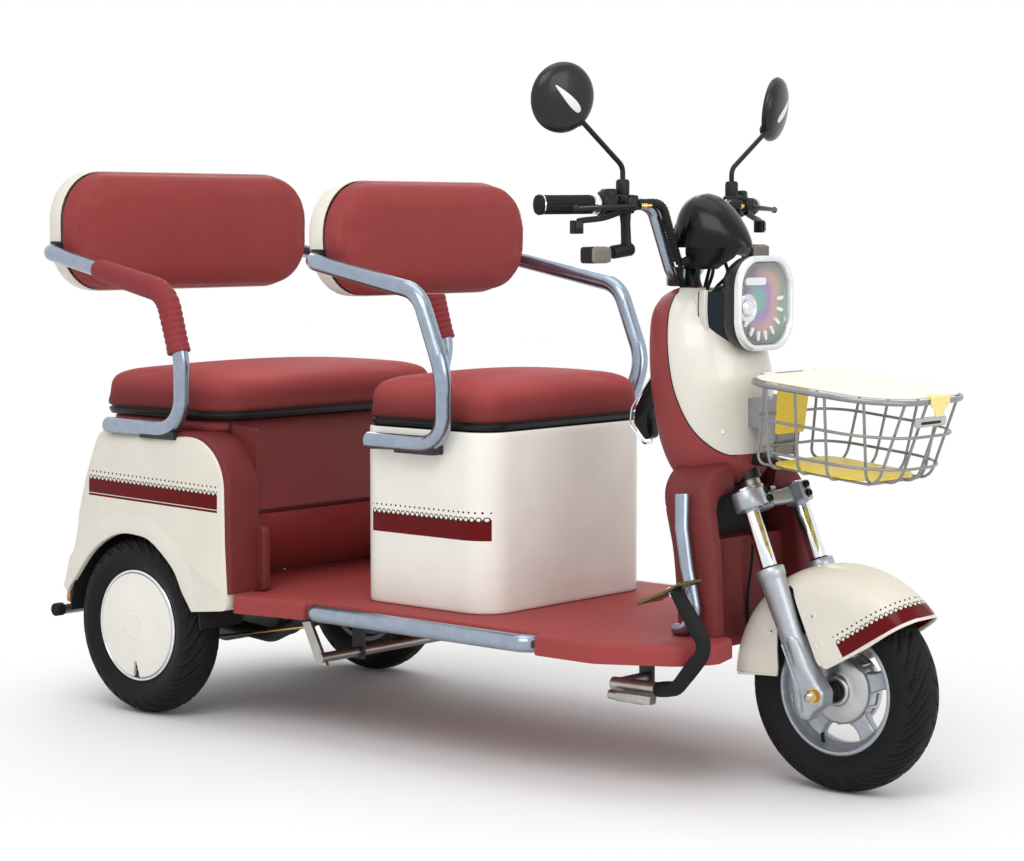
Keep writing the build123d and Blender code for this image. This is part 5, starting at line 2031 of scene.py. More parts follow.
@dataclass
class FrontWheel:
    """The cast front wheel and its brake drum."""

    spokes: int = 5
    first: float = 17.0
    valve_turn: float = 4.4
    body: Body = Body.FRONT_WHEEL

    def centre(self) -> Vector:
        """Middle of the wheel."""
        return Vector((FRONT_AXLE, 0.0, WHEEL_Z))

    def spoke(self, turn: float) -> Shape:
        """One broad spoke.

        Args:
            turn: its direction in degrees.

        Returns:
            The shape.
        """
        rings = []
        for radius, width, thick in (
            (50, 22, 15), (64, 18.5, 12), (76, 16.5, 10), (88, 17.5, 10), (97, 21, 12), (103, 27, 15)
        ):
            line = rounded_box(width, thick, 5.0, 40)
            rings.append([Vector((radius, p.y, p.x)) for p in line])
        shape = loft(rings).turned(-turn, (0, 1, 0))
        return shape.mapped(lambda v: v + self.centre())

    def build(self) -> None:
        """Make the wheel."""
        flange = [(106, 24), (107.2, 32), (109.5, 35.3), (113, 36.2), (115.8, 34.6), (116.6, 31.5), (115, 29)]
        hump = [(105, 21), (99, 17), (96, 8)]
        profile = [*flange, (113, 27), (106, 20), (104, 10), (104, -10), (106, -20), (113, -27)]
        profile += [(r, -y) for r, y in reversed(flange)] + [(r, -y) for r, y in hump] + hump[::-1]
        Workshop.piece(
            "front_wheel_rim", revolve(profile, self.centre(), 140), Palette.alloy, self.body, ["front_rim"]
        )
        shape = Shape()
        for index in range(self.spokes):
            shape = shape + self.spoke(self.first + index * 360 / self.spokes)
        Workshop.piece("front_wheel_spokes", shape, Palette.alloy, self.body)
        right = [
            (0.01, -31), (17, -31), (19, -33.5), (24, -33.5), (27, -31), (28.5, -26), (36, -24.5), (52, -23),
            (58, -21.5), (61.5, -18),
        ]
        right += [
            (62.5, -12), (62.5, 6), (65, 9), (66, 14), (66, 21), (63, 24), (40, 25), (34, 29), (20, 30),
            (0.01, 30),
        ]
        made = Workshop.mesh("front_wheel_drum", revolve(right, self.centre(), 120, closed=False))
        Workshop.soften(made, 1.2, 2, 25)
        Workshop.dress(made, Palette.satin, self.body)
        ribs = Shape()
        for index in range(15):
            turn = math.radians(index * 24)
            mid = self.centre() + Vector((math.cos(turn) * 64, 2, math.sin(turn) * 64))
            ribs = ribs + knob(softened(24, 2.4, 1.0), mid + Vector((0, -12, 0)), (0, 1, 0), 10)
        Workshop.piece("front_drum_ribs", ribs, Palette.satin, self.body)
        seal = [(8, -33), (15.5, -33), (16.5, -37), (14, -40.5), (8, -41)]
        Workshop.piece(
            "front_wheel_seals", revolve(seal, self.centre(), 48).both(), Palette.rubber, self.body
        )
        out = Vector((math.cos(self.valve_turn), 0, math.sin(self.valve_turn)))
        valve = [self.centre() + out * r + Vector((0, y, 0)) for r, y in ((101, -20), (92, -27), (84, -31))]
        Workshop.piece("front_wheel_valve", tube(valve, 3.4, 14), Palette.rubber, self.body)


@dataclass
class Wheels:
    """All three wheels."""

    def build(self) -> None:
        """Make them."""
        middle = (FRONT_AXLE, 0.0, WHEEL_Z)
        Tyre("front_road_tyre", "front_tyre", Body.FRONT_WHEEL, middle).build()
        for side, name, body in ((-1, "right", Body.RIGHT_WHEEL), (1, "left", Body.LEFT_WHEEL)):
            place = (0.0, side * REAR_TRACK_HALF, WHEEL_Z)
            Tyre(f"{name}_road_tyre", f"rear_{name}_tyre", body, place).build()
            RearWheel(side, name, body).build()
        FrontWheel().build()


# ------------------------------------------------------------------ floor and body


@dataclass
class Floor:
    """Moulded floor with thick rolled edges and bright tubes along its sides."""

    top: float = 275.0
    depth: float = 36.0
    roll: float = 15.0
    tube_y: float = 338.0
    tube_z: float = 256.0
    tube_x: tuple[float, float] = (477.0, 1032.0)
    tube_radius: float = 16.5

    def outline(self) -> list[Vector]:
        """Plan of the floor, notched along its sides for the tubes.

        Returns:
            Its points.
        """
        rear, front = self.tube_x[0] - 18, self.tube_x[1] + 17
        notch = self.tube_y - self.tube_radius - 1
        right = [
            (95, -255), (284, -255), (284, -372), (420, -346), (rear, -341), (rear, -notch), (front, -notch),
            (front, -345),
        ]
        right += [(1190, -344), (1318, -272), (1362, -208), (1338, -129), (1264, -125)]
        radii = [2, 2, 14, 60, 14, 3, 3, 16, 60, 70, 36, 16, 4]
        corners = [Vector(p) for p in right] + [Vector((x, -y)) for x, y in reversed(right)]
        return rounded(corners, [*radii, *reversed(radii)], closed=True, steps=7)

    def build(self) -> None:
        """Make the floor and its tubes."""
        line = self.outline()
        low = self.top - self.depth
        roll = self.roll
        angles = [math.pi / 2 * s / 6 for s in range(7)]
        levels = [(3, self.top - 13), (2.4, low + 1), (1.2, low), (0, low + 1)]
        levels += [(roll * 0.35 * (1 - math.cos(a)), self.top - roll + roll * math.sin(a)) for a in angles]
        rings = [[laid(Side.PLAN, p, z) for p in offset_line(line, inset)] for inset, z in levels]
        shape = loft(rings, caps=False)
        count = len(line)
        shape.faces.append(tuple(reversed(range(count))))
        shape.faces.append(tuple(range((len(levels) - 1) * count, len(levels) * count)))
        Workshop.piece("floor_moulding", shape, Palette.floor, Body.CHASSIS, ["floor_board"], sharp=38)
        x0, x1 = self.tube_x
        z = self.tube_z
        path = [(x0 + 2, -272, z - 4), (x0, -self.tube_y, z), (x1, -self.tube_y, z), (x1 - 2, -272, z - 4)]
        bars = tube(rounded(path, 25, steps=10), self.tube_radius, 28)
        Workshop.piece("floor_side_tubes", bars.both(), Palette.silver, Body.CHASSIS, ["side_tubes"])


@dataclass
class DriverBox:
    """Cream box under the driver, with its printed band."""

    x: tuple[float, float] = (526.5, 856.5)
    half: float = 245.0
    low: float = 275.4
    high: float = 618.8
    corner_rear: float = 42.0
    corner_front: float = 62.0

    def outline(self) -> list[Vector]:
        """Plan of the box.

        Returns:
            Its points.
        """
        rear, front = self.x
        corners = [(rear, self.half), (rear, -self.half), (front, -self.half), (front, self.half)]
        radii = (self.corner_rear, self.corner_rear, self.corner_front, self.corner_front)
        return respaced(rounded(corners, radii, closed=True, steps=14), 200, closed=True)

    def build(self) -> None:
        """Make the box."""
        levels = [
            (30, self.low), (5, self.low), (1.6, self.low + 1.2), (0.4, self.low + 4), (0, self.low + 10)
        ]
        levels += [(0, z) for z in (330, 380, 416, 454, 500, 560, self.high - 12)]
        levels += [(0.2, self.high - 3), (1.4, self.high - 0.6), (3, self.high)]
        levels += [(5, self.high), (5, self.low + 6), (30, self.low + 6)]
        line = self.outline()
        rings = [[laid(Side.PLAN, p, z) for p in offset_line(line, inset)] for inset, z in levels]
        shape = loft(rings)
        # The band is printed over the lighter copy of the cream, which is painted light for a box that stands in
        # shade.
        finish = StripedEnamel(
            "lit_copy_cream_box_enamel", Palette.lit_copy_cream.colour, "cream_paint", origin=(self.x[0] + 30, 415.0),
            length=self.x[1] - self.x[0] - 42.5, width=40.0,
        )
        Workshop.piece("driver_box_shell", shape, finish, Body.CHASSIS, ["driver_seat_box"], sharp=60)


@dataclass
class RearBody:
    """Cream rear fenders and tail, with red trims and heel board."""

    half: float = 376.0
    inner: float = 300.0
    top: float = 589.0
    shoulder: float = 37.0
    rear_line: tuple[Point, ...] = (
        (-213, 243), (-207, 330), (-194, 410), (-172, 480), (-145, 545), (-124, 589)
    )
    front_x: float = 276.0
    front_corner: float = 105.0
    arch: tuple[Point, ...] = (
        (-214, 236), (-180, 273), (-137, 320), (-92, 352), (-42, 371), (10, 373), (59, 362), (122, 314),
        (151, 266), (175, 231),
    )
    flare_width: float = 42.0
    flare_height: float = 3.6

    def side_outline(self) -> list[Vector]:
        """The fender seen from the side, without its arch.

        Returns:
            Its points.
        """
        corners = [
            *self.rear_line[:-1], (-122, self.top), (self.front_x, self.top), (self.front_x + 4, 243),
            (176, 231), (-100, 231),
        ]
        radii = [4, 80, 80, 80, 80, 46, self.front_corner, 14, 6, 4]
        return respaced(rounded(corners, radii, closed=True, steps=12), 240, closed=True)

    def arch_line(self) -> list[Vector]:
        """The lip of the wheel opening."""
        return smooth_line(self.arch, 90)

    def shell(self, inset: float) -> Shape:
        """A solid side of the body, drawn in by an inset.

        Args:
            inset: distance inside the outer face.

        Returns:
            The shape.
        """
        round_edge = self.shoulder - inset
        angles = [math.pi / 2 * s / 9 for s in range(10)]
        flat = offset_line(self.side_outline(), inset)
        levels = [(0.0, -self.inner + inset)]
        face = -self.half + inset
        levels += [
            (round_edge - round_edge * math.cos(a), face + round_edge - round_edge * math.sin(a))
            for a in angles
        ]
        rings = []
        for step, y in levels:
            ring = []
            for point, moved in zip(flat, offset_line(flat, step)):
                keep_low = min(1.0, max(0.0, (point.y - 250) / 120))
                lean = min(1.0, max(0.0, (point.x + 60) / 220)) * 0.72
                share = keep_low * (1 - lean)
                ring.append(laid(Side.ACROSS, point.lerp(moved, share), y))
            rings.append(ring)
        return loft(rings)

    def fender(self) -> None:
        """Both side panels."""
        made = Workshop.mesh("rear_fender_right", self.shell(0))
        lip = self.arch_line()
        below = [*lip, Vector((175, 120)), Vector((-260, 120)), Vector((-260, 236))]
        opening = slab(respaced(below, 200, closed=True), -self.half - 12, -self.inner + 12, 0.2, Side.ACROSS)
        Workshop.cut(made, self.shell(3.5), opening)
        Workshop.settle(made)
        finish = StripedEnamel(
            "cream_fender_enamel", Palette.CREAM, "cream_paint", origin=(-138.0, 445.5), slope=-1.3,
            length=393.0, width=38.0, pinstripe=5.5,
        )
        left = bpy.data.objects.new("rear_fender_left", made.data.copy())
        bpy.context.scene.collection.objects.link(left)
        left.data.transform(Matrix.Scale(-1, 4, (0, 1, 0)))
        left.data.flip_normals()
        Workshop.dress(made, finish, Body.CHASSIS, ["rear_fenders"], sharp=50)
        Workshop.dress(left, finish, Body.CHASSIS, sharp=50)

    def flare(self) -> None:
        """The raised band round each wheel opening, with its rolled lip."""
        lip = [Vector((p.x, 0, p.y)) for p in respaced(self.arch_line(), 120)]
        rings = []
        size = len(lip)
        for index, here in enumerate(lip):
            run = (lip[min(index + 1, size - 1)] - lip[max(index - 1, 0)]).normalized()
            out = Vector((-run.z, 0, run.x))
            if out.dot(here - Vector((-10, 0, 184))) < 0:
                out = -out
            share = index / (size - 1)
            fade = min(1.0, share / 0.12, (1 - share) / 0.12)
            wide = self.flare_width * (0.35 + 0.65 * fade)
            high = self.flare_height * fade + 0.35
            ring = []
            ring += [(0.0, -9.0), (0.0, -1.0), (0.5, high * 0.75), (2.5, high), (0.3 * wide, high * 0.97)]
            ring += [(0.55 * wide, high * 0.85), (0.75 * wide, high * 0.5), (0.9 * wide, high * 0.16)]
            ring += [(wide, -0.25), (wide, -1.2), (2.4, -1.2), (2.4, -9.0)]
            rings.append([here + out * along + Vector((0, -self.half - up, 0)) for along, up in ring])
        Workshop.piece("wheel_arch_flares", loft(rings).both(), Palette.cream, Body.CHASSIS, sharp=70)

    def tail(self) -> None:
        """The crowned panel across the back."""
        profile = smooth_line(
            [(-228, 258), (-232, 330), (-226, 400), (-207, 463), (-180, 515), (-150, 558), (-126, 587)], 30
        )
        limit = self.inner + 26
        sheets = []
        for inset in (0.0, 3.6):
            rings = []
            for y in np.linspace(-limit, limit, 61):
                bulge = 1 - abs(y / limit) ** 5
                ring = []
                for point in profile:
                    back = 5.0 * bulge - 9.0 * max(0.0, (abs(y) - self.inner + 14) / 40) ** 2
                    ring.append(Vector((point.x - back + inset, y, point.y - inset * 0.4)))
                rings.append(ring)
            sheets.append(rings)
        rings = [outer + list(reversed(inner)) for outer, inner in zip(*sheets)]
        Workshop.piece("tail_panel_shell", loft(rings), Palette.cream, Body.CHASSIS, ["tail_panel"], sharp=60)
        seams = Shape()
        for y in (-0.36, 0.36):
            seams = seams + tube([Vector((p.x - 5.3, y * limit, p.y)) for p in profile[4:-6]], 1.1, 8)
        Workshop.piece("tail_panel_seams", seams, Palette.soft_black, Body.CHASSIS)

    def trims(self) -> None:
        """Red trims round the front edges, the deck strip and the heel board; the trims, heels, cheeks and upper
        board in a darker red painted as shade, the lower board in a lighter red painted as light.
        """
        face = [
            Vector(p)
            for p in ((60, self.top + 2), (self.front_x + 8, self.top + 2), (self.front_x + 9, 275.6))
        ]
        centre = rounded(face, [self.front_corner + 4], steps=18)
        line = respaced([Vector((p.x, 0, p.y)) for p in centre], 90)
        outer, inner = -self.half + 4, -288.0
        rings = []
        for here, (run, _, _) in zip(line, path_frames(line, (0, 1, 0))):
            out = Vector((-run.z, 0, run.x))
            ring = []
            for p in rounded(
                [(outer, -12), (outer, 2.4), (inner, 2.4), (inner, -12)], [1, 17, 20, 1], closed=True, steps=7
            ):
                ring.append(here + out * (p.y - 2.4) + Vector((0, p.x, 0)))
            rings.append(ring)
        shape = loft(rings)
        # The trims take the darker red, which is painted shade.
        Workshop.piece(
            "body_front_trims", shape.both(), Palette.shaded_red, Body.CHASSIS, ["footwell_panel"], sharp=50
        )
        step = [(250, 275.6), (307, 275.6), (307, 396), (302, 404), (262, 410), (250, 410)]
        outline = respaced(rounded(step, [1, 9, 9, 6, 6, 1], closed=True, steps=5), 90, closed=True)
        block = slab(outline, -299, -281, 4, Side.ACROSS)
        Workshop.piece("trim_heels", block.both(), Palette.shaded_red, Body.CHASSIS, sharp=50)
        # The upper heel board takes the darker red, which is painted shade.
        upper = [(190, 611.5), (202, 611.5), (270, 438), (270, 431), (257, 424), (251, 430), (257, 440)]
        board = slab(rounded(upper, [1, 3, 6, 6, 3, 3, 4], closed=True, steps=4), -284, 284, 0.6, Side.ACROSS)
        Workshop.piece("heel_board_upper", board, Palette.shaded_red, Body.CHASSIS, sharp=40)
        # The lower heel board takes the lighter red, which is painted light.
        lower = [(258, 425), (99, 276), (91, 276), (244, 427)]
        board = slab(rounded(lower, [2, 2, 1, 2], closed=True, steps=4), -278, 278, 0.6, Side.ACROSS)
        Workshop.piece("heel_board_lower", board, Palette.lit_heel_red, Body.CHASSIS, sharp=40)
        cheek = [(196, 276), (280, 276), (280, 600), (206, 604), (222, 430), (196, 400)]
        wall = slab(rounded(cheek, 4, closed=True, steps=4), -291, -285, 1, Side.ACROSS)
        Workshop.piece("footwell_cheeks", wall.both(), Palette.shaded_red, Body.CHASSIS, sharp=40)
        crease = rod([(270.6, -282, 434.2), (270.6, 282, 434.2)], 1.5, sides=10)
        Workshop.piece("heel_board_seam", crease, Palette.soft_black, Body.CHASSIS)
        deck = [(-150, 320), (-150, -320), (198, -320), (198, 320)]
        strip = respaced(rounded(deck, [52, 52, 60, 60], closed=True, steps=8), 160, closed=True)
        levels = [
            (40, 590.2), (2.5, 590.4), (0.4, 592.5), (0, 600), (0.6, 607), (3.5, 611.5), (9, 613.2),
            (40, 613.2),
        ]
        rings = [[laid(Side.PLAN, p, z) for p in offset_line(strip, inset)] for inset, z in levels]
        Workshop.piece("bench_deck_rim", loft(rings), Palette.red, Body.CHASSIS, ["bench_deck"], sharp=50)

    def lamps(self) -> None:
        """Amber lamps at the rear lower corners, and the ends of the bumper tube."""
        levels = [(3.5, -345.0), (0.6, -343.6), (0, -341), (0, -301), (0.6, -298.4), (3.5, -297)]
        outline = rounded(
            [(-258, 206), (-226, 204), (-223, 262), (-247, 262)], [7, 3, 4, 14], closed=True, steps=7
        )
        line = respaced(outline, 72, closed=True)
        rings = [[laid(Side.ACROSS, p, y) for p in offset_line(line, inset)] for inset, y in levels]
        Workshop.piece(
            "tail_lamp_lenses", loft(rings).both(), Palette.amber, Body.CHASSIS, ["tail_lamps"], sharp=50
        )
        back = rounded([(-240, 202.8), (-214, 202.8), (-214, 266), (-238, 266)], 5, closed=True, steps=5)
        case = slab(respaced(back, 60, closed=True), -349, -293, 3, Side.ACROSS)
        Workshop.piece("tail_lamp_cases", case.both(), Palette.soft_black, Body.CHASSIS, sharp=50)
        cap = knob(softened(22, 13.8, 3), (-262, -372, 190), (0, 1, 0), 28)
        Workshop.piece("bumper_end_caps", cap.both(), Palette.rubber, Body.CHASSIS)

    def build(self) -> None:
        """Make the whole rear body."""
        self.fender()
        self.flare()
        self.tail()
        self.trims()
        self.lamps()


# ------------------------------------------------------------------ column and shield


@dataclass
class Column:
    """Rounded red body round the steering head, with its cream front cover."""

    sections: tuple[Point, ...] = (
        (540, 1212, 62, 84), (560, 1211, 78, 102), (590, 1207, 90, 114), (632, 1200, 98, 120),
        (688, 1194, 103, 123), (739, 1188, 105, 122),
        (800, 1177, 99, 112), (845, 1164, 86, 93), (874, 1156, 64, 66), (888, 1152, 40, 40),
    )
    seam: tuple[Point, ...] = (
        (1300, 588), (1270, 600), (1232, 640), (1204, 692), (1186, 745), (1166, 827), (1150, 880), (1142, 900)
    )
    proud: float = 1.6
    thick: float = 4.5
    crown_z: float = 888.0
    lamp_z: float = 862.0
    cup_power: float = 0.8
    cup: tuple[Point, ...] = (
        (1180, 50), (1196, 63), (1212, 75), (1226, 84), (1234, 88), (1237.5, 89), (1239, 87.5),
    )
    gap: tuple[Point, ...] = ((1216, 79), (1238, 81), (1260, 78.5), (1276, 76))
    gap_inner: float = 60.0

    def levels(self, count: int) -> list[Vector]:
        """Height, centre, half length and half width, evenly spread up the column."""
        return smooth_line(self.sections, count)

    def at(self, height: float) -> tuple[float, float, float]:
        """The column's section at one height.

        Args:
            height: the height.

        Returns:
            Its centre, half length and half width.
        """
        rows = self.levels(60)
        heights = [row[0] for row in rows]
        return tuple(float(np.interp(height, heights, [row[axis] for row in rows])) for axis in (1, 2, 3))

    def surface(self, height: float, turn: float, grow: float = 0.0) -> Vector:
        """A point of the column's surface.

        Args:
            height: its height.
            turn: angle from straight ahead, in radians.
            grow: distance outside the surface.

        Returns:
            The point.
        """
        centre, long, wide = self.at(height)
        return Vector((centre + (long + grow) * math.cos(turn), (wide + grow) * math.sin(turn), height))

    def body(self) -> None:
        """The red body."""
        rings = []
        for height, centre, long, wide in self.levels(44):
            rings.append([Vector((centre + p.x, p.y, height)) for p in oval(long, wide, 96)])
        top = rings[-1]
        middle = sum(top, Vector((0, 0, 0))) / len(top)
        for share, lift in ((0.75, 3.2), (0.45, 5.4), (0.15, 6.2)):
            rings.append([middle + (p - middle) * share + Vector((0, 0, lift)) for p in top])
        Workshop.piece(
            "column_body_shell", loft(rings), Palette.red, Body.CHASSIS, ["column_cover"], sharp=60
        )

    def cover(self) -> None:
        """The cream cover ahead of the seam."""
        line = smooth_line(self.seam, 60)
        heights = [p.y for p in line]
        low, high = 594.0, 892.0
        rings = []
        for share in np.linspace(0, 1, 64):
            height = low + (high - low) * (1 - math.cos(share * math.pi / 2)) if share < 1 else high
            level = min(height, self.crown_z)
            centre, long, _ = self.at(level)
            edge = float(np.interp(height, heights, [p.x for p in line]))
            reach = math.acos(max(-0.999, min(0.999, (edge - centre) / long)))
            lift = Vector((0, 0, height - level))
            turns = np.linspace(-reach, reach, 61)
            soft = [min(1.0, (reach - abs(t)) * long / 3.0) for t in turns]
            grown = [self.proud * math.sqrt(max(0.0, 1 - (1 - s) ** 2)) + 0.1 for s in soft]
            outer = [self.surface(level, t, g) + lift for t, g in zip(turns, grown)]
            inner = [self.surface(level, t, -self.thick) + lift for t in reversed(turns)]
            rings.append(outer + inner)
        # The cover takes the darker copy of the cream, which is painted shade.
        Workshop.piece(
            "front_cover_shell", loft(rings), Palette.shaded_copy_cream, Body.CHASSIS, ["front_cover"], sharp=60
        )
        # A thin black tube along each seam: partly the real joint, partly painted shadow of the cover's raised
        # edge.
        seam = []
        for place in line[4:-6]:
            level = min(place.y, self.crown_z)
            centre, long, _ = self.at(level)
            turn = math.acos(max(-0.99, min(0.99, (place.x - centre) / long)))
            seam.append(self.surface(level, turn, 0.1))
        Workshop.piece("front_cover_seam_shade_lines", tube(seam, 1.3, 8).both(), Palette.soft_black, Body.CHASSIS)
        screw = self.surface(637, 0.72, self.proud)
        centre, _, _ = self.at(637)
        out = (screw - Vector((centre, 0, 637))).normalized()
        head = knob(
            [(0, -3), (4.6, -3), (4.8, 0), (4.2, 1.2), (2.4, 1.4), (2.0, 0.4), (0, 0.4)], screw, out, 20
        )
        Workshop.piece("front_cover_screws", head.both(), Palette.chrome, Body.CHASSIS)

    def cowl(self) -> None:
        """The cream cup that the cover makes round the back of the lamp, and inside it a bluish black ring
        painted as the shade in the gap.
        """
        turns = [math.radians(a) for a in np.linspace(14, -194, 61)]
        rings = []
        for x, half in self.cup:
            outer = [self.cup_point(x, half, turn) for turn in turns]
            inner = [self.cup_point(x, half - self.thick, turn) for turn in reversed(turns)]
            rings.append(outer + inner)
        # The cup takes the darker copy of the cream, which is painted shade.
        Workshop.piece("front_cover_cowl", loft(rings), Palette.shaded_copy_cream, Body.CHASSIS, sharp=60)
        # A bluish black ring inside the cup, painted as the shade in the gap round the lamp bowl.
        rings = []
        for x, half in self.gap:
            outer = [self.cup_point(x, half, turn) for turn in turns]
            inner = [self.cup_point(x, self.gap_inner, turn) for turn in reversed(turns)]
            rings.append(outer + inner)
        Workshop.piece("headlamp_gap_shadow", loft(rings), Palette.gap_shadow_black, Body.CHASSIS, sharp=60)

    def cup_point(self, x: float, half: float, turn: float) -> Vector:
        """A point of the cup round the lamp.

        Args:
            x: its station.
            half: half width of the cup there.
            turn: angle from the left, in radians.

        Returns:
            The point.
        """
        across, rise = (bulged(part, self.cup_power) * half for part in (math.cos(turn), math.sin(turn)))
        return Vector((x, across, self.lamp_z + rise))

    def build(self) -> None:
        """Make both halves."""
        self.body()
        self.cover()
        self.cowl()


@dataclass
class LegShield:
    """Red shield below the column, with two swept legs round an inner panel, all in a darker red painted as
    shade.
    """

    path: tuple[Point, ...] = (
        (1276, -144, 240), (1274, -144, 330), (1267, -144, 420), (1258, -144, 470), (1250, -141, 502),
        (1243, -129, 527),
        (1237, -103, 544), (1232, -66, 552),
    )
    half_long: tuple[float, float] = (43.0, 57.0)
    half_wide: tuple[float, float] = (21.0, 30.0)
    groove_z: float = 499.0
    guard: tuple[Point, ...] = (
        (1250, -166, 528), (1257, -176, 470), (1270, -178, 400), (1290, -178, 318), (1264, -178, 288),
        (1236, -164, 284),
    )
    cable: tuple[Point, ...] = (
        (1262, 22, 520), (1272, 20, 470), (1274, 15, 400), (1270, 8, 330), (1266, 14, 262)
    )

    def leg(self) -> Shape:
        """The right leg, carried up into the column's belly.

        Returns:
            The shape.
        """
        line = smooth_line(self.path, 70)
        last = len(line) - 1
        rings = []
        for index, here in enumerate(line):
            run = (line[min(index + 1, last)] - line[max(index - 1, 0)]).normalized()
            share = index / last
            side = Vector((0, run.z, -run.y)).normalized()
            swell = max(0.0, (share - 0.55) / 0.45)
            long = self.half_long[0] + (self.half_long[1] - self.half_long[0]) * share
            wide = self.half_wide[0] + (self.half_wide[1] - self.half_wide[0]) * swell
            pinch = 1.3 * math.exp(-(((here.z - self.groove_z) / 1.3) ** 2)) if share < 0.7 else 0.0
            ring = rounded_box(long - pinch, wide - pinch, 19, 64)
            rings.append([here + Vector((p.x, 0, 0)) + side * p.y for p in ring])
        return loft(rings)

    def back(self) -> Shape:
        """The full-width back of the shield.

        Returns:
            The shape.
        """
        rings = []
        for z, rear, front, half in (
            (262, 1238, 1262, 126), (275, 1236, 1262, 128), (330, 1222, 1262, 130), (439, 1203, 1262, 132),
            (441, 1202.5, 1229, 132), (500, 1192, 1229, 132), (540, 1187, 1228, 122), (565, 1188, 1226, 100),
        ):
            ring = rounded_box((front - rear) / 2, half, 12, 64)
            rings.append([Vector((p.x + (front + rear) / 2, p.y, z)) for p in ring])
        return loft(rings)

    def build(self) -> None:
        """Make the shield, its inner panel, and a black sheet painted as the shade behind the fork."""
        # The legs, back and inner panel take the darker red, which is painted shade.
        Workshop.piece(
            "leg_shield_right_leg", self.leg(), Palette.shaded_red, Body.CHASSIS, ["leg_shield"], sharp=60
        )
        Workshop.piece("leg_shield_left_leg", self.leg().mirrored(), Palette.shaded_red, Body.CHASSIS, sharp=60)
        Workshop.piece("leg_shield_back", self.back(), Palette.shaded_red, Body.CHASSIS, sharp=50)
        sheet = slab(rounded_box(124, 92, 6, 48), 1262.6, 1266.2, 1.4, Side.FRONT).moved(z=348)
        ribs = Shape()
        for y in (-64, 64):
            ribs = ribs + rod([(1266, y, 268), (1266, y, 434)], 1.6, sides=8)
        Workshop.piece("inner_panel_sheet", sheet + ribs, Palette.shaded_red, Body.CHASSIS, ["inner_panel"])
        # A thin black sheet, painted as the shade in the gap round the steering crown.
        pit = slab(rounded_box(120, 52, 10, 48), 1229.2, 1231.5, 0.6, Side.FRONT).moved(z=494)
        Workshop.piece("steering_gap_shadow_sheet", pit, Palette.soft_black, Body.CHASSIS)
        guard = rounded(self.guard, [60, 100, 26, 20], steps=10)
        bars = tube(respaced(guard, 90), lambda s: 14.0 - 3.5 * s, 24).both()
        Workshop.piece("shield_guard_tubes", bars, Palette.silver, Body.CHASSIS, ["guard_bars"])
        cable = tube(smooth_line(self.cable, 40), 2.6, 10)
        Workshop.piece("shield_front_cable", cable, Palette.rubber, Body.CHASSIS)


# ------------------------------------------------------------------ headlamp and basket


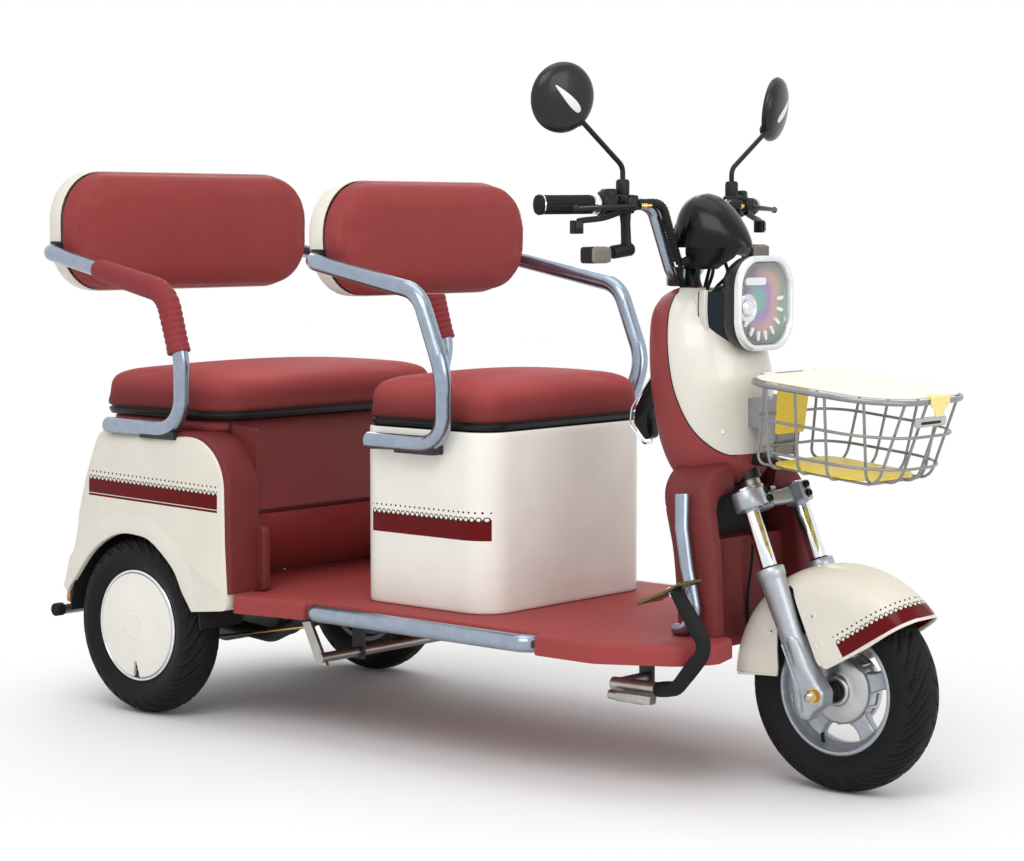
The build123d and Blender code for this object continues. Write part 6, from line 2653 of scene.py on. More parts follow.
@dataclass
class Headlamp:
    """Rounded square lamp: black bowl, silver bezel, film-coated panel and clear cover."""

    face_x: float = 1307.0
    z: float = 866.0
    half: float = 86.0
    corner: float = 58.0

    def ring(self, inset: float, x: float, count: int = 112) -> list[Vector]:
        """The lamp's outline, drawn in by an inset.

        Args:
            inset: distance inside the outline.
            x: station along X.
            count: how many points.

        Returns:
            The points.
        """
        half = self.half - inset
        corner = self.corner * half / self.half
        return [Vector((x, p.x, self.z + p.y)) for p in rounded_box(half, half, corner, count)]

    def bowl(self) -> None:
        """The black bowl and its neck."""
        x = self.face_x
        levels = [
            (60, -58), (44, -56), (24, -50), (10, -39), (3.5, -28), (1.2, -16), (0.6, -6), (1.6, -4),
            (1.6, 0), (10, 0), (12, -12), (60, -14),
        ]
        Workshop.piece(
            "headlamp_bowl", loft([self.ring(i, x + a) for i, a in levels]), Palette.lamp_black, Body.CHASSIS,
            ["headlamp_housing"], sharp=50,
        )
        neck = knob([(36, 0), (38, 10), (38, 44), (30, 52)], (x - 100, 0, self.z - 6), (1, 0, 0), 36)
        Workshop.piece("headlamp_neck", neck, Palette.soft_black, Body.CHASSIS)

    def bezel(self) -> None:
        """The silver ring."""
        x = self.face_x
        profile = [
            (0.4, -5), (0.0, 1), (0.8, 4), (3, 6.2), (6, 7), (9, 6.2), (10.8, 4), (11.4, 0), (11.6, -6)
        ]
        ring = loft([self.ring(i, x + a) for i, a in profile], closed=True)
        Workshop.piece("headlamp_bezel", ring, Palette.bezel, Body.CHASSIS)

    def panel(self) -> None:
        """The coated panel behind the cover."""
        x = self.face_x
        levels = [
            (60, -11.5), (12, -11.5), (11.8, -3), (13, -2), (16, -4), (22, -7), (34, -8.5), (60, -9), (80, -9)
        ]
        dish = loft([self.ring(i, x + a) for i, a in levels])
        Workshop.piece("headlamp_panel", dish, Palette.pearl, Body.CHASSIS, sharp=70)

    def marks(self) -> None:
        """Projector, light bar and the short marks round the edge."""
        x = self.face_x - 7
        socket = [(0, -2), (26, -2), (27, 0), (25, 3), (22, 3.5), (20, 1), (18, 0.5), (0, 0.5)]
        eye = (x, -42, self.z - 8)
        Workshop.piece("headlamp_projector_ring", knob(socket, eye, (1, 0, 0)), Palette.chrome, Body.CHASSIS)
        ball = [(16 * math.cos(a), 1 + 8 * math.sin(a)) for a in np.linspace(0, math.pi / 2, 9)]
        Workshop.piece("headlamp_projector_ball", knob(ball, eye, (1, 0, 0)), Palette.chrome, Body.CHASSIS)
        strip = slab(rounded_box(32, 7, 6.5, 40), x - 2, x + 3, 0.8, Side.FRONT).moved(y=-20, z=self.z + 40)
        marks = strip
        for turn in (8, -12, -34, -56, -78, -100, -122, -144):
            arc = math.radians(turn)
            place = Vector((0, math.cos(arc) * 58, math.sin(arc) * 60))
            mark = slab(rounded_box(9, 3.4, 3, 24), x - 2, x + 3, 0.8, Side.FRONT).turned(turn, (1, 0, 0))
            marks = marks + mark.moved(y=place.y, z=self.z + place.z)
        Workshop.piece("headlamp_light_marks", marks, Palette.plate_white, Body.CHASSIS)

    def cover(self) -> None:
        """The clear crowned cover."""
        x = self.face_x
        levels = [(11.8, 0), (12.2, 3), (14, 5.6), (18, 7.2), (28, 8.4), (46, 9.2), (66, 9.6), (82, 9.7)]
        outside = [self.ring(i, x + a) for i, a in levels]
        Workshop.piece(
            "headlamp_cover", loft(outside), Palette.glazing, Body.CHASSIS, ["headlamp_lens"], sharp=70
        )

    def build(self) -> None:
        """Make the lamp."""
        self.bowl()
        self.bezel()
        self.panel()
        self.marks()
        self.cover()


@dataclass
class Basket:
    """Fittings of the wire basket: rear strip, hinge rod, slotted bracket and carrier arm."""

    rear_x: float = 1366.0
    rim_z: float = 735.0
    slope: float = 5.6
    length: float = 305.0
    half: float = 155.0

    def put(self, shape: Shape) -> Shape:
        """A shape drawn square to the rim, put on the sloping basket."""
        return shape.turned(self.slope, (0, 1, 0)).moved(x=self.rear_x, z=self.rim_z)

    def outline(self, shrink: float) -> list[Vector]:
        """Plan of the basket inside its rim.

        Args:
            shrink: distance inside the rim.

        Returns:
            Its points.
        """
        long, half = self.length - shrink, self.half - shrink
        corners = [(shrink, -half), (long, -half), (long, half), (shrink, half)]
        return respaced(rounded(corners, (58, 100, 100, 58), closed=True, steps=12), 120, closed=True)

    def lid(self) -> None:
        """The ivory lid with its yellow front tab."""
        levels = [
            (4.2, 5.4), (2.4, 5.6), (1.2, 6.4), (0.8, 7.6), (1.2, 9), (2.6, 10), (5, 10.2), (9, 9.8),
            (12, 9.6),
        ]
        line = self.outline(3.0)
        rings = [[laid(Side.PLAN, p, z) for p in offset_line(line, inset)] for inset, z in levels]
        plate = loft(rings)
        barrels = Shape()
        for y in (-60, 60):
            barrels = barrels + rod([(-7.5, y - 15, 7.7), (-7.5, y + 15, 7.7)], 2.6, sides=16, rim=0.6)
            leaf = [Vector(p) for p in ((-7.5, y - 14), (12, y - 14), (12, y + 14), (-7.5, y + 14))]
            barrels = barrels + slab(leaf, 5.6, 9.6, 0.8)
        whole = self.put(plate + barrels)
        Workshop.piece("basket_lid_plate", whole, Palette.white, Body.CARRIER_LID, ["basket_lid"], sharp=60)
        half = [(30, 9.5), (30, -2), (25, -8), (16, -12), (14, -21), (10, -25)]
        tab = [(-30, 9.5), *half, *[(-y, z) for y, z in half[:0:-1]]]
        outline = rounded(tab, [2, 2, 4, 4, 4, 3, 4, 4, 3, 4, 4, 4], closed=True, steps=4)
        front = self.length
        flap = slab(respaced(outline, 90, closed=True), front + 5.6, front + 8.4, 0.9, Side.FRONT)
        bridge = [
            Vector(p) for p in ((front - 16, -24), (front + 8.2, -25), (front + 8.2, 25), (front - 16, 24))
        ]
        top = slab(bridge, 6.4, 10.2, 1.2)
        Workshop.piece(
            "basket_lid_tab", self.put(flap + top), Palette.pale_yellow, Body.CARRIER_LID, sharp=50
        )

    def fittings(self) -> None:
        """Pieces fixed to the wires."""
        strip = [(-50, -3), (50, -3), (45, -98), (41, -101), (-41, -101), (-45, -98)]
        outline = respaced(rounded(strip, [3, 3, 3, 3, 3, 3], closed=True, steps=3), 80, closed=True)
        plate = slab(outline, 7, 9.6, 0.8, Side.FRONT)
        Workshop.piece("basket_rear_strip", self.put(plate), Palette.yellow, Body.CHASSIS, sharp=50)
        hinge = rod([(-7.5, -84, 7.7), (-7.5, 84, 7.7)], 1.7, sides=14, rim=0.5)
        for y in (-82, 82):
            hinge = hinge + rod([(-7.5, y, 7.7), (-5, y, 1)], 2.2, sides=12, rim=0.5)
        Workshop.piece("basket_hinge_rod", self.put(hinge), Palette.wire, Body.CHASSIS)
        front = self.length - 12
        frame = rounded([(-50, -45), (50, -45), (50, -28), (-50, -28)], 5, closed=True, steps=4)
        bracket = slab(respaced(frame, 60, closed=True), front + 2, front + 5, 0.8, Side.FRONT)
        slots = slab(rounded_box(33, 2.6, 2.5, 28), front + 4.6, front + 5.3, 0.2, Side.FRONT).moved(z=-38)
        Workshop.piece("basket_lock_bracket", self.put(bracket), Palette.satin, Body.CHASSIS, sharp=50)
        Workshop.piece("basket_lock_slots", self.put(slots), Palette.soft_black, Body.CHASSIS)
        arm = [(1258, 606), (1300, 592), (1402, 577), (1406, 569), (1300, 572), (1256, 584)]
        outline = respaced(rounded(arm, [3, 10, 3, 3, 10, 3], closed=True, steps=4), 70, closed=True)
        tongue = slab(outline, -17, 17, 2, Side.ACROSS)
        Workshop.piece("basket_carrier_arm", tongue, Palette.soft_black, Body.CHASSIS, sharp=50)
        levels = [(2, -147.0), (0.4, -146.4), (0, -145), (0.6, -143.6), (3, -143)]
        corners = [(34, -97), (240, -97), (240, 97), (34, 97)]
        line = respaced(rounded(corners, (35, 60, 60, 35), closed=True, steps=12), 110, closed=True)
        rings = [[laid(Side.PLAN, p, z) for p in offset_line(line, inset)] for inset, z in levels]
        Workshop.piece(
            "basket_floor_plate", self.put(loft(rings)), Palette.yellow, Body.CHASSIS, ["basket_liner"],
            sharp=50,
        )

    def build(self) -> None:
        """Dress the wires and add the fittings."""
        Workshop.carry(Palette.wire, "front_basket")
        self.lid()
        self.fittings()


# ------------------------------------------------------------------ fork and front fender


@dataclass
class Steering:
    """The steering axis: places given along it, ahead of it and to the side."""

    x: float = 1294.0
    z: float = 501.0
    rake: float = 22.5

    @property
    def up(self) -> Vector:
        """Unit vector up the axis."""
        tilt = math.radians(self.rake)
        return Vector((-math.sin(tilt), 0, math.cos(tilt)))

    @property
    def ahead(self) -> Vector:
        """Unit vector ahead, square to the axis."""
        tilt = math.radians(self.rake)
        return Vector((math.cos(tilt), 0, math.sin(tilt)))

    def at(self, along: float, ahead: float, side: float) -> Vector:
        """A place on the fork.

        Args:
            along: distance up the axis from the clamp.
            ahead: distance ahead of the axis.
            side: distance to the left.

        Returns:
            The place.
        """
        return Vector((self.x, side, self.z)) + self.up * along + self.ahead * ahead

    def put(self, shape: Shape) -> Shape:
        """A shape drawn with X ahead, Y left and Z up the axis, put on the fork."""
        return shape.mapped(lambda v: self.at(v.z, v.x, v.y))


@dataclass
class Fork:
    """Clamp with its bolts, chromed tubes, cast lower legs, axle and nuts."""

    steering: Steering = field(default_factory=Steering)
    offset: float = 38.0
    spacing: float = 78.0
    height: float = 34.0

    def yoke(self) -> None:
        """The cast clamp."""
        half = self.height / 2
        cast = Shape()
        holes = Shape()
        for side in (-1, 1):
            y = side * self.spacing
            profile = [(15.7, -half + 1), (16.4, -half), (24.5, -half), (26, -half + 1.6)]
            profile += [(radius, -along) for radius, along in reversed(profile)]
            cast = cast + revolve(profile, (self.offset, y, 0), 48, (0, 0, 1))
            lug = slab(
                rounded_box(14, 11, 4, 32), -half + 1, half - 1, 2.4
            ).moved(x=self.offset + 20, y=y - side * 17)
            cast = cast + lug
            slot = slab(rounded_box(10, 0.9, 0.8, 16), -half + 0.6, half - 0.6, 0.2)
            holes = holes + slot.moved(x=self.offset + 25.5, y=y - side * 17)
        line = smooth_line(
            [(38, -62, 0), (22, -44, 1), (12, -22, 3), (9, 0, 4), (12, 22, 3), (22, 44, 1), (38, 62, 0)], 40
        )
        rings = []
        for here, (_, first, second) in zip(line, path_frames(line, (0, 0, 1))):
            tall = 14.5 - 3.5 * math.exp(-((here.y / 30) ** 2))
            rings.append([here + first * p.x + second * p.y for p in rounded_box(tall, 10, 5, 32)])
        cast = cast + loft(rings)
        boss = knob([(24, -15), (26.5, -13), (26.5, 13), (25, 15)], (4, 0, 0), (0, 0, 1), 48)
        plate = knob([(33, 14.5), (35, 15.5), (35, 19), (34, 20)], (8, 0, 0), (0, 0, 1), 56)
        whole = self.steering.put(cast + boss + plate)
        Workshop.piece("steering_yoke", whole, Palette.alloy, Body.STEERING, ["fork_yoke"], sharp=50)
        dots = Shape()
        for turn in (-60, -20, 20, 60):
            arc = math.radians(turn)
            place = (8 + 26 * math.cos(arc), 26 * math.sin(arc), 19.5)
            dots = dots + knob([(0, 0), (3.4, 0), (3.4, 0.9), (0, 0.9)], place, (0, 0, 1), 16)
        Workshop.piece(
            "steering_yoke_recesses", self.steering.put(dots + holes), Palette.soft_black, Body.STEERING
        )
        stem = knob([(21, 19), (22, 21), (22, 32), (19, 34), (19, 58)], (0, 0, 0), (0, 0, 1), 40)
        Workshop.piece("steering_stem", self.steering.put(stem), Palette.steel, Body.STEERING)
        bolts = Shape()
        for side in (-1, 1):
            for along in (-8.5, 8.5):
                y = side * (self.spacing - 17)
                head = [(0, 0), (6.6, 0), (6.8, 1), (6.8, 6.6), (5.8, 7.6), (3.4, 7.8), (3.2, 5), (0, 5)]
                bolts = bolts + knob(head, (self.offset + 33, y, along), (1, 0, 0), 24)
        Workshop.piece("steering_yoke_bolts", self.steering.put(bolts), Palette.gloss, Body.STEERING)

    def legs(self) -> None:
        """The tubes and the lower legs."""
        top = -128.0
        tubes = Shape()
        seals = Shape()
        cast = Shape()
        for side in (-1, 1):
            y = side * self.spacing
            tubes = tubes + knob([(14, 22), (15.5, 20), (15.5, top - 20)], (self.offset, y, 0), (0, 0, 1), 40)
            lip = [(16.2, top + 3.5), (18.4, top + 2), (19, top - 2), (19, top - 6)]
            seals = seals + knob(lip, (self.offset, y, 0), (0, 0, 1), 40)
            profile = [
                (19.5, top), (24.6, top), (26, top - 1.5), (26, top - 15), (24.4, top - 19), (23.4, top - 24),
                (22.6, top - 70),
            ]
            profile += [
                (20.6, top - 110), (20.4, top - 160), (21.5, top - 205), (18, top - 222), (8, top - 226)
            ]
            cast = cast + knob(profile, (self.offset, y, 0), (0, 0, 1), 48)
        Workshop.piece(
            "fork_stanchions", self.steering.put(tubes), Palette.chrome, Body.STEERING, ["fork_tubes"]
        )
        Workshop.piece("fork_dust_seals", self.steering.put(seals), Palette.rubber, Body.STEERING)
        outline = [
            (1418, 296), (1444, 284), (1470, 236), (1492, 206), (1505, 190), (1503, 166), (1484, 152),
            (1474, 136), (1454, 138), (1444, 160), (1436, 200), (1424, 246),
        ]
        radii = [10, 14, 30, 20, 14, 12, 10, 10, 10, 24, 40, 40]
        line = respaced(rounded(outline, radii, closed=True, steps=6), 120, closed=True)
        levels = [
            (9, 57), (3, 57.6), (0.6, 60), (0, 64), (0, 88), (1.2, 93), (4.5, 96.6), (10, 98.4), (14, 98.8)
        ]
        lug = loft([[laid(Side.ACROSS, p, y) for p in offset_line(line, inset)] for inset, y in levels])
        tab = slab(rounded_box(7, 9, 5, 24), 72, 86, 2, Side.ACROSS).moved(x=1403, z=316)
        ear = slab(rounded_box(8, 8, 6, 24), 60, 74, 2, Side.ACROSS).moved(x=1431, z=172)
        whole = self.steering.put(cast) + (lug + tab + ear).both()
        Workshop.piece("fork_lower_legs", whole, Palette.alloy, Body.STEERING, ["fork_legs"], sharp=45)
        hole = knob([(0, 0), (3.4, 0), (3.4, 1), (0, 1)], (1431, 73.6, 172), (0, 1, 0), 16)
        ridge = tube(smooth_line([(1420, 99, 268), (1440, 99.6, 226), (1456, 99.6, 190)], 20), 1.6, 8)
        Workshop.piece("fork_leg_ear_holes", hole.both(), Palette.soft_black, Body.STEERING)
        Workshop.piece("fork_leg_ridges", ridge.both(), Palette.alloy, Body.STEERING)

    def axle(self) -> None:
        """The axle's nuts, washers, threaded ends and spacers."""
        x, z = FRONT_AXLE, WHEEL_Z
        nut = knob([(9, 0), (12.2, 1.6), (12.2, 8.6), (9, 10)], (x, 100.4, z), (0, 1, 0), 6)
        washer = knob([(0, 0), (14, 0), (14.2, 1.6), (0, 1.6)], (x, 98.9, z), (0, 1, 0), 32)
        Workshop.piece(
            "front_axle_nuts", (nut + washer).both(), Palette.brass, Body.STEERING, ["front_axle"], sharp=30
        )
        thread = [(0, 0)]
        for step in range(9):
            thread += [(7, 0.8 + step * 1.3), (6.3, 1.4 + step * 1.3)]
        thread += [(5.6, 13), (0, 13)]
        end = knob(thread, (x, 108.5, z), (0, 1, 0), 24)
        Workshop.piece("front_axle_ends", end.both(), Palette.steel, Body.STEERING, sharp=70)
        sleeve = knob([(10, 0), (12, 1), (12, 16), (10, 17.5)], (x, 39.4, z), (0, 1, 0), 32)
        Workshop.piece("front_axle_spacers", sleeve.both(), Palette.rubber, Body.STEERING)

    def build(self) -> None:
        """Make the fork."""
        self.yoke()
        self.legs()
        self.axle()


@dataclass
class FrontFender:
    """Crowned cream fender with a notch for the fork legs and a printed band round its nose."""

    centre: Point = (1490.0, 192.0)
    radius: float = 216.5
    half: float = 70.5
    turn_radius: float = 146.0
    wall: float = 3.2
    edge_slope: float = 31.9

    def half_width(self, x: float, z: float, inset: float) -> float:
        """Half width of the shell at a place in side view.

        Args:
            x: the place's station.
            z: its height.
            inset: distance inside the outer face.

        Returns:
            The half width.
        """
        reach = math.hypot(x - self.centre[0], z - self.centre[1])
        share = (reach - self.turn_radius) / (self.radius - inset - self.turn_radius)
        return (self.half - inset) * max(0.0, 1 - max(0.0, min(1.0, share)) ** 2.5) ** (1 / 2.5)

    def spans(self) -> list[tuple[Vector, float]]:
        """The lower edge, joined to the crown.

        Returns:
            Its points, each with the crown's angle that it is joined to.
        """
        marks = [
            ((1391, 206), 178.5), ((1392, 220), 175), ((1390, 250), 168), ((1390, 300), 150),
            ((1395, 345), 130),
            ((1402, 363), 121), ((1411, 368), 117), ((1421, 362), 114), ((1430, 340), 112),
            ((1452, 290), 109.5),
            ((1474, 240), 107), ((1480, 233), 105.5), ((1495, 231), 103), ((1524, 247), 95),
            ((1579, 278), 74),
            ((1622, 307), 58), ((1640, 319), 51), ((1651, 326), 47.5), ((1656.5, 329.5), 45.5),
        ]
        places = np.cumsum(
            [0.0, *[math.dist(a[0], b[0]) + abs(a[1] - b[1]) * 1.2 for a, b in zip(marks, marks[1:])]]
        )
        steps = np.linspace(0, places[-1], 170)
        columns = [np.interp(steps, places, [m[0][axis] for m in marks]) for axis in (0, 1)]
        turns = np.interp(steps, places, [m[1] for m in marks])
        return [(Vector((x, z)), float(turn)) for x, z, turn in zip(*columns, turns)]

    def side_points(self, low: Vector, turn: float, inset: float, count: int = 22) -> list[Vector]:
        """Points of the right side, from the lower edge to the crown.

        Args:
            low: the point on the lower edge.
            turn: the crown's angle there.
            inset: distance inside the outer face.
            count: how many points.

        Returns:
            The points.
        """
        arc = math.radians(turn)
        reach = self.radius - inset
        top = Vector(self.centre) + Vector((math.cos(arc), math.sin(arc))) * reach
        made = []
        for share in np.linspace(0, 1, count):
            spot = low.lerp(top, 1 - (1 - share) ** 2.4)
            made.append(Vector((spot.x, -self.half_width(spot.x, spot.y, inset), spot.y)))
        made[-1].y = 0.0
        return made

    def shell(self) -> None:
        """The shell."""
        rings = []
        for low, turn in self.spans():
            outer = self.side_points(low, turn, 0.0)
            inner = self.side_points(low, turn, self.wall)
            across = [*outer, *[Vector((p.x, -p.y, p.z)) for p in reversed(outer[:-1])]]
            under = [*inner, *[Vector((p.x, -p.y, p.z)) for p in reversed(inner[:-1])]]
            rings.append(across + list(reversed(under)))
        finish = StripedEnamel(
            "cream_nose_enamel", Palette.CREAM, "cream_paint", origin=(1530.0, 253.0), slope=self.edge_slope,
            length=260.0, width=28.0, pitch=11.5, nose=self.half,
        )
        Workshop.piece("front_fender_shell", loft(rings), finish, Body.STEERING, ["front_fender"], sharp=50)

    def rims(self) -> None:
        """The rolled lip round the lower edges."""
        line = [Vector((p.x, -self.half_width(p.x, p.y, 0.6) - 0.6, p.y)) for p, _ in self.spans()]
        front = line[104:-1]
        nose = [*front, *[Vector((p.x, -p.y, p.z)) for p in reversed(front)]]
        lip = tube(respaced(nose, 150), 3.1, 10, flat=(1.0, 0.8))
        back = [
            Vector((1391, -self.half, 206)), Vector((1340, -self.half, 203)),
            Vector((1305, -self.half + 1, 199.5)),
        ]
        rear = tube(respaced(back, 20), 2.4, 10)
        Workshop.piece("front_fender_lip", lip + rear.both(), Palette.cream, Body.STEERING)

    def screws(self) -> None:
        """Plugs in the sides."""
        heads = Shape()
        for x, z in ((1464, 319), (1479, 270), (1378, 284)):
            profile = [(8.6, -1.5), (8.4, 0.6), (6.6, 1.4), (5.2, 0.4), (4.4, -0.6), (0, -0.6)]
            side = self.half_width(x, z, 0.0)
            heads = heads + knob(profile, (x, side - 0.2, z), (0, 1, 0), 28)
        Workshop.piece("front_fender_plugs", heads.both(), Palette.cream, Body.STEERING)
        cores = Shape()
        for x, z in ((1464, 319), (1378, 284)):
            side = self.half_width(x, z, 0.0)
            cores = cores + knob(
                [(0, -1), (3.6, -1), (3.6, -0.3), (2.2, 0.1), (0, 0.1)], (x, side, z), (0, 1, 0), 18
            )
        Workshop.piece("front_fender_screws", cores.both(), Palette.steel, Body.STEERING)

    def build(self) -> None:
        """Make the fender."""
        self.shell()
        self.rims()
        self.screws()


# ------------------------------------------------------------------ handlebar and what it carries


@dataclass
class BarEnds:
    """Grips, levers, switches, mirrors and signals on both ends of the handlebar."""

    end: Point = (1046.0, -320.0, 1043.0)
    bend: Point = (1136.0, -115.0, 1045.0)
    grip_length: float = 118.0

    @property
    def inward(self) -> Vector:
        """Unit vector from the right end along the bar."""
        return (Vector(self.bend) - Vector(self.end)).normalized()

    @property
    def ahead(self) -> Vector:
        """Unit vector ahead, square to the right grip."""
        run = self.inward
        return Vector((run.y, -run.x, 0)).normalized()

    def at(self, inward: float, ahead: float = 0.0, up: float = 0.0) -> Vector:
        """A place by the right grip.

        Args:
            inward: distance in from the bar's end.
            ahead: distance ahead of the bar.
            up: height over the bar.

        Returns:
            The place.
        """
        return Vector(self.end) + self.inward * inward + self.ahead * ahead + Vector((0, 0, up))

    def block(
        self, centre: tuple[float, float, float], size: tuple[float, float, float], roll: float
    ) -> Shape:
        """A block lined up with the grip.

        Args:
            centre: its middle, as inward, ahead and up.
            size: its lengths inward, ahead and up.
            roll: radius of its edges.

        Returns:
            The shape.
        """
        inward, ahead, up = centre
        plan = rounded_box(size[0] / 2, size[1] / 2, min(size[0], size[1]) * 0.3, 40)
        flat = slab(plan, -size[2] / 2, size[2] / 2, roll)
        return flat.mapped(lambda v: self.at(inward + v.x, ahead + v.y, up + v.z))

    def grip(self) -> None:
        """Fluted rubber grip with its end cap, chrome ring and throttle sleeve."""
        rings = []
        start, run = Vector(self.end), self.inward
        first, second = self.ahead, Vector((0, 0, 1))
        for along in np.linspace(0, self.grip_length - 16, 40):
            ends = min(1.0, (along + 0.5) / 4, (self.grip_length - 15.5 - along) / 4)
            ring = []
            for step in range(120):
                turn = 2 * math.pi * step / 120
                flute = 0.9 * max(0.0, math.cos(turn * 15)) ** 0.5 * (1 if 10 < along < 94 else 0)
                size = 17.2 - flute - 1.4 * (1 - ends)
                ring.append(
                    start + run * along + first * math.cos(turn) * size + second * math.sin(turn) * size
                )
            rings.append(ring)
        Workshop.piece(
            "handlebar_grips", loft(rings).both(), Palette.rubber, Body.STEERING, ["grips"], sharp=60
        )
        cap = knob(
            [(15, 0), (18.2, -1), (18.6, -3), (17, -6.5), (12, -8.4), (0, -9)], self.at(1), self.inward, 40
        )
        Workshop.piece("handlebar_end_caps", cap.both(), Palette.rubber, Body.STEERING)
        band = knob([(16.2, 0), (18.4, 0.6), (18.4, 2.6), (16.2, 3.2)], self.at(1.6), self.inward, 40)
        Workshop.piece("handlebar_end_rings", band.both(), Palette.chrome, Body.STEERING)
        ring = [(16.6, 0), (17.8, 0.6), (17.8, 4), (17.2, 5), (17.8, 6), (17.8, 15), (17, 16)]
        Workshop.piece(
            "grip_chrome_rings", knob(ring, self.at(102), self.inward, 48).both(), Palette.chrome,
            Body.STEERING,
        )

    def switches(self) -> None:
        """Switch housing, perch block, socket for the mirror and the small square switch."""
        round_case = [(17, 0), (22, 0.8), (24.5, 3), (25, 8), (25, 22), (23.6, 27), (20, 30), (15, 31)]
        case = knob(round_case, self.at(119), self.inward, 48)
        hump = self.block((134, 6, 18), (24, 30, 20), 5)
        perch = self.block((167, 2, 0), (32, 38, 34), 4)
        clamp = self.block((167, 26, -2), (26, 22, 20), 4)
        neck = self.block((186, 16, -4), (16, 14, 13), 3)
        whole = (case + hump + perch + clamp + neck).both()
        Workshop.piece("switch_housings", whole, Palette.black, Body.STEERING, ["bar_controls"], sharp=50)
        socket = knob(
            [(12, 14), (12.4, 20), (12.4, 40), (10.6, 44), (8, 45)], self.at(167, -2), (0, 0, 1), 24
        )
        nut = knob([(9, 0), (9, 6), (7, 8), (0, 8)], self.at(176, 22, 8), (0, 0, 1), 6)
        Workshop.piece("mirror_sockets", (socket + nut).both(), Palette.black, Body.STEERING)
        small = self.block((58, 30, -40), (22, 20, 24), 2)
        route = [(150, 22, -14), (112, 30, -24), (72, 31, -28), (60, 30, -30)]
        arm = tube(smooth_line([self.at(*p) for p in route], 24), 5.5, 12)
        Workshop.piece("lever_switches", (small + arm).both(), Palette.black, Body.STEERING, sharp=50)
        face = self.block((58, 41, -40), (15, 1.6, 17), 0.5)
        Workshop.piece("lever_switch_faces", face.both(), Palette.gloss, Body.STEERING)

    def levers(self) -> None:
        """Brake levers with ball ends, their pivots and the brass cable ends."""
        route = [(166, 34, -4), (150, 42, -5), (118, 50, -6), (80, 55, -7), (46, 56, -8)]
        path = smooth_line([self.at(*p) for p in route], 40)
        blade = tube(path, lambda s: 7.4 - 2.2 * s, 16, flat=(0.72, 1.25), up=(0, 0, 1))
        arc = [(6.2 * math.cos(a), 6.2 * math.sin(a)) for a in np.linspace(-1.5, 1.5, 11)]
        ball = knob(arc, self.at(44, 56, -8), (0, 0, 1), 24)
        pivot = knob([(7, -12), (8, -11), (8, 9), (6.5, 11), (0, 11.5)], self.at(164, 34, 0), (0, 0, 1), 24)
        Workshop.piece("brake_levers", (blade + ball + pivot).both(), Palette.black, Body.STEERING)
        profile = [(0, 0), (4.6, 0.4), (4.8, 2), (3.6, 3), (4.6, 4), (4.8, 12), (3.4, 13), (3.2, 22), (0, 22)]
        adjuster = knob(profile, self.at(190, 24, -3), self.inward, 20)
        Workshop.piece("brake_cable_adjusters", adjuster.both(), Palette.brass, Body.STEERING)

    def mirrors(self) -> None:
        """Round mirrors with teardrop insets, on bent stems."""
        foot = self.at(167, -2, 44)
        head = Vector((1101, -322, 1230))
        joint = Vector((1112, -284, 1190))
        path = rounded([tuple(foot), (foot.x, foot.y, 1112), tuple(joint)], [22], steps=10)
        Workshop.piece("mirror_stems", tube(path, 4.8, 16).both(), Palette.black, Body.STEERING)
        profile = [(6, 0), (9.5, 2), (10.5, 8), (9.5, 14), (6, 18), (0, 19)]
        knuckle = knob(profile, joint - Vector((4, -6, 6)), (-0.35, -0.55, 0.72), 24)
        Workshop.piece("mirror_joints", knuckle.both(), Palette.black, Body.STEERING)
        facing = Vector((0.93, -0.33, -0.14)).normalized()
        dome = [
            (0, -6.5), (56, -6.5), (57, -8), (61, -8), (62.5, -5.5), (62.5, -1), (60.5, 4), (56, 9), (48, 13)
        ]
        dome += [(36, 16.4), (20, 18.8), (8, 19.6), (0, 19.8)]
        shell = knob(dome, head, facing, 72)
        Workshop.piece(
            "mirror_shells", shell.both(), Palette.lamp_black, Body.STEERING, ["mirrors"], sharp=50
        )
        glass = knob([(0, -7.4), (55.6, -7.4), (55.6, -6.8), (0, -6.8)], head, facing, 64)
        Workshop.piece("mirror_faces", glass.both(), Palette.mirror, Body.STEERING, sharp=40)
        across = Vector((0, 0, 1)).cross(facing).normalized()
        rise = facing.cross(across)
        drop = []
        for step in range(48):
            turn = 2 * math.pi * step / 48
            wide = 7.0 * math.sin(turn) * (1 - 0.55 * math.cos(turn))
            drop.append(Vector((37 * math.cos(turn), wide)))
        lean = math.radians(40)
        rings = []
        for grow, lift in ((1.0, -2.0), (1.0, 0.4), (0.9, 1.1), (0.55, 1.5), (0.1, 1.6)):
            ring = []
            for p in drop:
                u = (p.x * math.cos(lean) - p.y * math.sin(lean)) * grow
                v = (p.x * math.sin(lean) + p.y * math.cos(lean)) * grow
                out = 19.6 - 7.6 * ((u * u + v * v) / 2300) ** 1.1
                ring.append(head + facing * (out + lift) - across * u + rise * v)
            rings.append(ring)
        Workshop.piece("mirror_insets", loft(rings).both(), Palette.bezel, Body.STEERING)

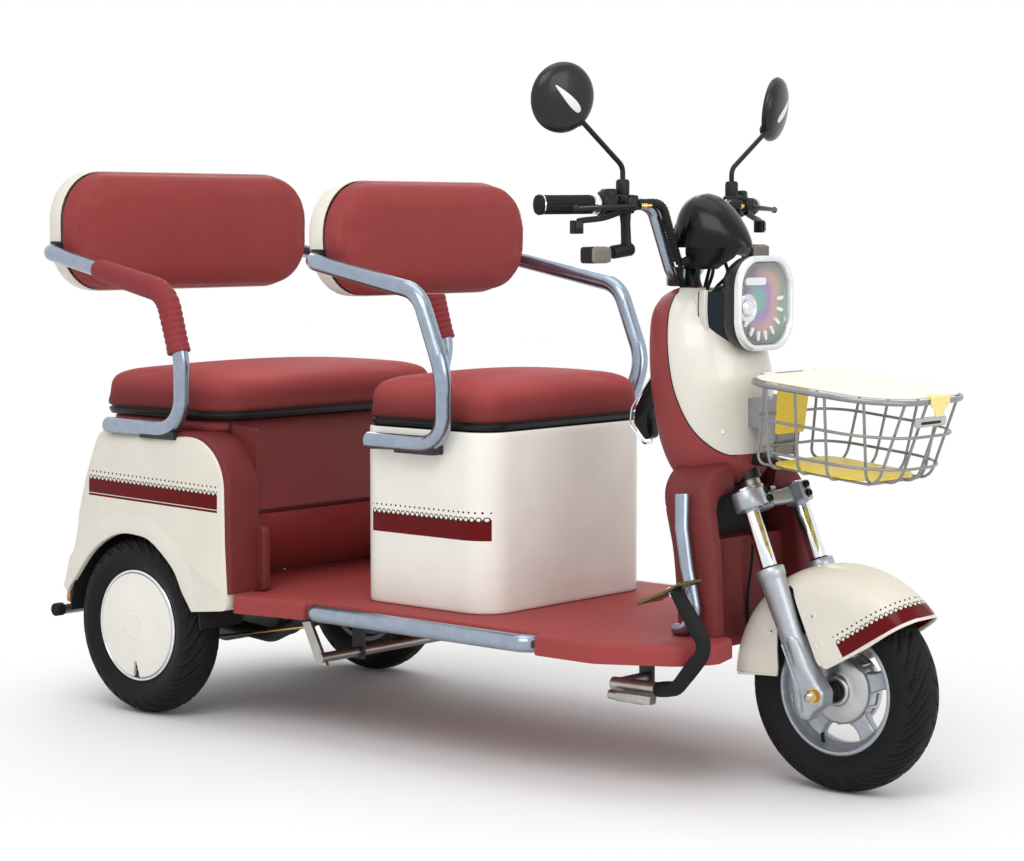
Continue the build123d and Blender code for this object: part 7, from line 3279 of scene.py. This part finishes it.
    def signals(self) -> None:
        """Turn signals on elbows under the perches."""
        top = self.at(168, 6, -16)
        elbow = Vector((top.x + 3, top.y, 962))
        route = [top, top.lerp(elbow, 0.3), top.lerp(elbow, 0.75), elbow + Vector((0, 0, 2))]
        strut = tube(route, lambda s: 11.5 - 2.2 * math.sin(s * math.pi), 20, flat=(1.0, 0.8))
        inner = elbow + Vector((2, 12, 2))
        outer = elbow + Vector((-5, -40, -4))
        barrel = knob([(7, 0), (11, 1), (12.4, 4), (12.4, 46), (11, 50), (8, 51)], inner, outer - inner, 28)
        neck = knob([(8.4, 0), (8.4, 8), (7, 9), (7, 14)], outer, outer - inner, 24)
        tip = outer + (outer - inner).normalized() * 36
        case = slab(rounded_box(27, 15, 6, 44), -15, 11, 3.4, Side.FRONT).moved(tip.x, tip.y, tip.z)
        whole = (strut + barrel + neck + case).both()
        Workshop.piece("signal_arms", whole, Palette.black, Body.STEERING, ["turn_signals"], sharp=50)
        lens = slab(rounded_box(25.5, 13.6, 5, 44), 10.4, 16, 2.4, Side.FRONT).moved(tip.x, tip.y, tip.z)
        Workshop.piece("signal_lenses", lens.both(), Palette.signal, Body.STEERING, sharp=50)
        ribs = Shape()
        for step in range(9):
            y = -20 + step * 5
            ribs = ribs + rod([(16, y, -10), (16, y, 10)], 1.3, sides=8).moved(tip.x, tip.y, tip.z)
        Workshop.piece("signal_lens_ribs", ribs.both(), Palette.signal, Body.STEERING)

    def build(self) -> None:
        """Make everything on the bar ends."""
        self.grip()
        self.switches()
        self.levers()
        self.mirrors()
        self.signals()


@dataclass
class BarMiddle:
    """Instrument pod, bar clamp and the looms and cables between them."""

    base_z: float = 966.0
    power: float = 2.3
    stations: tuple[Point, ...] = (
        (1127, 18, 32), (1130, 34, 58), (1137, 47, 78), (1150, 57, 92), (1168, 62, 98), (1188, 61, 95),
        (1208, 56, 85),
        (1228, 47, 69), (1248, 34, 47), (1262, 22, 28), (1271, 12, 13), (1275, 4, 5),
    )

    def pod(self) -> None:
        """The gloss helmet over the instruments."""
        rings = []
        for x, half, tall in (tuple(p) for p in smooth_line(self.stations, 60)):
            ring = []
            for step in range(73):
                turn = math.pi * step / 72
                c, s = math.cos(turn), math.sin(turn)
                crease = 1.3 if x > 1176 else 0.0
                y = bulged(c, 2 / self.power) * (half + crease)
                ring.append(Vector((x, y, self.base_z + abs(s) ** (2 / self.power) * (tall + crease))))
            ring += [Vector((x, -y, self.base_z)) for y in np.linspace(half, -half, 13)[1:-1]]
            rings.append(ring)
        Workshop.piece(
            "instrument_pod_shell", loft(rings), Palette.gloss, Body.STEERING, ["instrument_pod"], sharp=38
        )
        facing = Vector((-0.86, 0, 0.5)).normalized()
        across = Vector((0, 1, 0))
        rise = facing.cross(across)
        middle = Vector((1136, 0, 1008))
        rings = []
        for grow, lift in ((1.0, -6), (1.0, 2.4), (0.94, 4.2), (0.9, 3.2), (0.3, 3.4)):
            shape = oval(38, 30, 56, self.power)
            rings.append([middle + (across * p.x + rise * p.y) * grow + facing * lift for p in shape])
        Workshop.piece("instrument_display", loft(rings), Palette.gloss, Body.STEERING, sharp=40)
        rings = []
        steps = (
            (1150, 1236, 40, 967), (1148, 1232, 38, 958), (1146, 1222, 33, 946), (1146, 1204, 26, 934),
            (1146, 1194, 22, 926),
        )
        for x0, x1, half, z in steps:
            ring = rounded_box((x1 - x0) / 2, half, 16, 48)
            rings.append([Vector((p.x + (x0 + x1) / 2, p.y, z)) for p in ring])
        Workshop.piece("instrument_pod_base", loft(rings), Palette.soft_black, Body.STEERING, sharp=50)
        clamp = slab(rounded_box(20, 28, 8, 40), 894, 930, 4).moved(x=1124)
        Workshop.piece("handlebar_clamp", clamp, Palette.black, Body.STEERING, sharp=50)

    def looms(self) -> None:
        """Corrugated looms along the bar and loose cables down into the column."""
        path = rounded(
            [(1138, -157, 1045), (1156, -108, 1047), (1146, -44, 934), (1172, -42, 945)], [30, 12], steps=14
        )
        line = respaced(path, 260)
        hose = tube(line, lambda s: 7.6 + 1.3 * math.sin(s * 2 * math.pi * 36), 14)
        Workshop.piece(
            "cable_looms", hose.both(), Palette.soft_black, Body.STEERING, ["wiring_loom"], sharp=70
        )
        routes = [
            [(1148, -40, 940), (1142, -40, 912), (1146, -30, 888), (1156, -18, 868)],
            [(1180, -30, 930), (1178, -34, 908), (1170, -24, 886), (1164, -10, 866)],
            [(1206, -20, 944), (1210, -26, 920), (1196, -20, 896), (1176, -8, 872)],
            [(1200, 24, 942), (1204, 28, 916), (1188, 18, 894), (1172, 8, 870)],
            [(1160, 34, 932), (1150, 38, 908), (1152, 26, 886), (1158, 12, 866)],
            [(1128, -118, 1040), (1148, -96, 1010), (1158, -66, 960), (1152, -46, 918), (1150, -28, 890)],
        ]
        cables = Shape()
        for route in routes:
            cables = cables + tube(smooth_line(route, 36), 3.3, 10)
        Workshop.piece("steering_cables", cables, Palette.rubber, Body.STEERING)
        stem = knob([(15, 0), (15, 70)], (1160, 0, 866), Steering().up, 28)
        Workshop.piece("steering_stem_cover", stem, Palette.black, Body.STEERING)

    def build(self) -> None:
        """Make the middle of the handlebar."""
        Workshop.carry(Palette.silver, "handlebar")
        self.pod()
        self.looms()


@dataclass
class BrakePedal:
    """Plated pedal on a sleeved lever, with its pivot tubes."""

    pad: Point = (1283.0, -246.0, 366.0)
    tilt: float = 25.0

    def build(self) -> None:
        """Make the pedal."""
        sleeve = rounded(
            [(1256, -239, 187), (1312, -262, 199), (1378, -262, 277), (1306, -258, 370)], [24, 32], steps=14
        )
        cover = tube(
            respaced(sleeve, 60), lambda s: 13.6 + 0.5 * math.sin(s * 19) - 2.0 * max(0.0, s - 0.9) * 10, 24
        )
        Workshop.piece("brake_lever_sleeve", cover, Palette.rubber, Body.CHASSIS, ["brake_pedal"])
        arm = rod([(1150, -238, 186), (1262, -239, 188)], 12, sides=28, rim=3)
        cross = rod([(1159, -258, 170), (1236, -258, 168)], 9, sides=24, rim=2)
        pivot = rod([(1159, -240, 186), (1159, -140, 186)], 10, sides=24, rim=2)
        corners = [Vector(p) for p in ((1178, 160), (1254, 162), (1256, 178), (1180, 178))]
        strap = slab(corners, -266, -246, 3, Side.ACROSS)
        Workshop.piece(
            "brake_pedal_tubes", arm + cross + pivot + strap, Palette.steel, Body.CHASSIS, sharp=50
        )
        half = [(52, 34), (30, 26), (0, 20), (-30, 27), (-52, 37)]
        outline = [*half, *[(x, -y) for x, y in reversed(half)]]
        line = respaced(
            rounded(outline, [3, 30, 30, 30, 3, 3, 30, 30, 30, 3], closed=True, steps=5), 90, closed=True
        )
        levels = [(3, -4), (0.8, -3.4), (0, -2), (0.6, 1.4), (3.4, 2.8), (6, 2.6), (9, 1.2)]
        plate = loft([[laid(Side.PLAN, p, z) for p in offset_line(line, inset)] for inset, z in levels])
        centre = Vector(self.pad)
        placed = plate.turned(-self.tilt, (0, 1, 0)).moved(*centre)
        Workshop.piece("brake_pedal_pad", placed, Palette.olive, Body.CHASSIS, sharp=50)
        tilt = math.radians(self.tilt)
        head = [(0, -10), (4, -10), (4, 2), (7, 2.4), (7, 5), (5, 6.6), (0, 7)]
        bolt = knob(head, self.pad, (-math.sin(tilt), 0, math.cos(tilt)), 20)
        Workshop.piece("brake_pedal_bolt", bolt, Palette.chrome, Body.CHASSIS)


@dataclass
class BagHook:
    """Black folding hook behind the column, with its bright wire loop."""

    def build(self) -> None:
        """Make the hook."""
        outline = [
            (1128, 748), (1080, 752), (1064, 738), (1022, 664), (1018, 634), (1046, 603), (1058, 610),
            (1054, 650), (1080, 690), (1128, 692),
        ]
        radii = [6, 14, 20, 24, 10, 8, 6, 30, 20, 6]
        line = respaced(rounded(outline, radii, closed=True, steps=7), 120, closed=True)
        body = slab(line, -15, 15, 4, Side.ACROSS)
        Workshop.piece("bag_hook_body", body, Palette.gloss, Body.CHASSIS, ["bag_hook"], sharp=50)
        loop = []
        for y in (-16.5, 16.5):
            loop += [(1076, y, 742), (1016, y, 664), (1012, y, 632), (1044, y, 597)][:: 1 if y < 0 else -1]
        wire = tube(respaced(rounded(loop, [20, 14, 8, 8, 14, 20], steps=6), 90), 2.0, 10)
        Workshop.piece("bag_hook_loop", wire, Palette.chrome, Body.CHASSIS)


# ------------------------------------------------------------------ studio


@dataclass
class Studio:
    """Pale floor, soft lamps and the camera."""

    eye: Point = (3942.3, -3733.7, 1017.6)
    aim: Point = (703.0, 0.0, 602.0)
    lens: float = 88.38
    sensor: float = 36.0
    floor_size: float = 24.0
    shadow_reach: tuple[float, float] = (0.8, 1.4)
    world_strength: float = 0.67

    def place(self, point: Point) -> Vector:
        """A place in metres from millimetres ahead of the rear axle."""
        return Vector(((point[0] + REAR_AXLE_X) * MM, point[1] * MM, point[2] * MM))

    def camera(self) -> None:
        """Stand the camera."""
        data = bpy.data.cameras.new("camera")
        data.lens = self.lens
        data.sensor_width = self.sensor
        data.clip_end = 100.0
        made = bpy.data.objects.new("camera", data)
        made.location = self.place(self.eye)
        look = self.place(self.aim) - made.location
        made.rotation_mode = "QUATERNION"
        made.rotation_quaternion = look.to_track_quat("-Z", "Y")
        bpy.context.scene.collection.objects.link(made)
        bpy.context.scene.camera = made

    def lamp(self, name: str, place: Point, aim: Point, size: Point, power: float) -> None:
        """Hang one soft lamp.

        Args:
            name: its name.
            place: where, in metres.
            aim: what it faces, in metres.
            size: its width and height in metres.
            power: its power in watts.
        """
        data = bpy.data.lights.new(name, "AREA")
        data.shape = "RECTANGLE"
        data.size, data.size_y = size
        data.energy = power
        made = bpy.data.objects.new(name, data)
        made.location = place
        made.rotation_mode = "QUATERNION"
        made.rotation_quaternion = (Vector(aim) - Vector(place)).to_track_quat("-Z", "Y")
        bpy.context.scene.collection.objects.link(made)

    def seen_directly(self, graph: Tree) -> Value:
        """One for rays that see the surroundings themselves.

        Args:
            graph: the nodes to add to.

        Returns:
            The mask.
        """
        rays = graph.node("ShaderNodeLightPath")
        camera = Value(graph, rays.outputs["Is Camera Ray"])
        glossy = Value(graph, rays.outputs["Is Glossy Ray"])
        through = Value(graph, rays.outputs["Is Transmission Ray"])
        return (camera + glossy + through).at_most(1.0)

    def surroundings(self) -> None:
        """White all round for the eye, softer for the light it sheds."""
        world = bpy.data.worlds.new("studio")
        bpy.context.scene.world = world
        graph = Tree(world)
        level = self.seen_directly(graph) * (1 - self.world_strength) + self.world_strength
        sky = graph.node("ShaderNodeBackground", {}, {"Color": (1.0, 1.0, 1.0, 1.0), "Strength": level})
        graph.node("ShaderNodeOutputWorld", {}, {"Surface": sky.outputs[0]})

    def floor(self) -> None:
        """A floor that fades into the white background."""
        half = self.floor_size / 2
        corners = [(-half, -half, 0), (half, -half, 0), (half, half, 0), (-half, half, 0)]
        data = bpy.data.meshes.new("floor")
        data.from_pydata(corners, [], [(0, 1, 2, 3)])
        made = bpy.data.objects.new("floor", data)
        bpy.context.scene.collection.objects.link(made)
        graph = Graph("studio_floor")
        distance = ((graph.place(0) * graph.place(0)) + (graph.place(1) * graph.place(1))) ** 0.5
        near, far = (reach / MM for reach in self.shadow_reach)
        fade = distance.ramp(near, far)
        speck = graph.noise(6, 3)
        matt = graph.dress(
            Base_Color=graph.mix(speck, (0.90, 0.90, 0.90), (0.93, 0.93, 0.93)),
            Roughness=speck * 0.1 + 0.85,
            Specular_IOR_Level=0.1,
        )
        glow = graph.node("ShaderNodeEmission", {}, {"Color": (1.0, 1.0, 1.0, 1.0), "Strength": 1.0})
        factor = fade * self.seen_directly(graph)
        mixed = graph.node(
            "ShaderNodeMixShader", {}, {0: factor, 1: graph.shader.outputs[0], 2: glow.outputs[0]}
        )
        graph.tree.links.new(mixed.outputs[0], graph.output.inputs["Surface"])
        data.materials.append(matt)

    def build(self) -> None:
        """Set the scene."""
        self.camera()
        self.surroundings()
        self.floor()
        self.lamp("key", (1.6, -2.6, 3.4), (0, 0, 0.5), (2.6, 2.0), 58)
        self.lamp("top", (0.1, 0.0, 3.5), (0.1, 0, 0.5), (2.6, 2.0), 20)
        self.lamp("front", (4.2, -0.6, 1.9), (0, 0, 0.5), (2.0, 2.0), 34)
        self.lamp("back", (-2.6, 2.4, 3.0), (0, 0, 0.6), (2.4, 1.8), 30)
        bpy.context.scene.view_settings.view_transform = "Standard"


# ------------------------------------------------------------------ carried nodes


@dataclass(frozen=True)
class CarriedNodes:
    """CAD nodes whose shape is already right, by finish."""

    def build(self) -> None:
        """Dress them."""
        shown = {
            Palette.frame_black: ("chassis_frame", "rear_axle", "rear_suspension"),
            Palette.steel: ("brake_shaft",),
            Palette.brass: ("brake_rod",),
            Palette.motor: ("drive_motor",),
            Palette.silver: ("bench_arm_tube", "driver_arm_tube", "rear_bumper"),
            Palette.soft_black: ("wheel_liners", "back_clamps", "battery_pack"),
        }
        for finish, nodes in shown.items():
            Workshop.carry(finish, *nodes)


@dataclass
class ArmMounts:
    """Black blocks under the feet of both arm tubes, each as x, y and the height of its top."""

    blocks: tuple[tuple[Point, Point, float], ...] = (
        ((34.0, 136.0), (-384.0, -350.0), 592.0),
        ((644.0, 744.0), (-276.0, -246.0), 591.0),
    )
    tall: float = 17.0

    def build(self) -> None:
        """Make them."""
        mounts = Shape()
        for (rear, front), (right, left), top in self.blocks:
            plan = [Vector(p) for p in ((rear, right), (front, right), (front, left), (rear, left))]
            mounts = mounts + slab(plan, top - self.tall, top, 2)
        Workshop.piece("arm_mount_blocks", mounts.both(), Palette.frame_black, Body.CHASSIS, ["arm_brackets"])


def main() -> None:
    """Build every sub-assembly in order."""
    logging.basicConfig(level=logging.INFO, format="%(message)s")
    makers = (
        CarriedNodes, ArmMounts, Floor, DriverBox, RearBody, Wheels, Column, LegShield, Headlamp, Basket,
        Fork,
        FrontFender, BarEnds, BarMiddle, BrakePedal, BagHook, Upholstery, FoamSleeves, BackShells, Studio,
    )
    for maker in makers:
        maker().build()


if __name__ == "__main__":
    main()
